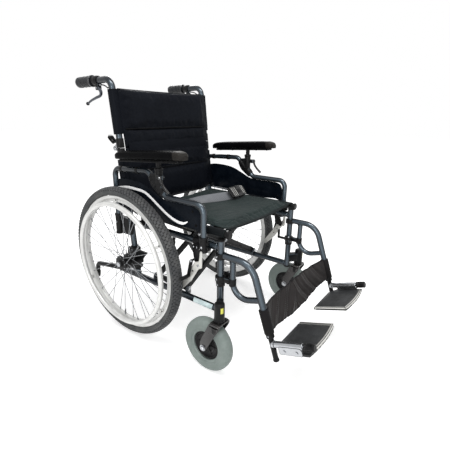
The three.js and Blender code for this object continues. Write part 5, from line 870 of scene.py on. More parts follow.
def brace(name, foot_side, order):
    f = Form()
    rail_side = -foot_side
    rise = RAIL_Z - PIVOT_Z
    angle = math.pi / 2 - math.atan2(rise, 2 * RAIL_X)
    length = math.hypot(rise, 2 * RAIL_X)
    body, steel, plastic = range(3)
    thick = BAR_THICKNESS / 2
    middle_z = (PIVOT_Z + RAIL_Z) / 2
    for base in BRACE_BASES:
        y = base + order * BAR_OFFSET
        place = (Matrix.Translation((foot_side * RAIL_X, 0, PIVOT_Z))
                 @ Matrix.Rotation(rail_side * angle, 4, "Y"))
        half = BAR_HEIGHT / 2
        profile = rounded([(-half, 4), (half, 4), (half, length - 5), (-half, length - 5)], 6)
        f.plate("y", profile, y - thick, y + thick, 1.6, body, place, 3)
        for along in (0.22, 0.78):
            slot = rounded([(-4, length * along - 16), (4, length * along - 16),
                            (4, length * along + 16), (-4, length * along + 16)], 4)
            f.plate("y", slot, y - thick - 0.25, y + thick + 0.25, 0.2, plastic, place)
        if order < 0:
            f.tube([(0, y, middle_z), (0, y + 16.6, middle_z)], 6, 24, steel)
            f.bolt((0, y + 16.6, middle_z), (0, 1, 0), 8, 5, steel, hex_head=True)
            f.bolt((0, y - thick, middle_z), (0, -1, 0), 8, 4.5, steel, hex_head=True)
        else:
            f.collar((0, y + thick, middle_z), (0, y + thick + 0.4, middle_z), 13, plastic, 0.2)
    front = BRACE_BASES[0] + order * BAR_OFFSET - thick
    rear = BRACE_BASES[1] + order * BAR_OFFSET + thick
    foot_x = foot_side * RAIL_X
    f.tube([(foot_x, front, PIVOT_Z), (foot_x, rear, PIVOT_Z)], 11, 26, body, chamfer=1)
    rail_x = rail_side * RAIL_X
    f.tube([(rail_x, RAIL_FRONT_Y, RAIL_Z), (rail_x, RAIL_REAR_Y, RAIL_Z)], TUBE_R, 30, body,
           chamfer=1)
    cap = [(0, 0), (0, 12), (2, 14.4), (5.5, 15), (7, 14.2), (7, 0)]
    f.turned(cap, (rail_x, RAIL_FRONT_Y - 7, RAIL_Z), (0, 1, 0), 32, plastic, False)
    for base in BRACE_BASES:
        f.ring((rail_x, base + order * BAR_OFFSET, RAIL_Z), Y_AXIS, 12.6, 1.6, 28, 8, body)
        f.ring((foot_x, base + order * BAR_OFFSET, PIVOT_Z), Y_AXIS, 11.2, 1.6, 28, 8, body)
    return f.piece(f"cross_{name}", name, looks("black", "chrome", "plastic"), [name])


# Wheels.


def tyre_section(turn):
    """Place and outward direction on the tyre's skin at an angle from the middle of the tread."""
    across = TYRE_HALF_WIDTH * math.sin(turn)
    radius = TYRE_CENTRE_R + TYRE_HALF_HEIGHT * math.cos(turn)
    out = Vector((math.sin(turn) / TYRE_HALF_WIDTH, math.cos(turn) / TYRE_HALF_HEIGHT)).normalized()
    return across, radius, out


def rear_tyre(side, suffix, lugs):
    f = Form()
    tread, wall, gap = range(3)
    bead_turn, rib_turn = math.radians(96), math.radians(84)
    section = []
    for k in range(41):
        turn = math.radians(-128 + 256 * k / 40)
        across, radius, out = tyre_section(turn)
        bead = abs(turn) > bead_turn
        rib = 0.5 if abs(abs(turn) - rib_turn) < 0.06 else 0
        section.append((side * (across * (1.02 if not bead else 0.96)) + side * out.x * rib,
                        max(radius + out.y * rib, RIM_R + 1.5)))
    centre = Vector((side * WHEEL_X, 0, WHEEL_R))
    f.turned(section, centre, X_AXIS, 144, wall)
    # Painted shade: the skin between the lugs takes the darker gap rubber, standing in for the
    # shade in the tread's recesses.
    for face in f.mesh.faces:
        middle = face.calc_center_median() - centre
        if math.hypot(middle.y, middle.z) > TREAD_EDGE_R:
            face.material_index = gap
    rows = ((0, 5.4, 7.8, 0.0), (24, 4.6, 7.4, 0.5), (-24, 4.6, 7.4, 0.5), (47, 4.2, 6.6, 0.0),
            (-47, 4.2, 6.6, 0.0), (66, 2.6, 4.2, 0.5), (-66, 2.6, 4.2, 0.5))
    pitch = 2 * math.pi / lugs
    for degrees, half_across, half_along, offset in rows:
        for k in range(lugs):
            turn = (k + offset) * pitch
            middle = math.radians(degrees)
            spread = half_across / 19.5
            points = []
            for level, share in ((-0.8, 1.0), (2.7 if abs(degrees) < 60 else 1.9, 0.74)):
                for u, v in ((-1, -1), (1, -1), (1, 1), (-1, 1)):
                    across, radius, out = tyre_section(middle + u * spread * share)
                    swept = turn + (v * half_along * share + u * 1.1) / WHEEL_R
                    r = radius + out.y * level
                    points.append(centre + Vector((side * (across + out.x * level),
                                                   r * math.cos(swept), r * math.sin(swept))))
            f.add(points, [(0, 1, 2, 3), (4, 5, 6, 7), (0, 1, 5, 4), (1, 2, 6, 5), (2, 3, 7, 6),
                           (3, 0, 4, 7)], tread)
    return f.piece(f"tyre_{suffix}", f"wheel_{suffix}", looks("tread", "sidewall", "gap"),
                   [f"rear_tyre_{suffix}"])


def rear_wheel(side, suffix):
    f = Form()
    rim, steel, black = range(3)
    centre = Vector((side * WHEEL_X, 0, WHEEL_R))
    half = [(0, 247.5), (4, 246.5), (8, 247.5), (10.5, 251), (13.2, 257), (14.6, 260), (15, 262),
            (15, 270.5), (14.2, 272), (12.6, 271.6), (12, 266), (9, 262.5), (3, 261), (0, 261)]
    f.turned(both_ways(half), centre, X_AXIS, 144, rim)
    hub = [(28, 6.6), (28, 13), (26.5, 14), (23, 14.2), (21.5, 18), (21, 30), (20, 31), (14.4, 31),
           (13, 29.6), (12.6, 19), (8, 16.6), (0, 16)]
    f.turned(both_ways(hub), centre, X_AXIS, 48, black)
    for way in (-1, 1):
        f.turned([(27.6, 6.6), (27.6, 10), (28.3, 10), (28.3, 6.6)], centre, (way, 0, 0), 32, steel)
    flange_r, nipple_r = 27, 250
    for i in range(SPOKE_COUNT):
        flange = 1 if i % 2 == 0 else -1
        lean = 1 if (i // 2) % 2 == 0 else -1
        turn = 2 * math.pi * (i + 0.5) / SPOKE_COUNT
        hub_turn = turn + lean * math.radians(38)
        hub_x = side * WHEEL_X + flange * (17 + lean * 2)
        rim_x = side * WHEEL_X + flange * 4
        start = Vector((hub_x, flange_r * math.cos(hub_turn), WHEEL_R + flange_r
                        * math.sin(hub_turn)))
        end = Vector((rim_x, nipple_r * math.cos(turn), WHEEL_R + nipple_r * math.sin(turn)))
        f.tube([start, end], 1.15, 10, steel)
        along = (start - end).normalized()
        f.tube([end, end + along * 9, end + along * 14], [2.3, 2.1, 1.5], 10, steel)
        f.tube([start - Vector((flange * 3.4, 0, 0)), start + Vector((flange * 3.4, 0, 0))], 1.9,
               10, steel)
    valve = math.radians(-84)
    out = Vector((0, math.cos(valve), math.sin(valve)))
    f.tube([centre + out * 248, centre + out * 232, centre + out * 226], [3, 3, 2], 12, black)
    return f.piece(f"spoked_wheel_{suffix}", f"wheel_{suffix}", looks("rim", "spoke", "black"),
                   [f"rear_wheel_{suffix}"])


def push_rim(side, suffix):
    f = Form()
    x = side * PUSH_RIM_X
    f.ring((x, 0, WHEEL_R), X_AXIS, PUSH_RIM_R, PUSH_TUBE_R, 144, 24, 0)
    face = side * 339.3
    for i in range(6):
        place = leaned((0, 0, WHEEL_R), 2 * math.pi * i / 6)
        outline = [(face, 253), (face, 262), (face + side * 3, 262), (face + side * 3.5, 256),
                   (x + side * 1, 248), (x + side * 3, 243), (x - side * 4, 243)]
        f.plate("y", outline, -6.5, 6.5, 1.0, 0, place)
        f.bolt((face + side * 3.2, 0, 259), (side, 0, 0.2), 2.9, 2.2, 1, place)
    return f.piece(f"hand_rim_{suffix}", f"wheel_{suffix}", looks("rim", "black"),
                   [f"push_rim_{suffix}"])


def caster(side, suffix):
    x = side * STEM_X
    centre = Vector((x, CASTER_Y, CASTER_R))
    f = Form()
    half = []
    for k in range(15):
        turn = math.radians(90 * k / 14)
        across = 22 * math.sin(turn) ** 0.8
        radius = 77 + 23 * math.cos(turn) ** 0.62
        groove = 0.5 if k in (7, 9, 11) else 0
        half.append((across - groove, radius - groove * 0.5))
    half += [(21.2, 70), (20.4, 69.2), (20.2, 64), (18.8, 63.2), (18.2, 58), (16.8, 54.4),
             (0, 54.4)]
    f.turned(both_ways(half), centre, X_AXIS, 96, 0)
    tyre = f.piece(f"caster_tread_{suffix}", f"caster_{suffix}", looks("caster"),
                   [f"caster_tyre_{suffix}"])
    f = Form()
    half = [(16.5, 6.6), (17, 8), (17, 13), (15.5, 14.5), (9, 15), (7, 17), (6.4, 22), (6.2, 36),
            (7.4, 41), (10.5, 45), (13.4, 46.5), (13.8, 49), (12.6, 50), (12.2, 53), (10.5, 54)]
    f.turned(both_ways(half), centre, X_AXIS, 64, 0)
    for way in (-1, 1):
        f.ring(centre + Vector((way * 6.6, 0, 0)), X_AXIS, 30, 1.4, 48, 8, 1)
        for k in range(6):
            turn = math.pi * k / 3
            out = Vector((0, math.cos(turn), math.sin(turn)))
            f.tube([centre + out * 15 + Vector((way * 8, 0, 0)), centre + out * 40
                    + Vector((way * 6.4, 0, 0))], [2.6, 2.2], 10, 0)
    hub = f.piece(f"caster_core_{suffix}", f"caster_{suffix}", looks("plastic", "gloss"),
                  [f"caster_hub_{suffix}"])
    return tyre, hub


def caster_fork(side, suffix):
    f = Form()
    x = side * STEM_X
    paint, metal, plastic = range(3)
    legs = [(STEM_Y - 21, 196), (STEM_Y - 20, 209.6), (STEM_Y + 20, 209.6), (STEM_Y + 26, 196),
            (CASTER_Y + 14, 120), (CASTER_Y + 14, 96), (CASTER_Y + 5, 86.5), (CASTER_Y - 7, 87),
            (CASTER_Y - 14, 98), (STEM_Y + 6, 150)]
    legs = rounded(legs, 14, 5)
    for way in (-1, 1):
        f.plate("x", legs, x + way * 27, x + way * 32, 1.8, paint, rounds=3)
        f.turned([(0, 0), (0, 11.5), (2, 11.5), (2, 0)], (x + way * 32, CASTER_Y, CASTER_R),
                 (way, 0, 0), 32, metal, False)
        nut = [(2, 0), (2, 8.4), (6, 8.4), (7, 7.2), (7, 0)]
        f.turned(nut, (x + way * 31.6, CASTER_Y, CASTER_R), (way, 0, 0), 6, metal, False)
        f.tube([(x + way * 17.3, CASTER_Y, CASTER_R), (x + way * 27, CASTER_Y, CASTER_R)], 9, 20,
               metal)
    crown = [(x - 32, 196), (x - 32, 204), (x - 26, 210), (x + 26, 210), (x + 32, 204),
             (x + 32, 196), (x + 27, 196), (x + 24, 203.6), (x - 24, 203.6), (x - 27, 196)]
    f.plate("y", crown, STEM_Y - 20, STEM_Y + 20, 1.6, paint, rounds=3)
    f.turned([(0, 0), (0, 16), (2.4, 15), (3.6, 12), (3.6, 0)], (x, STEM_Y, 209.6), Z_AXIS, 36,
             plastic, False)
    f.tube([(x, STEM_Y, 205), (x, STEM_Y, 268)], 8, 24, metal)
    f.tube([(x - 33, CASTER_Y, CASTER_R), (x + 33, CASTER_Y, CASTER_R)], 6, 20, plastic)
    for way in (-side, side):
        f.block(x + way * 32.5, x + way * 35.5, STEM_Y - 7, STEM_Y + 7, 176, 198, 2.2, plastic,
                rounds=3)
    return f.piece(f"caster_yoke_{suffix}", f"fork_{suffix}", looks("fork", "chrome", "plastic"),
                   [f"caster_fork_{suffix}"])


# Leg supports.


def hanger(side, suffix):
    f = Form()
    paint, plastic, metal = range(3)
    x = side * FRAME_X
    corner = (HANGER_TOP_Z - LEG_Z) / math.cos(LEG_LEAN)
    f.tube(bent([(x, POST_Y - 16, HANGER_TOP_Z), leg_point(x, corner), leg_point(x, 22)], 72),
           HANGER_R, 28, paint)
    f.collar(leg_point(x, 22), leg_point(x, 40), 13.6, plastic, 1.4)
    f.bolt(leg_point(x + side * 12, 31), (side, 0, 0), 3.6, 3, metal)
    meet = (313 - LEG_Z) / math.cos(LEG_LEAN)
    f.tube(bent([(x, INNER_TUBE_Y, HANGER_TOP_Z), (x, INNER_TUBE_Y, 277), leg_point(x, meet)], 50),
           10.5, 24, paint)
    f.ring((x, INNER_TUBE_Y, HANGER_TOP_Z - 12), Z_AXIS, 10.9, 1.6, 24, 8, paint)
    for z in (UPPER_RING_Z, LOWER_RING_Z):
        f.collar((x, POST_Y, z), (x, POST_Y, z + RING_HEIGHT), RING_R, plastic, 2.2, bore=13.6,
                 steps=40)
        f.bolt((x + side * 17.5, POST_Y + 4, z + 10), (side, 0.2, 0), 3.8, 3, metal)
    f.block(x - 8, x + 8, -484, -443, LOWER_RING_Z + 1, LOWER_RING_Z + RING_HEIGHT - 1, 3, plastic,
            rounds=3)
    f.collar((x, INNER_TUBE_Y, LOWER_RING_Z - 3), (x, INNER_TUBE_Y, LOWER_RING_Z + RING_HEIGHT + 3),
             12.5, plastic, 1.6)
    f.tube([(x + side * 8, -466, LOWER_RING_Z + 10), (x + side * 13, -466, LOWER_RING_Z + 10)], 7,
           18, plastic, chamfer=1)
    arm = rounded(mirrored([(217, -449), (239, -449), (239, -431), (217, -431)], side), 7)
    f.plate("z", arm, LOWER_RING_Z, LOWER_RING_Z + 12, 1.4, plastic)
    f.tube([(side * 226, -440, LOWER_RING_Z + 8), (side * 226, -440, LOWER_RING_Z + 28)], 5, 18,
           metal, chamfer=0.6)
    return f.piece(f"leg_hanger_{suffix}", f"hanger_{suffix}", looks("frame", "plastic", "chrome"),
                   [f"hanger_{suffix}"])


def hanger_latch(side, suffix):
    f = Form()
    x = side * 226
    low, high = LOWER_RING_Z + 12.3, LOWER_RING_Z + 20
    outline = rounded([(x - 6.5, -388), (x + 6.5, -388), (x + 6.5, -436), (x + 8.6, -440),
                       (x, -449), (x - 8.6, -440), (x - 6.5, -436)], 4)
    f.plate("z", outline, low, high, 1.3, 0, rounds=3)
    f.collar((x, -440, low - 0.1), (x, -440, high + 3.5), 8.8, 0, 1, bore=5.6)
    tab = rounded([(x - 6.5, low), (x + 6.5, low), (x + 7.5, low + 36), (x + 4, low + 40),
                   (x - 4, low + 40), (x - 7.5, low + 36)], 3)
    f.plate("y", tab, -394, -388, 1.4, 0, rounds=3)
    for k in range(5):
        f.block(x - 5, x + 5, -388.6, -387.4, low + 14 + 4.6 * k, low + 16 + 4.6 * k, 0.4, 0)
    return f.piece(f"hanger_catch_{suffix}", f"hanger_latch_{suffix}", looks("plastic"),
                   [f"hanger_latch_{suffix}"])


def leg_extension(side, suffix):
    f = Form()
    black, metal, plastic = range(3)
    x = side * FRAME_X
    f.tube([(x, 0, -58), (x, 0, 146)], 9, 24, black, LEG_FRAME, 1)
    f.turned([(0, 0), (0, 8), (1.5, 10.2), (7, 10.5), (8, 9.6), (8, 0)], leg_point(x, -60),
             LEG_FRAME.to_3x3() @ Z_AXIS, 28, plastic, False)
    for k in range(5):
        f.tube([(x + side * 8.6, 0, 8 + 11 * k), (x + side * 9.2, 0, 8 + 11 * k)], 2.4, 12, plastic,
               LEG_FRAME)
    f.tube([(x, 0, 0), (x, -132, 0)], 6, 22, metal, LEG_FRAME)
    f.collar((x, -9.5, 0), (x, 0, 0), 12, metal, 1.2, LEG_FRAME)
    knob = [(0, 0), (0, 10), (1.5, 12.4), (6, 13), (9, 11.4), (27, 11.4), (30, 13), (34, 12.2),
            (36, 9), (36, 0)]
    f.turned(knob, leg_point(x, 0, -114), LEG_FORWARD, 32, plastic, False)
    for k in range(10):
        turn = 2 * math.pi * k / 10
        cx, cz = 11.6 * math.cos(turn), 11.6 * math.sin(turn)
        f.tube([(x + cx, -124, cz), (x + cx, -141, cz)], 1.2, 8, plastic, LEG_FRAME)
    return f.piece(f"leg_slide_{suffix}", f"leg_{suffix}", looks("black", "chrome", "plastic"),
                   [f"leg_extension_{suffix}"])


def nose_y(x):
    middle = (PLATE_INNER_X + PLATE_OUTER_X) / 2
    share = (x - middle) / (PLATE_OUTER_X - middle)
    return -(130 + 10 * (1 - share * share))


def footplate(side, suffix):
    f = Form()
    tread, alloy_edge, bright = range(3)
    x = side * FRAME_X
    top, low = PLATE_TOP, PLATE_TOP - 8
    across = [PLATE_INNER_X + (PLATE_OUTER_X - PLATE_INNER_X) * k / 20 for k in range(21)]
    nose = [(u, nose_y(u)) for u in across]
    corner = [(PLATE_INNER_X + 14, 2), (PLATE_INNER_X, 2), nose[0]]
    base = [*rounded(mirrored(corner, side), [0, 12, 0]),
            *mirrored([*nose[1:], (PLATE_OUTER_X, -26), (226, 2)], side)]
    f.plate("z", base, low, top, 1.6, tread, LEG_FRAME, 3)
    rim = [*nose[:19], *[(u, v + 8) for u, v in reversed(nose[:19])]]
    f.plate("z", mirrored(rim, side), low + 0.3, top + 5.6, 1.6, alloy_edge, LEG_FRAME, 3)
    for k in range(19):
        y0 = -10 - 5.8 * k
        right_x = 232 if k > 1 else 222
        rib = mirrored([(74, y0), (right_x, y0), (right_x, y0 - 2.2), (74, y0 - 2.2)], side)
        f.plate("z", rounded(rib, 1), top - 0.2, top + 0.8, 0.4, tread, LEG_FRAME)
    inner_edge = [(PLATE_INNER_X, -4), (PLATE_INNER_X + 6, -4),
                  (PLATE_INNER_X + 6, nose[0][1] + 6), (PLATE_INNER_X, nose[0][1] + 4)]
    f.plate("z", mirrored(inner_edge, side), low + 0.3, top + 5.6, 1.6, alloy_edge, LEG_FRAME, 3)
    sleeve = [(0, 7), (0, 10.2), (1, 11), (98, 11), (99, 10.2), (99, 7)]
    f.turned(sleeve, leg_point(x, 0, -11), LEG_FORWARD, 36, bright)
    flange = rounded([(-26, low), (-26, -8), (-30, 0), (-104, 0), (-110, -8), (-110, low)], 6)
    f.plate("x", flange, side * 258, side * 266, 1.8, bright, LEG_FRAME, 3)
    for v in (-46, -90):
        f.bolt(LEG_FRAME @ Vector((side * 266, v, PLATE_TOP + 4)), (side, 0, 0), 4.6, 3, bright,
               hex_head=True)
    under = mirrored([(70, -14), (258, -34), (258, -100), (70, -112)], side)
    f.plate("z", rounded(under, 10), low - 2.6, low + 0.2, 1, alloy_edge, LEG_FRAME)
    return f.piece(f"foot_board_{suffix}", f"footplate_{suffix}", looks("tread_plate", "cast",
                                                                        "chrome"),
                   [f"footplate_{suffix}"])


# Brakes.


def parking_brake(side, suffix):
    f = Form()
    x = side * FRAME_X
    for y in (-357, -329):
        inward = 1 if y == -357 else -1
        f.collar((x, y, UPPER_RAIL_Z), (x, y + inward * 12, UPPER_RAIL_Z), 16.2, 0, 1.4)
    low = UPPER_RAIL_Z - 16.5
    outline = rounded([(-329, UPPER_RAIL_Z), (-357, UPPER_RAIL_Z), (-357, low), (-374, 390),
                       (-368, 378), (-338, 390), (-329, low)], 5)
    f.plate("x", outline, side * 283, side * 287, 1, 0)
    f.block(x + side * 6, side * 287, -356, -330, low + 1, UPPER_RAIL_Z - 0.4, 2.4, 0, rounds=3)
    f.block(x - side * 14, x + side * 14, -353, -333, low + 0.1, low + 5, 2, 0)
    for y, z, end in ((*BRAKE_PIVOT, 300.7), (-338, 398, 305.4)):
        f.tube([(side * 283, y, z), (side * end, y, z)], 4, 18, 1)
        f.bolt((side * (end - 0.6), y, z), (side, 0, 0), 5, 2.4, 1)
    for y in (-350, -336):
        f.bolt((side * 287, y, low + 8), (side, 0, 0), 3.6, 2.6, 1)
    f.piece(f"brake_clamp_{suffix}", f"{suffix}_frame", looks("plastic", "chrome"),
            [f"brake_body_{suffix}"])
    f = Form()

    def on_lever(shares):
        """Places on the lever, whose pivot is (0, 0), 94 mm long and 118 mm high."""
        return [(BRAKE_PIVOT[0] + a * 94, BRAKE_PIVOT[1] + u * 118) for a, u in shares]

    shares = [(-0.19, 0.42), (-0.15, 0.46), (-0.09, 0.46), (-0.04, 0.14), (0.17, 0.08),
              (0.47, -0.31), (0.96, -0.85), (1, -0.95), (0.87, -1), (0.34, -0.56), (0, -0.12),
              (-0.17, -0.05)]
    f.plate("x", rounded(on_lever(shares), 5), side * BRAKE_LEVER_X, side * (BRAKE_LEVER_X + 4),
            1.1, 0, rounds=3)
    rib = on_lever([(0.1, -0.05), (0.2, -0.06), (0.86, -0.83), (0.82, -0.88)])
    f.plate("x", rounded(rib, 2), side * (BRAKE_LEVER_X - 1.4), side * (BRAKE_LEVER_X + 0.4), 0.6,
            0)
    holes = on_lever([(0.26, -0.22), (0.42, -0.42), (0.58, -0.55)])
    for hole, radius in zip(holes, (3.6, 3.2, 2.8)):
        f.tube([(side * (BRAKE_LEVER_X - 0.3), *hole), (side * (BRAKE_LEVER_X + 4.4), *hole)],
               radius, 18, 1)
    f.piece(f"brake_handle_{suffix}", f"brake_lever_{suffix}", looks("cast", "plastic"),
            [f"brake_lever_{suffix}"])
    f = Form()
    near, far = side * BRAKE_SHOE_X, side * (BRAKE_SHOE_X + 4)
    bar_y, bar_z = -322, 336
    arm = rounded([(-345, 398), (-338, 406), (-331, 398), (-316, 334), (-329, 334)], 5)
    f.plate("x", arm, near, far, 1, 0)
    f.collar((near, bar_y, bar_z), (side * 345, bar_y, bar_z), 6.8, 1, 1.2)
    for k in range(5):
        f.ring((side * (312 + 6.5 * k), bar_y, bar_z), X_AXIS, 6.3, 0.8, 24, 6, 1)
    return f.piece(f"brake_block_{suffix}", f"brake_shoe_{suffix}", looks("black", "plastic"),
                   [f"brake_shoe_{suffix}"])


# Backrest frame and push handles.


def back_cane(side, suffix):
    f = Form()
    paint, plastic, metal = range(3)
    x = side * FRAME_X
    low = HINGE_ALONG + 0.5
    corners = [cane_point(x, low), (x, cane_y(HANDLE_Z), HANDLE_Z), (x, HANDLE_END_Y,
                                                                     handle_z(HANDLE_END_Y))]
    f.tube(bent(corners, 36, math.radians(5)), TUBE_R, 28, paint)
    f.collar((x, 0, low), (x, 0, low + 36), 15, plastic, 1.6, CANE_FRAME)
    for way in (-1, 1):
        a, b = x + way * 5.7, x + way * 10.2
        cheek = [(0, low + 17), (0, low + 1), (HINGE_OFFSET, low),
                 *arc((HINGE_OFFSET, HINGE_ALONG), 8.4, 10, 90, 6), (12, low + 17)]
        f.plate("x", cheek, a, b, 0.7, metal, CANE_FRAME)
        f.tube([(a, HINGE_OFFSET, HINGE_ALONG), (b, HINGE_OFFSET, HINGE_ALONG)], 8.4, 28, metal,
               CANE_FRAME, 0.6)
        f.bolt(cane_point(x + way * 10.2, HINGE_ALONG, HINGE_OFFSET), (way, 0, 0), 5, 2, metal)
    f.tube([(x - 10, HINGE_OFFSET, HINGE_ALONG), (x + 10, HINGE_OFFSET, HINGE_ALONG)], 4, 18, metal,
           CANE_FRAME)
    f.block(x - 4.8, x + 4.8, 0, 30, 548.5, 555.5, 1.2, plastic, CANE_FRAME)
    f.tube([(x - 11, 30, 552), (x + 11, 30, 552)], 3.5, 16, metal, CANE_FRAME, 0.6)
    start, end = Vector((x, 170, handle_z(170))), Vector((x, 202, handle_z(202)))
    f.collar(start, end, 17, plastic, 1.8)
    f.ring(start.lerp(end, 0.3), end - start, 16.8, 0.9, 32, 8, plastic)
    f.block(x - 3.5, x + 3.5, 168, 184, 970.7, 990, 1.4, plastic)
    for way in (-1, 1):
        f.plate("x", rounded([(168, 954), (184, 954), (184, 988), (168, 988)], 5), x + way * 4.2,
                x + way * 8.7, 1.2, plastic)
    f.tube([(x - 8.9, *ATTENDANT_PIVOT), (x + 8.9, *ATTENDANT_PIVOT)], 3, 16, metal, chamfer=0.5)
    grommet = (GROMMET_Z - LOWER_RAIL_Z) / math.cos(CANE_LEAN)
    f.tube([(x, 8, grommet), (x, 16, grommet), (x, 19.5, grommet)], [5.4, 4.5, 3.6], 18, plastic,
           CANE_FRAME)
    return f.piece(f"push_handle_{suffix}", f"back_{suffix}", looks("frame", "plastic", "chrome"),
                   [f"back_cane_{suffix}"])


def push_grip(side, suffix, ribs):
    f = Form()
    x = side * FRAME_X
    start = Vector((x, 207, handle_z(207)))
    end = Vector((x, GRIP_END_Y, handle_z(GRIP_END_Y)))
    length = (end - start).length
    profile = [(0, 13), (0, 20), (1.5, 21.6), (10, 21.6), (12, 20), (14, 18.6)]
    for k in range(ribs):
        here = 17 + (length - 34) * k / (ribs - 1)
        swell = 1.2 + 1.0 * math.sin(math.pi * k / (ribs - 1) * 2.5) ** 2
        profile += [(here - 1.6, 17.2 + swell), (here - 1.1, 18.4 + swell),
                    (here + 1.1, 18.4 + swell), (here + 1.6, 17.2 + swell)]
    profile += [(length - 12, 18.6), (length - 9, 20.4), (length - 3, 20), (length - 0.8, 17),
                (length, 12), (length, 0)]
    f.turned(profile + [(length - 8, 0), (length - 8, 13)], start, end - start, 40, 0)
    return f.piece(f"hand_grip_{suffix}", f"back_{suffix}", looks("grip"), [f"push_grip_{suffix}"])


def attendant_lever(side, suffix):
    f = Form()
    x = side * FRAME_X
    spine = smooth_run([(x, *ATTENDANT_PIVOT), (x, 163, 949), (x, 168, 935), (x, 197, 927),
                        (x, 231, 917), (x, 256, 906)], 6)
    radii = [10.4 - 5 * (i / len(spine)) ** 0.6 for i in range(len(spine))]
    f.tube(spine, radii, 20, 0, flat=0.7)
    f.turned([(0, 0), (0, 6.5), (1, 7.5), (6, 7.5), (7, 6.5), (7, 0)], (x - 3.5, *ATTENDANT_PIVOT),
             X_AXIS, 28, 0, False)
    ball = [(0, 0), *[(7 - 7 * math.cos(math.radians(t)), 7 * math.sin(math.radians(t)))
                      for t in range(18, 180, 18)], (14, 0)]
    f.turned(ball, (x, 251, 907.4), (0, 0.95, -0.3), 24, 1, False)
    return f.piece(f"attendant_brake_{suffix}", f"attendant_lever_{suffix}", looks("lever",
                                                                                   "plastic"),
                   [f"attendant_lever_{suffix}"])


def brake_cable(side, suffix):
    f = Form()
    x = side * FRAME_X
    along = (GROMMET_Z - LOWER_RAIL_Z) / math.cos(CANE_LEAN)
    entry = cane_point(x, along, 19.8)
    ahead = cane_point(x, along, 26.8)
    leave = Vector((x, 167.7, 973.1))
    clear = Vector((x, 160.7, 973.1))
    far = Vector((x, 127.7, 973.1))
    pull = ahead + (ahead - entry) * 0.6
    route = [leave]
    for k in range(25):
        t = k / 24
        route.append(clear * (1 - t) ** 3 + far * 3 * t * (1 - t) ** 2 + pull * 3 * t * t * (1 - t)
                     + ahead * t ** 3)
    f.tube([*route, entry], 2.4, 14, 0)
    f.tube([leave, leave + Vector((0, -9, 0)), leave + Vector((0, -11, 0))], [3.8, 3.4, 2.4], 14, 1)
    return f.piece(f"cable_{suffix}", f"back_{suffix}", looks("cable", "chrome"),
                   [f"brake_cable_{suffix}"])


def release_lever(side, suffix):
    f = Form()
    x = side * FRAME_X
    outline = rounded([(24, 551), (29, 559), (40, 563), (53, 579), (60, 572), (54, 564), (38, 549),
                       (30, 545)], 3)
    for low, high in ((-11, -5.8), (5.8, 11)):
        f.plate("x", outline, x + low, x + high, 1.2, 0, CANE_FRAME)
    f.plate("x", rounded([(40, 562), (53, 579), (60, 572), (52, 562), (41, 553)], 3), x - 11,
            x + 11, 1.6, 0, CANE_FRAME, 3)
    for k in range(4):
        f.tube([(x - 9, 47 + 3 * k, 572.6 + 3.1 * k - 1.6), (x + 9, 47 + 3 * k, 572.6 + 3.1 * k
                                                             - 1.6)], 0.9, 8, 0, CANE_FRAME)
    return f.piece(f"back_catch_{suffix}", f"release_lever_{suffix}", looks("plastic"),
                   [f"release_lever_{suffix}"])


# Armrests.


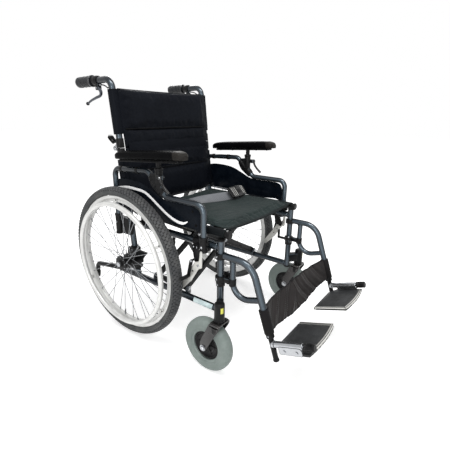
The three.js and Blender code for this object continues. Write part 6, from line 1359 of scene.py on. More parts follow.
def armrest(side, suffix):
    f = Form()
    paint, plastic, metal = range(3)
    x = side * ARM_X
    corners = [(x, SOCKET_REAR_Y, 437), (x, SOCKET_REAR_Y, 668), (x, -116, 676),
               (x, -206, ARM_LOW_Z), (x, SOCKET_FRONT_Y, ARM_LOW_Z), (x, SOCKET_FRONT_Y, 437)]
    f.tube(bent(corners, 30, math.radians(5)), ARM_TUBE_R, 28, paint, chamfer=1)
    f.collar((x, ARM_POST_Y, 620), (x, ARM_POST_Y, 694), 14, plastic, 2, bore=9.7)
    f.collar((x, ARM_POST_Y, 684), (x, ARM_POST_Y, 694), 15.4, plastic, 2, bore=9.7)
    web = rounded([(ARM_POST_Y, 636), (-130, 648), (-130, 672), (ARM_POST_Y, 678)], 8)
    f.plate("x", web, x - 10, x + 10, 2.4, plastic, rounds=3)
    slope = Vector((0, -90, -82)).normalized()
    high, foot = Vector((x, -132, 661.4)), Vector((x, -194, 604.9))
    f.tube([high, foot], 13.2, 28, plastic, chamfer=1.6)
    for share in (0.16, 0.5, 0.84):
        here = high.lerp(foot, share)
        f.collar(here - slope * 5, here + slope * 5, 15, plastic, 1.4)
    knuckle = rounded([(-150, 668), (-122, 652), (-140, 622), (-186, 590), (-206, 606),
                       (-182, 636)], 7)
    f.plate("x", knuckle, x - 7, x + 7, 2, plastic, rounds=3)
    f.tube([(x, *ARM_LEVER_PIVOT), (side * 301.7, *ARM_LEVER_PIVOT)], 3, 16, metal, chamfer=0.4)
    f.block(x - 5, side * 295.4, -204, -174, 656, 672, 2.4, plastic, rounds=3)
    f.bolt((side * 301.2, *ARM_LEVER_PIVOT), (side, 0, 0), 4.6, 2.6, metal)
    for y, z in ((-60, 673.6), (30, 669.9)):
        f.collar((x, y - 7, z), (x, y + 7, z - 0.5), 12.4, plastic, 1)
    f.piece(f"armrest_tube_{suffix}", f"armrest_{suffix}", looks("frame", "plastic", "chrome"),
            [f"armrest_frame_{suffix}"])
    panel_piece(side, suffix)
    f = Form()
    f.tube([(x, ARM_POST_Y, 640), (x, ARM_POST_Y, PAD_BASE_Z - 4)], 9, 24, 0, chamfer=0.8)
    for k in range(4):
        z = 697 + 6 * k
        f.tube([(x, ARM_POST_Y - 8.8, z), (x, ARM_POST_Y - 9.2, z)], 2, 12, 1)
    low_x, high_x = side * PAD_X - 15, side * PAD_X + 15
    carrier = rounded([(low_x, -116), (high_x, -116), (high_x, 188), (low_x, 188)], 8)
    f.plate("z", carrier, -8, -0.3, 1.4, 1, PAD_FRAME)
    for y in (-96, -40, 96, 168):
        f.bolt(PAD_FRAME @ Vector((side * PAD_X, y, -8)), PAD_FRAME.to_3x3() @ Vector((0, 0, -1)),
               4, 2, 0)
    f.piece(f"pad_post_{suffix}", f"armpad_{suffix}", looks("plastic", "matt"),
            [f"armrest_post_{suffix}"])
    arm_pad(side, suffix)
    f = Form()
    run = (ARM_LEVER_PIVOT, (-202, 646), (-216, 630), (-236, 614))
    lever = smooth_run([(side * 298.2, *here) for here in run], 6)
    count = len(lever)
    radii = [5.6 - 1.0 * min(1, i / 6) + 1.2 * max(0, i / count - 0.55) for i in range(count)]
    f.tube(lever, radii, 16, 0)
    f.turned([(0, 0), (0, 7), (1, 8), (4, 8), (5, 7), (5, 0)], (side * 295.7, *ARM_LEVER_PIVOT),
             (side, 0, 0), 28, 0, False)
    return f.piece(f"armrest_catch_{suffix}", f"armrest_lever_{suffix}", looks("gloss"),
                   [f"armrest_lever_{suffix}"])


def panel_piece(side, suffix):
    """The moulded side panel: a rolled edge, a blank pale stripe and dished fastener heads."""
    front, rear, under = SOCKET_FRONT_Y + 11.5, SOCKET_REAR_Y - 11.5, ARM_LOW_Z - 11.5
    shares = [(1, 0.85), (0.9, 1), (0.757, 0.98), (0.64, 0.85), (0.523, 0.46), (0.4, 0), (0.07, 0),
              (0.02, -0.09), (0, -0.33), (0, -1), (0.06, -0.82), (0.24, -0.91), (1, -0.8)]
    outline = [(front + a * (rear - front), under + u * (52 if u > 0 else 90)) for a, u in shares]
    eased = rounded(outline, [6, 30, 30, 30, 40, 40, 12, 10, 10, 8, 18, 30, 10], 6)
    f = Form()
    x = side * ARM_X
    f.plate("x", eased, x - 2, x + 2, 1.4, 0, rounds=3)
    ribbon = smooth_run([(62, 596), (15, 602), (-41, 602), (-102, 594), (-174, 553), (-214, 531),
                         (-255, 517), (-286, 516), (-307, 526)], 8)
    count = len(ribbon)
    upper, lower = [], []
    for i, here in enumerate(ribbon):
        ahead = ribbon[min(i + 1, count - 1)] - ribbon[max(i - 1, 0)]
        normal = Vector((-ahead.y, ahead.x)).normalized()
        half = 5.4 * min(1, 0.35 + 4 * min(i, count - 1 - i) / count)
        upper.append(tuple(here + normal * half))
        lower.append(tuple(here - normal * half))
    f.plate("x", upper + lower[::-1], side * (ARM_X + 1.8), side * (ARM_X + 2.5), 0.25, 1)
    for y, z in ((52, 560), (52, 520), (-330, 566), (-344, 520)):
        for way in (-1, 1):
            f.bolt((side * ARM_X + way * 2, y, z), (way, 0, 0), 4.6, 2.2, 2)
    return f.piece(f"skirt_guard_{suffix}", f"armrest_{suffix}", looks("panel", "stripe", "matt"),
                   [f"side_panel_{suffix}"])


def arm_pad(side, suffix):
    """A foam pad with a skinned top, a seam round its flank and a moulded front cap."""
    f = Form()
    rows, sides = 64, 28
    rear, front = 208, -136
    points = []
    for i in range(rows + 1):
        along = -1 + 2 * i / rows
        y = front + (rear - front) * i / rows
        edge = (1 - abs(along) ** 7) ** 0.5
        half = PAD_HALF_WIDTH * (0.52 + 0.48 * edge)
        height = PAD_HEIGHT * (0.42 + 0.58 * edge) + (1.6 if y < front + PAD_CAP + 1 else 0)
        for k in range(sides):
            turn = 2 * math.pi * (k + 0.5) / sides
            across = math.copysign(abs(math.cos(turn)) ** 0.55, math.cos(turn))
            up = math.copysign(abs(math.sin(turn)) ** 0.6, math.sin(turn))
            z = height * (0.5 + 0.5 * up)
            seam = 0.9 * math.exp(-((z - height * 0.32) / 1.4) ** 2)
            dip = 0.8 * math.exp(-((y - (front + PAD_CAP)) / 1.2) ** 2)
            bulge = 1 + 0.02 * noise.noise(Vector((y * 0.02, across * 2, side)))
            points.append((side * PAD_X + across * (half * bulge - seam - dip), y,
                           max(z - dip * (up > 0), 0.4)))
    skin, cap = range(2)
    f.add(points, ring_faces(rows + 1, sides), cap, place=PAD_FRAME)
    for index, face in enumerate(list(f.mesh.faces)[2:]):
        y = front + (rear - front) * (index // sides + 0.5) / rows
        if y >= front + PAD_CAP:
            face.material_index = skin
    pad = f.piece(f"arm_cushion_{suffix}", f"armpad_{suffix}", looks("pad", "cap"),
                  [f"armpad_{suffix}"])
    return pad


# Fabrics.

SEAT_WRAP = 13.2
SEAT_SPAN = RAIL_X - SEAT_WRAP * math.sin(math.atan(24 / RAIL_X))
SEAT_FRONT_Y = -437
SEAT_REAR_Y = 9
SEAT_PAD_HALF = 224
SEAT_PAD_DEPTH = 439
SEAT_HEM_X = 205
SEAT_HEM_Y = -408
STRAP_LOW = 36
STRAP_TOP = 120
STRAP_REACH = 239.5
STRAP_BOW = 26
STRAP_LOOP_R = 13.0
BELT_WIDTH = 38
BELT_LEAN_X = 60
BELT_LEAN_REACH = 150
BUCKLE_X = 122
BUCKLE_Y = -242
BUCKLE_LEAN = math.radians(48)


def seat_under(x):
    return RAIL_Z + 13.13 - 12 * (1 - (x / SEAT_SPAN) ** 2)


def seat_top(x):
    return seat_under(x) + 5 + 15 * (1 - min(abs(x) / SEAT_SPAN, 1) ** 4)


def shell(columns, rows, place):
    """A closed pad of two sheets, the front one first: place(u, v, front) gives each point."""
    points = [place(i / columns, j / rows, front) for front in (True, False)
              for i in range(columns + 1) for j in range(rows + 1)]
    line = rows + 1
    sheet = (columns + 1) * line
    faces = []
    for i in range(columns):
        for j in range(rows):
            a = i * line + j
            faces.append((a, a + line, a + line + 1, a + 1))
            faces.append((sheet + a, sheet + a + 1, sheet + a + line + 1, sheet + a + line))
    for i in range(columns):
        a = i * line
        faces.append((a, a + sheet, a + line + sheet, a + line))
        faces.append((a + rows, a + line + rows, a + line + rows + sheet, a + rows + sheet))
    far = columns * line
    for j in range(rows):
        faces.append((j, j + 1, j + 1 + sheet, j + sheet))
        faces.append((far + j, far + j + sheet, far + j + 1 + sheet, far + j + 1))
    return points, faces


def pins(columns, rows, weight):
    """How firmly each point of a shell is held, from weight(front, steps from the edge, row)."""
    return [weight(front, min(i, columns - i, j, rows - j), j) for front in (True, False)
            for i in range(columns + 1) for j in range(rows + 1)]


def soft_body(name, points, faces, pinned, pressure, cap, growth, frames=18):
    """A sewn shell filled by cloth simulation: pinned gives how firmly each point is held.

    The cloth is cut a little larger than its place, so that it buckles between its seams.
    """
    data = bpy.data.meshes.new(name)
    data.from_pydata([TO_METRES @ Vector(p) for p in points], [], faces)
    data.update()
    thing = bpy.data.objects.new(f"{name}_pattern", data)
    bpy.context.scene.collection.objects.link(thing)
    group = thing.vertex_groups.new(name="held")
    for index, weight in enumerate(pinned):
        if weight > 0:
            group.add([index], weight, "REPLACE")
    cloth = thing.modifiers.new("air", "CLOTH")
    settings = cloth.settings
    settings.quality = 6
    settings.mass = 0.25
    settings.tension_stiffness = settings.compression_stiffness = 12
    settings.shear_stiffness = 4
    settings.bending_stiffness = 0.25
    settings.vertex_group_mass = "held"
    settings.pin_stiffness = 5
    settings.use_pressure = True
    settings.uniform_pressure_force = pressure
    settings.shrink_min = -growth
    settings.effector_weights.gravity = 0
    cloth.collision_settings.use_collision = False
    cloth.point_cache.frame_start = 1
    cloth.point_cache.frame_end = frames
    scene = bpy.context.scene
    for number in range(1, frames + 1):
        scene.frame_set(number)
    settled = thing.evaluated_get(bpy.context.evaluated_depsgraph_get()).data
    starts = [v.co.copy() for v in data.vertices]
    ends = [v.co.copy() for v in settled.vertices]
    bpy.data.objects.remove(thing)
    scene.frame_set(1)
    for vertex, start, end in zip(data.vertices, starts, ends):
        move = end - start
        if move.length > cap:
            move *= cap / move.length
        vertex.co = start + move
    return data


def eased_mesh(data, rounds=1):
    """Relaxes and subdivides a simulated mesh."""
    mesh = bmesh.new()
    mesh.from_mesh(data)
    bmesh.ops.subdivide_edges(mesh, edges=mesh.edges[:], cuts=rounds, use_grid_fill=True,
                              smooth=0.0)
    for _ in range(2):
        bmesh.ops.smooth_vert(mesh, verts=mesh.verts[:], factor=0.5, use_axis_x=True,
                              use_axis_y=True, use_axis_z=True)
    for face in mesh.faces:
        face.smooth = True
    mesh.to_mesh(data)
    mesh.free()
    return data


def stitches(form, places, lift, finish, length=4.2, gap=2.6, radius=0.45):
    """A row of raised thread stitches along places; lift points away from the cloth."""
    walked = 0.0
    due = 0.0
    for start, end in zip(places, places[1:]):
        run = (end - start).length
        along = (end - start).normalized()
        while due < walked + run:
            here = start + along * (due - walked)
            tip = here + along * length
            middle = (here + tip) / 2 + lift * radius
            form.tube([here - lift * radius * 0.4, middle, tip - lift * radius * 0.4], radius, 6,
                      finish)
            due += length + gap
        walked += run


def crease_noise(x, y, seed, scale_x, scale_y):
    return noise.fractal(Vector((x * scale_x, y * scale_y, seed)), 0.8, 2.0, 4)


def seat_pad(depth):
    columns, rows = 78, 74

    def place(u, v, front):
        across = 2 * u - 1
        along = 2 * v - 1
        x = SEAT_PAD_HALF * across
        y = SEAT_FRONT_Y + 3 + SEAT_PAD_DEPTH * v
        rim = (1 - abs(across) ** 14) * (1 - abs(along) ** 12)
        draw = 5 * (1 - along ** 2) * abs(across) ** 6
        z = seat_under(x) + 1.2
        if front:
            z += 3 + 14.5 * (1 - (x / SEAT_SPAN) ** 4) * rim ** 0.5
        return (x - math.copysign(draw, across), y + 3 * (1 - across ** 2) * max(0, -along) ** 8, z)

    points, faces = shell(columns, rows, place)

    def weight(front, edge, row):
        return 1.0 if edge < 1 else 0.0 if front else 0.35

    pinned = pins(columns, rows, weight)
    data = soft_body("seat_cushion", points, faces, pinned, 3.2, 0.006, 0.035)
    eased_mesh(data)
    for vertex in data.vertices:
        x, y, z = vertex.co.x * 1000, (vertex.co.y - AXLE_Y) * 1000, vertex.co.z * 1000
        if z > seat_under(x) + 5:
            pull = crease_noise(x, y, 3.1, 0.011, 0.03) * 1.5 * (0.3 + abs(x) / SEAT_PAD_HALF)
            front_hem = -2.2 * math.exp(-((y - SEAT_HEM_Y) / 2.2) ** 2)
            side_hem = 1.8 * math.exp(-((abs(x) - SEAT_HEM_X) / 2.4) ** 2)
            vertex.co.z += (pull * depth + (front_hem - side_hem)) / 1000
    pad = finish_piece(data, "seat_cushion", "seat", looks("seat"), ["seat_sling"])
    f = Form()
    hem, thread = range(1, 3)
    for side in (RIGHT, LEFT):
        profile = wrapped(side, RAIL_X, RAIL_Z, ((SEAT_WRAP + 2.6, range(118, -27, -8)),
                                                 (SEAT_WRAP, range(-26, 119, 8))))
        f.plate("y", profile, SEAT_FRONT_Y, SEAT_REAR_Y, 0.7, hem)
        for x, lift in ((226, 3.2), (212, -0.2)):
            places = [Vector((side * x, y, seat_top(x) + lift)) for y in range(-425, 0, 25)]
            stitches(f, places, Z_AXIS, thread)
    rows_x = range(-232, 233, 8)
    for y, inward in ((SEAT_FRONT_Y, 1), (SEAT_REAR_Y, -1)):
        low_line = [(x, seat_under(x) - 1.2) for x in rows_x]
        high_line = [(x, seat_under(x) + 6.5) for x in rows_x]
        f.plate("y", low_line + high_line[::-1], y, y + inward * 9, 1.2, hem)
    border = f.piece("seat_border", "seat", looks("seat", "hem", "thread"))
    for thing in (pad, border):
        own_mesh(thing)


def back_sag(share):
    """How far the back stands rearwards of its sides, at a share of its half width."""
    return BACK_SAG * (1 - share ** 2)


def back_swell(share):
    """How far the filling of the back stands out in front."""
    return BACK_FILL + BACK_CROWN * (1 - share ** 2)


def back_panel(name, body, low, top, seam, sleeve_low, sleeve_top, depth):
    upper = name == "back_upper"
    columns, rows = 80, max(30, round((top - low) / 5.6))
    hang = 0 if upper else BACK_HANG

    def place(u, v, front):
        across = 2 * u - 1
        along = low + (top - low) * v
        sag = back_sag(across)
        x = BACK_HALF * across
        if upper:
            corner = max(0, abs(across) - 0.9) / 0.1
            along -= 9 * corner ** 2 * max(0, (along - top + 30) / 30)
        along -= hang * (1 - across ** 8) * max(0, 1 - (along - low) / 60)
        if not front:
            return (x, BACK_FACE + sag, along)
        edge = 1 - abs(2 * v - 1) ** 24
        groove = math.exp(-((along - seam) / 2.6) ** 2)
        swell = back_swell(across) * edge * (1 - 0.5 * groove)
        return (x, BACK_FACE + sag - 4 - swell * (1 - across ** 12), along)

    points, faces = shell(columns, rows, place)

    def weight(front, edge, row):
        along = low + (top - low) * row / rows
        held = 1.0 if edge < 1 or abs(along - seam) < 3.2 else 0.6 if edge < 3 else 0.0
        return held if front else max(held, 0.5)

    pinned = pins(columns, rows, weight)
    points = [tuple(CANE_FRAME @ Vector(p)) for p in points]
    data = soft_body(name, points, faces, pinned, 1.6, 0.004, 0.012)
    eased_mesh(data)
    outward = CANE_FRAME.to_3x3() @ Vector((0, -1, 0))
    inverse = (TO_METRES @ CANE_FRAME).inverted()
    for vertex in data.vertices:
        local = inverse @ vertex.co
        if local.y < BACK_FACE + back_sag(local.x / BACK_HALF) - 3:
            near_seam = 0.3 * math.exp(-abs(local.z - seam) / 14)
            by_sleeve = math.exp(-abs(abs(local.x) - 214) / 16)
            pucker = noise.noise(Vector((local.x * 0.075, local.z * 0.006, low)))
            drape = crease_noise(local.x, local.z, low + 7, 0.022, 0.009)
            folds = noise.noise(Vector((local.x * 0.13, local.z * 0.004, low + 2))) * by_sleeve
            vertex.co += outward * (pucker * near_seam + folds * 2.2 + drape * 0.7) * depth / 1000
    pad = finish_piece(data, f"{name}_pad", body, looks("back"), [name])
    cloth, hem, thread, matt = range(4)
    for side, suffix in SIDES:
        f = Form()
        outer, inner = 17.4, 13.6
        runs = ((outer, range(-104, -23, 10)), (outer + 1.2, range(-14, 57, 10)),
                (outer, range(66, 117, 10)), (inner, range(116, -105, -10)))
        profile = wrapped(side, FRAME_X, 0, runs)
        joined = [(side * 240, -20), *profile, (side * 240, -15)]
        steps = max(4, round((sleeve_top - sleeve_low) / 12))
        points = []
        for k in range(steps + 1):
            along = sleeve_low + (sleeve_top - sleeve_low) * k / steps
            for u, v in joined:
                ripple = 0.7 * noise.noise(Vector((u * 0.06, v * 0.06, along * 0.05)))
                points.append((u + side * ripple, v - ripple, along))
        f.add(points, ring_faces(steps + 1, len(joined)), cloth, place=CANE_FRAME)
        places = [CANE_FRAME @ Vector((side * 236, -20.8, z)) for z in
                  range(round(sleeve_low) + 4, round(sleeve_top) - 4, 20)]
        stitches(f, places, outward, thread)
        own = f"back_{suffix}" if upper else f"{suffix}_frame"
        f.piece(f"{name}_sleeve_{suffix}", own, looks("back", "hem", "thread"))
    f = Form()
    places = [CANE_FRAME @ Vector((x, -17.2 - 3 * (1 - (x / BACK_HALF) ** 2), seam + 4))
              for x in range(-232, 233, 29)]
    stitches(f, places, outward, thread)
    edge = top if upper else low
    places = [CANE_FRAME @ Vector((x, -11 + 11 * (1 - (x / BACK_HALF) ** 2),
                                   edge - hang * (1 - (x / BACK_HALF) ** 8)))
              for x in range(-240, 241, 12)]
    f.tube(places, 3.6, 12, hem)

    def skin(x, out, along):
        """A place over the front of the filled panel."""
        share = x / BACK_HALF
        swell = back_swell(share) * (1 - share ** 12)
        return CANE_FRAME @ Vector((x, BACK_FACE + back_sag(share) - 4 - swell - out, along))

    # The cord along the seam is piping in the near-black matt finish, darker than the cloth: partly
    # piping, partly painted shade of the seam groove.
    rope = 2.8 if upper else 1.8
    f.tube([skin(x, 0.4 - rope * 0.3, seam) for x in range(-236, 237, 14)], rope, 10, matt)
    if upper:
        section = ((0.2, low + 28), (1.5, low + 20), (2.2, low - 1), (1.5, low - 22),
                   (0.2, low - 30), (-2.6, low - 30), (-1, low - 1), (-2.6, low + 28))
        flap = [[skin(x, out, along) for x in range(-232, 233, 16)] for out, along in section]
        f.add(*strip(flap), cloth)
    else:
        lap = [[(x, BACK_FACE + back_sag(x / BACK_HALF) + out, along) for x in range(-243, 244, 27)]
               for out, along in ((0.3, top - 12), (0.3, top + 8), (1.9, top + 8), (1.9, top - 12))]
        f.add(*strip(lap), hem, place=CANE_FRAME)
    seams = f.piece(f"{name}_seams", body, looks("back", "hem", "thread", "matt"))
    for thing in (pad, seams):
        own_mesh(thing)


def calf_strap(side, suffix, depth):
    """Half of the calf strap: bound edges, slack folds and a loop round the leg tube."""
    f = Form()
    cloth, binding, thread = range(3)
    columns, rows = 60, 18
    low, top = STRAP_LOW, STRAP_TOP

    def place(u, v, front):
        share = 0.004 + 0.996 * u
        x, bow = side * STRAP_REACH * share, STRAP_BOW * (1 - share ** 4)
        z = low + (top - low) * v
        slant = u * STRAP_REACH + (z - low) * 0.9
        drift = 0.9 * noise.noise(Vector((slant * 0.02, z * 0.02, side)))
        fold = math.sin(slant * 0.085 + drift) ** 5 * 1.5
        fold += 0.8 * noise.noise(Vector((slant * 0.06, z * 0.012, 4 + side)))
        z -= 24 * (1 - u ** 2) ** 1.5 * (1 - v) ** 1.2
        edge = 1 - abs(2 * v - 1) ** 6
        wave = 3.4 * depth * fold * (0.45 + 0.55 * edge) * (1 - u ** 6)
        z += 2.2 * noise.noise(Vector((u * 5, side, v * 0.5))) * (1 - u ** 4)
        thick = 2.2 + 0.8 * edge
        return (x, bow + wave + (-thick if front else thick) * 0.8, z)

    points, faces = shell(columns, rows, place)
    f.add(points, faces, cloth, place=LEG_FRAME)
    for v in (0, 1):
        line = [(Vector(place(k / columns, v, True)) + Vector(place(k / columns, v, False))) / 2
                for k in range(columns + 1)]
        f.tube(line, 3.1, 10, binding, LEG_FRAME)
    for x in (228, 221):
        bow = STRAP_BOW * (1 - (x / STRAP_REACH) ** 4)
        places = [LEG_FRAME @ Vector((side * x, bow - 3.2, z)) for z in range(low + 6, top - 4, 12)]
        stitches(f, places, LEG_FORWARD, thread)
    thing = f.piece(f"calf_band_{suffix}", f"hanger_{suffix}", looks("strap", "binding", "thread"),
                    ["calf_strap"])
    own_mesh(thing)
    f = Form()
    wrap = wrapped(side, FRAME_X, 0, ((STRAP_LOOP_R + 3.4, range(-172, 185, 10)),
                                      (STRAP_LOOP_R, range(184, -173, -10))))
    f.plate("z", wrap, low + 1, top - 1, 0.9, 0, LEG_FRAME)
    return f.piece(f"calf_wrap_{suffix}", f"hanger_{suffix}", looks("binding"))


def lap_belt():
    shares = [(-0.93, 0.93), (-0.8, 0.84), (-0.6, 0.75), (-0.4, 0.68), (-0.2, 0.62), (0, 0.57),
              (0.2, 0.53), (0.4, 0.5), (0.62, 0.5), (0.78, 0.6), (0.9, 0.76), (0.94, 0.94)]
    depth = SEAT_REAR_Y - SEAT_FRONT_Y
    route = smooth_run([(a * RAIL_X, SEAT_FRONT_Y + b * depth, 0) for a, b in shares], 7)
    f = Form()
    columns = len(route) - 1
    rows = 10
    points = []
    for front in (True, False):
        for i, here in enumerate(route):
            ahead = (route[min(i + 1, columns)] - route[max(i - 1, 0)]).normalized()
            across = Vector((ahead.y, -ahead.x, 0))
            for j in range(rows + 1):
                v = j / rows
                lean = BUCKLE_LEAN * math.exp(-((here.x - BELT_LEAN_X) / BELT_LEAN_REACH) ** 4)
                spot = here + across * (BELT_WIDTH / 2 - (1 - v) * BELT_WIDTH * math.cos(lean))
                ripple = 1.1 * noise.noise(Vector((i * 0.14, v * 0.9, 2))) * abs(math.sin(i * 0.11))
                low = seat_top(spot.x) + 5.2 + (1 - v) * BELT_WIDTH * math.sin(lean) + ripple
                crown = 1 - abs(2 * v - 1) ** 2.5
                points.append((spot.x, spot.y, low + (1.6 + 3.4 * crown if front else 0)))
    _, faces = shell(columns, rows, lambda u, v, front: (0, 0, 0))
    f.add(points, faces, 0)
    belt = f.piece("lap_webbing", "seat", looks("webbing"), ["lap_belt"])
    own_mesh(belt)
    f = Form()
    place = leaned((0, BUCKLE_Y, seat_top(BUCKLE_X) + 8.4), BUCKLE_LEAN)
    body, bar, dark = range(3)
    shell_shape = rounded([(74, 0), (150, 0), (170, 9), (170, 43), (150, 52), (74, 52)], 6)
    f.plate("z", shell_shape, 0, 12.5, 3.2, body, place, 3)
    f.plate("z", rounded([(114, 16), (136, 16), (136, 36), (114, 36)], 3), 11.8, 14, 1.4, dark,
            place, 3)
    for x in (80, 91, 102, 146, 156):
        f.plate("z", rounded([(x, 5), (x + 3.6, 5), (x + 3.6, 47), (x, 47)], 1.2), 12, 13.6, 0.5,
                bar, place)
    f.block(66, 76, 4, 48, 3, 9, 2, body, place)
    return f.piece("buckle", "seat", looks("gloss", "cast", "plastic"), ["belt_buckle"])


# Settings, operators and panel.


def colour_setting(name, description, red, green, blue):
    return FloatVectorProperty(name=name, description=description, subtype="COLOR", size=3,
                               min=0, max=1, default=tint(red, green, blue)[:3])


class ChairColours(bpy.types.PropertyGroup):
    """Colours of the chair's main finishes."""

    frame_colour: colour_setting("Frame", "Lacquer of the frame tubes", 12, 19, 26)
    rim_colour: colour_setting("Rims", "Anodised rims and hand rims", 214, 214, 212)
    tyre_colour: colour_setting("Tyres", "Tread of the rear tyres", 58, 59, 61)
    caster_colour: colour_setting("Casters", "Rubber of the caster wheels", 112, 122, 118)
    seat_colour: colour_setting("Seat", "Nylon of the seat", 26, 33, 33)
    back_colour: colour_setting("Back", "Nylon of the backrest", 8, 10, 15)


class ChairDetail(bpy.types.PropertyGroup):
    """Sizes and counts of the fine detail."""

    tread_lugs: IntProperty(
        name="Tread Lugs", description="Lugs in one row round a rear tyre",
        default=118, min=40, max=160)
    grip_ribs: IntProperty(
        name="Grip Ribs", description="Ribs along a push grip", default=11, min=4, max=16)
    wrinkle: FloatProperty(
        name="Wrinkles", description="How deep the folds in the cloth are", subtype="FACTOR",
        default=1.0, min=0, max=2)


class ChairStage(bpy.types.PropertyGroup):
    """Floor, lamps and camera."""

    floor_size: FloatProperty(
        name="Floor", description="Side of the square floor", unit="LENGTH", default=30.0, min=2)
    key_power: FloatProperty(
        name="Key Lamp", description="Power of the large lamp above", unit="POWER",
        default=62.0, min=0)
    side_power: FloatProperty(
        name="Side Lamp", description="Power of the lamp beside the camera", unit="POWER",
        default=26.0, min=0)
    ambient: FloatProperty(
        name="Room Light", description="Strength of the even light from all round",
        default=0.62, min=0)
    camera_lens: FloatProperty(
        name="Lens", description="Focal length of the camera", unit="CAMERA", default=27.56, min=8)


class ChairOperator:
    """Shared settings of the building steps."""

    bl_options = {"REGISTER", "UNDO"}

    def build_sides(self, *makers):
        for side, suffix in SIDES:
            for maker in makers:
                maker(side, suffix)
        return {"FINISHED"}


class CHAIR_OT_frame(ChairOperator, bpy.types.Operator):
    """Build the side frames, axle mounts, tipping bars and cross-brace"""

    bl_idname = "chair.frame"
    bl_label = "Frame"

    def execute(self, context):
        brace("brace_a", RIGHT, -1)
        brace("brace_b", LEFT, 1)
        return self.build_sides(side_frame, axle_plate, tip_tube)


class CHAIR_OT_rear_wheels(ChairOperator, bpy.types.Operator):
    """Build the rear tyres, spoked wheels and hand rims"""

    bl_idname = "chair.rear_wheels"
    bl_label = "Rear Wheels"

    def execute(self, context):
        for side, suffix in SIDES:
            rear_tyre(side, suffix, context.scene.chair_detail.tread_lugs)
        return self.build_sides(rear_wheel, push_rim)


class CHAIR_OT_casters(ChairOperator, bpy.types.Operator):
    """Build the caster wheels and their forks"""

    bl_idname = "chair.casters"
    bl_label = "Casters"

    def execute(self, context):
        return self.build_sides(caster, caster_fork)


class CHAIR_OT_leg_supports(ChairOperator, bpy.types.Operator):
    """Build the swing-away hangers, leg slides and footplates"""

    bl_idname = "chair.leg_supports"
    bl_label = "Leg Supports"

    def execute(self, context):
        return self.build_sides(hanger, hanger_latch, leg_extension, footplate)


class CHAIR_OT_brakes(ChairOperator, bpy.types.Operator):
    """Build the parking brakes"""

    bl_idname = "chair.brakes"
    bl_label = "Parking Brakes"

    def execute(self, context):
        return self.build_sides(parking_brake)


class CHAIR_OT_push_handles(ChairOperator, bpy.types.Operator):
    """Build the back canes, push grips and the attendant's brake levers"""

    bl_idname = "chair.push_handles"
    bl_label = "Push Handles"

    def execute(self, context):
        for side, suffix in SIDES:
            push_grip(side, suffix, context.scene.chair_detail.grip_ribs)
        return self.build_sides(back_cane, attendant_lever, brake_cable, release_lever)


class CHAIR_OT_armrests(ChairOperator, bpy.types.Operator):
    """Build the armrests, their pads and the side panels"""

    bl_idname = "chair.armrests"
    bl_label = "Armrests"

    def execute(self, context):
        return self.build_sides(armrest)


class CHAIR_OT_upholstery(ChairOperator, bpy.types.Operator):
    """Build the seat, backrest, calf strap and lap belt"""

    bl_idname = "chair.upholstery"
    bl_label = "Upholstery"

    def execute(self, context):
        depth = context.scene.chair_detail.wrinkle
        seat_pad(depth)
        back_panel("back_lower", "right_frame", BACK_SEAT_GAP, HINGE_ALONG - 1, LOWER_SEAM,
                   BACK_SEAT_GAP, LOWER_SLEEVE_TOP, depth)
        back_panel("back_upper", "back_right", HINGE_ALONG + 1, BACK_TOP, UPPER_SEAM,
                   UPPER_SLEEVE_LOW, BACK_TOP, depth)
        for side, suffix in SIDES:
            calf_strap(side, suffix, depth)
        lap_belt()
        return {"FINISHED"}


class CHAIR_OT_stage(ChairOperator, bpy.types.Operator):
    """Build the pale floor, the lamps, the sky and the camera"""

    bl_idname = "chair.stage"
    bl_label = "Stage"

    def execute(self, context):
        stage = context.scene.chair_stage
        make_floor(stage)
        make_sky(context.scene, stage)
        make_lamps(stage)
        make_camera(context.scene, stage)
        return {"FINISHED"}


def pale_to_camera(tree, lit, plain):
    """Shows a plain shader to the camera and in reflections, and the lit one to everything else."""
    path = tree.nodes.new("ShaderNodeLightPath")
    seen = path.outputs["Is Camera Ray"]
    for ray in ("Is Glossy Ray", "Is Transmission Ray"):
        either = tree.nodes.new("ShaderNodeMath")
        either.operation = "MAXIMUM"
        tree.links.new(seen, either.inputs[0])
        tree.links.new(path.outputs[ray], either.inputs[1])
        seen = either.outputs[0]
    mix = tree.nodes.new("ShaderNodeMixShader")
    for index, source in enumerate((seen, lit, plain)):
        tree.links.new(source, mix.inputs[index])
    return mix.outputs[0]


def make_floor(stage):
    half = stage.floor_size / 2
    low = -0.0004
    data = bpy.data.meshes.new("floor")
    data.from_pydata([(-half, -half, low), (half, -half, low), (half, half, low), (-half, half,
                                                                                   low)], [],
                     [(0, 1, 2, 3)])
    floor = bpy.data.objects.new("floor", data)
    bpy.context.scene.collection.objects.link(floor)
    material = bpy.data.materials.new("white_floor")
    material.use_nodes = True
    tree = material.node_tree
    tree.nodes.clear()
    matt = tree.nodes.new("ShaderNodeBsdfDiffuse")
    matt.inputs["Color"].default_value = (0.86, 0.86, 0.86, 1)
    glow = tree.nodes.new("ShaderNodeEmission")
    glow.inputs["Strength"].default_value = 0.5
    both = tree.nodes.new("ShaderNodeAddShader")
    tree.links.new(matt.outputs[0], both.inputs[0])
    tree.links.new(glow.outputs[0], both.inputs[1])
    output = tree.nodes.new("ShaderNodeOutputMaterial")
    tree.links.new(pale_to_camera(tree, matt.outputs[0], both.outputs[0]), output.inputs["Surface"])
    data.materials.append(material)


def make_sky(scene, stage):
    world = bpy.data.worlds.new("white_room")
    scene.world = world
    world.use_nodes = True
    tree = world.node_tree
    tree.nodes.clear()
    room = tree.nodes.new("ShaderNodeBackground")
    room.inputs["Strength"].default_value = stage.ambient
    plain = tree.nodes.new("ShaderNodeBackground")
    output = tree.nodes.new("ShaderNodeOutputWorld")
    for shade in (room, plain):
        shade.inputs["Color"].default_value = (1, 1, 1, 1)
    tree.links.new(pale_to_camera(tree, room.outputs[0], plain.outputs[0]),
                   output.inputs["Surface"])


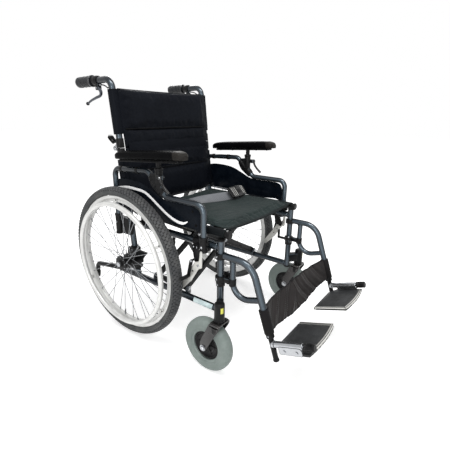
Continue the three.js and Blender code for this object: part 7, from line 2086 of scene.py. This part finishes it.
def make_lamps(stage):
    lamps = (
        ("key", (-0.5, -0.7, 2.9), (0, 0.05, 0.45), (2.2, 0.7), stage.key_power),
        ("side", (-2.6, -1.2, 1.3), (0, -0.1, 0.4), (0.35, 2.0), stage.side_power),
        ("rear", (1.6, 2.2, 2.2), (0, 0.1, 0.5), (1.4, 0.5), stage.side_power * 0.7),
    )
    for name, place, aim, (width, height), power in lamps:
        light = bpy.data.lights.new(name, "AREA")
        light.shape = "RECTANGLE"
        light.size = width
        light.size_y = height
        light.energy = power
        lamp = bpy.data.objects.new(f"lamp_{name}", light)
        lamp.location = place
        lamp.rotation_euler = (Vector(aim) - Vector(place)).to_track_quat("-Z", "Y").to_euler()
        bpy.context.scene.collection.objects.link(lamp)


def make_camera(scene, stage):
    data = bpy.data.cameras.new("view")
    data.sensor_width = 36
    data.lens = stage.camera_lens
    camera = bpy.data.objects.new("camera", data)
    yaw, pitch, roll = 0.9323, 0.3158, 0.0175
    ahead = Vector((math.sin(yaw) * math.cos(pitch), math.cos(yaw) * math.cos(pitch),
                    -math.sin(pitch)))
    level = Vector((math.cos(yaw), -math.sin(yaw), 0))
    above = level.cross(ahead)
    right = level * math.cos(roll) + above * math.sin(roll)
    up = above * math.cos(roll) - level * math.sin(roll)
    place = Vector((-1.1016, -1.0721 + AXLE_Y, 0.8807))
    turn = Matrix((right, up, -ahead)).transposed().to_4x4()
    camera.matrix_world = Matrix.Translation(place) @ turn
    scene.collection.objects.link(camera)
    scene.camera = camera


STEPS = (CHAIR_OT_stage, CHAIR_OT_frame, CHAIR_OT_rear_wheels, CHAIR_OT_casters,
         CHAIR_OT_leg_supports, CHAIR_OT_brakes, CHAIR_OT_push_handles, CHAIR_OT_armrests,
         CHAIR_OT_upholstery)


class CHAIR_PT_sidebar(bpy.types.Panel):
    """Settings and building steps of the wheelchair."""

    bl_label = "Wheelchair"
    bl_idname = "CHAIR_PT_sidebar"
    bl_space_type = "VIEW_3D"
    bl_region_type = "UI"
    bl_category = "Wheelchair"

    def draw(self, context):
        layout = self.layout
        for group in (context.scene.chair_colours, context.scene.chair_detail,
                      context.scene.chair_stage):
            box = layout.box()
            for name in group.__annotations__:
                box.prop(group, name)
        column = layout.column(align=True)
        for step in STEPS:
            column.operator(step.bl_idname)


GROUPS = (ChairColours, ChairDetail, ChairStage)


def register():
    for made in (*GROUPS, *STEPS, CHAIR_PT_sidebar):
        bpy.utils.register_class(made)
    bpy.types.Scene.chair_colours = PointerProperty(type=ChairColours)
    bpy.types.Scene.chair_detail = PointerProperty(type=ChairDetail)
    bpy.types.Scene.chair_stage = PointerProperty(type=ChairStage)


def unregister():
    del bpy.types.Scene.chair_stage
    del bpy.types.Scene.chair_detail
    del bpy.types.Scene.chair_colours
    for made in reversed((*GROUPS, *STEPS, CHAIR_PT_sidebar)):
        bpy.utils.unregister_class(made)


def main():
    register()
    bpy.context.scene.view_settings.view_transform = "Standard"
    for step in (bpy.ops.chair.stage, bpy.ops.chair.frame, bpy.ops.chair.rear_wheels,
                 bpy.ops.chair.casters, bpy.ops.chair.leg_supports, bpy.ops.chair.brakes,
                 bpy.ops.chair.push_handles, bpy.ops.chair.armrests, bpy.ops.chair.upholstery):
        step()


if __name__ == "__main__":
    main()
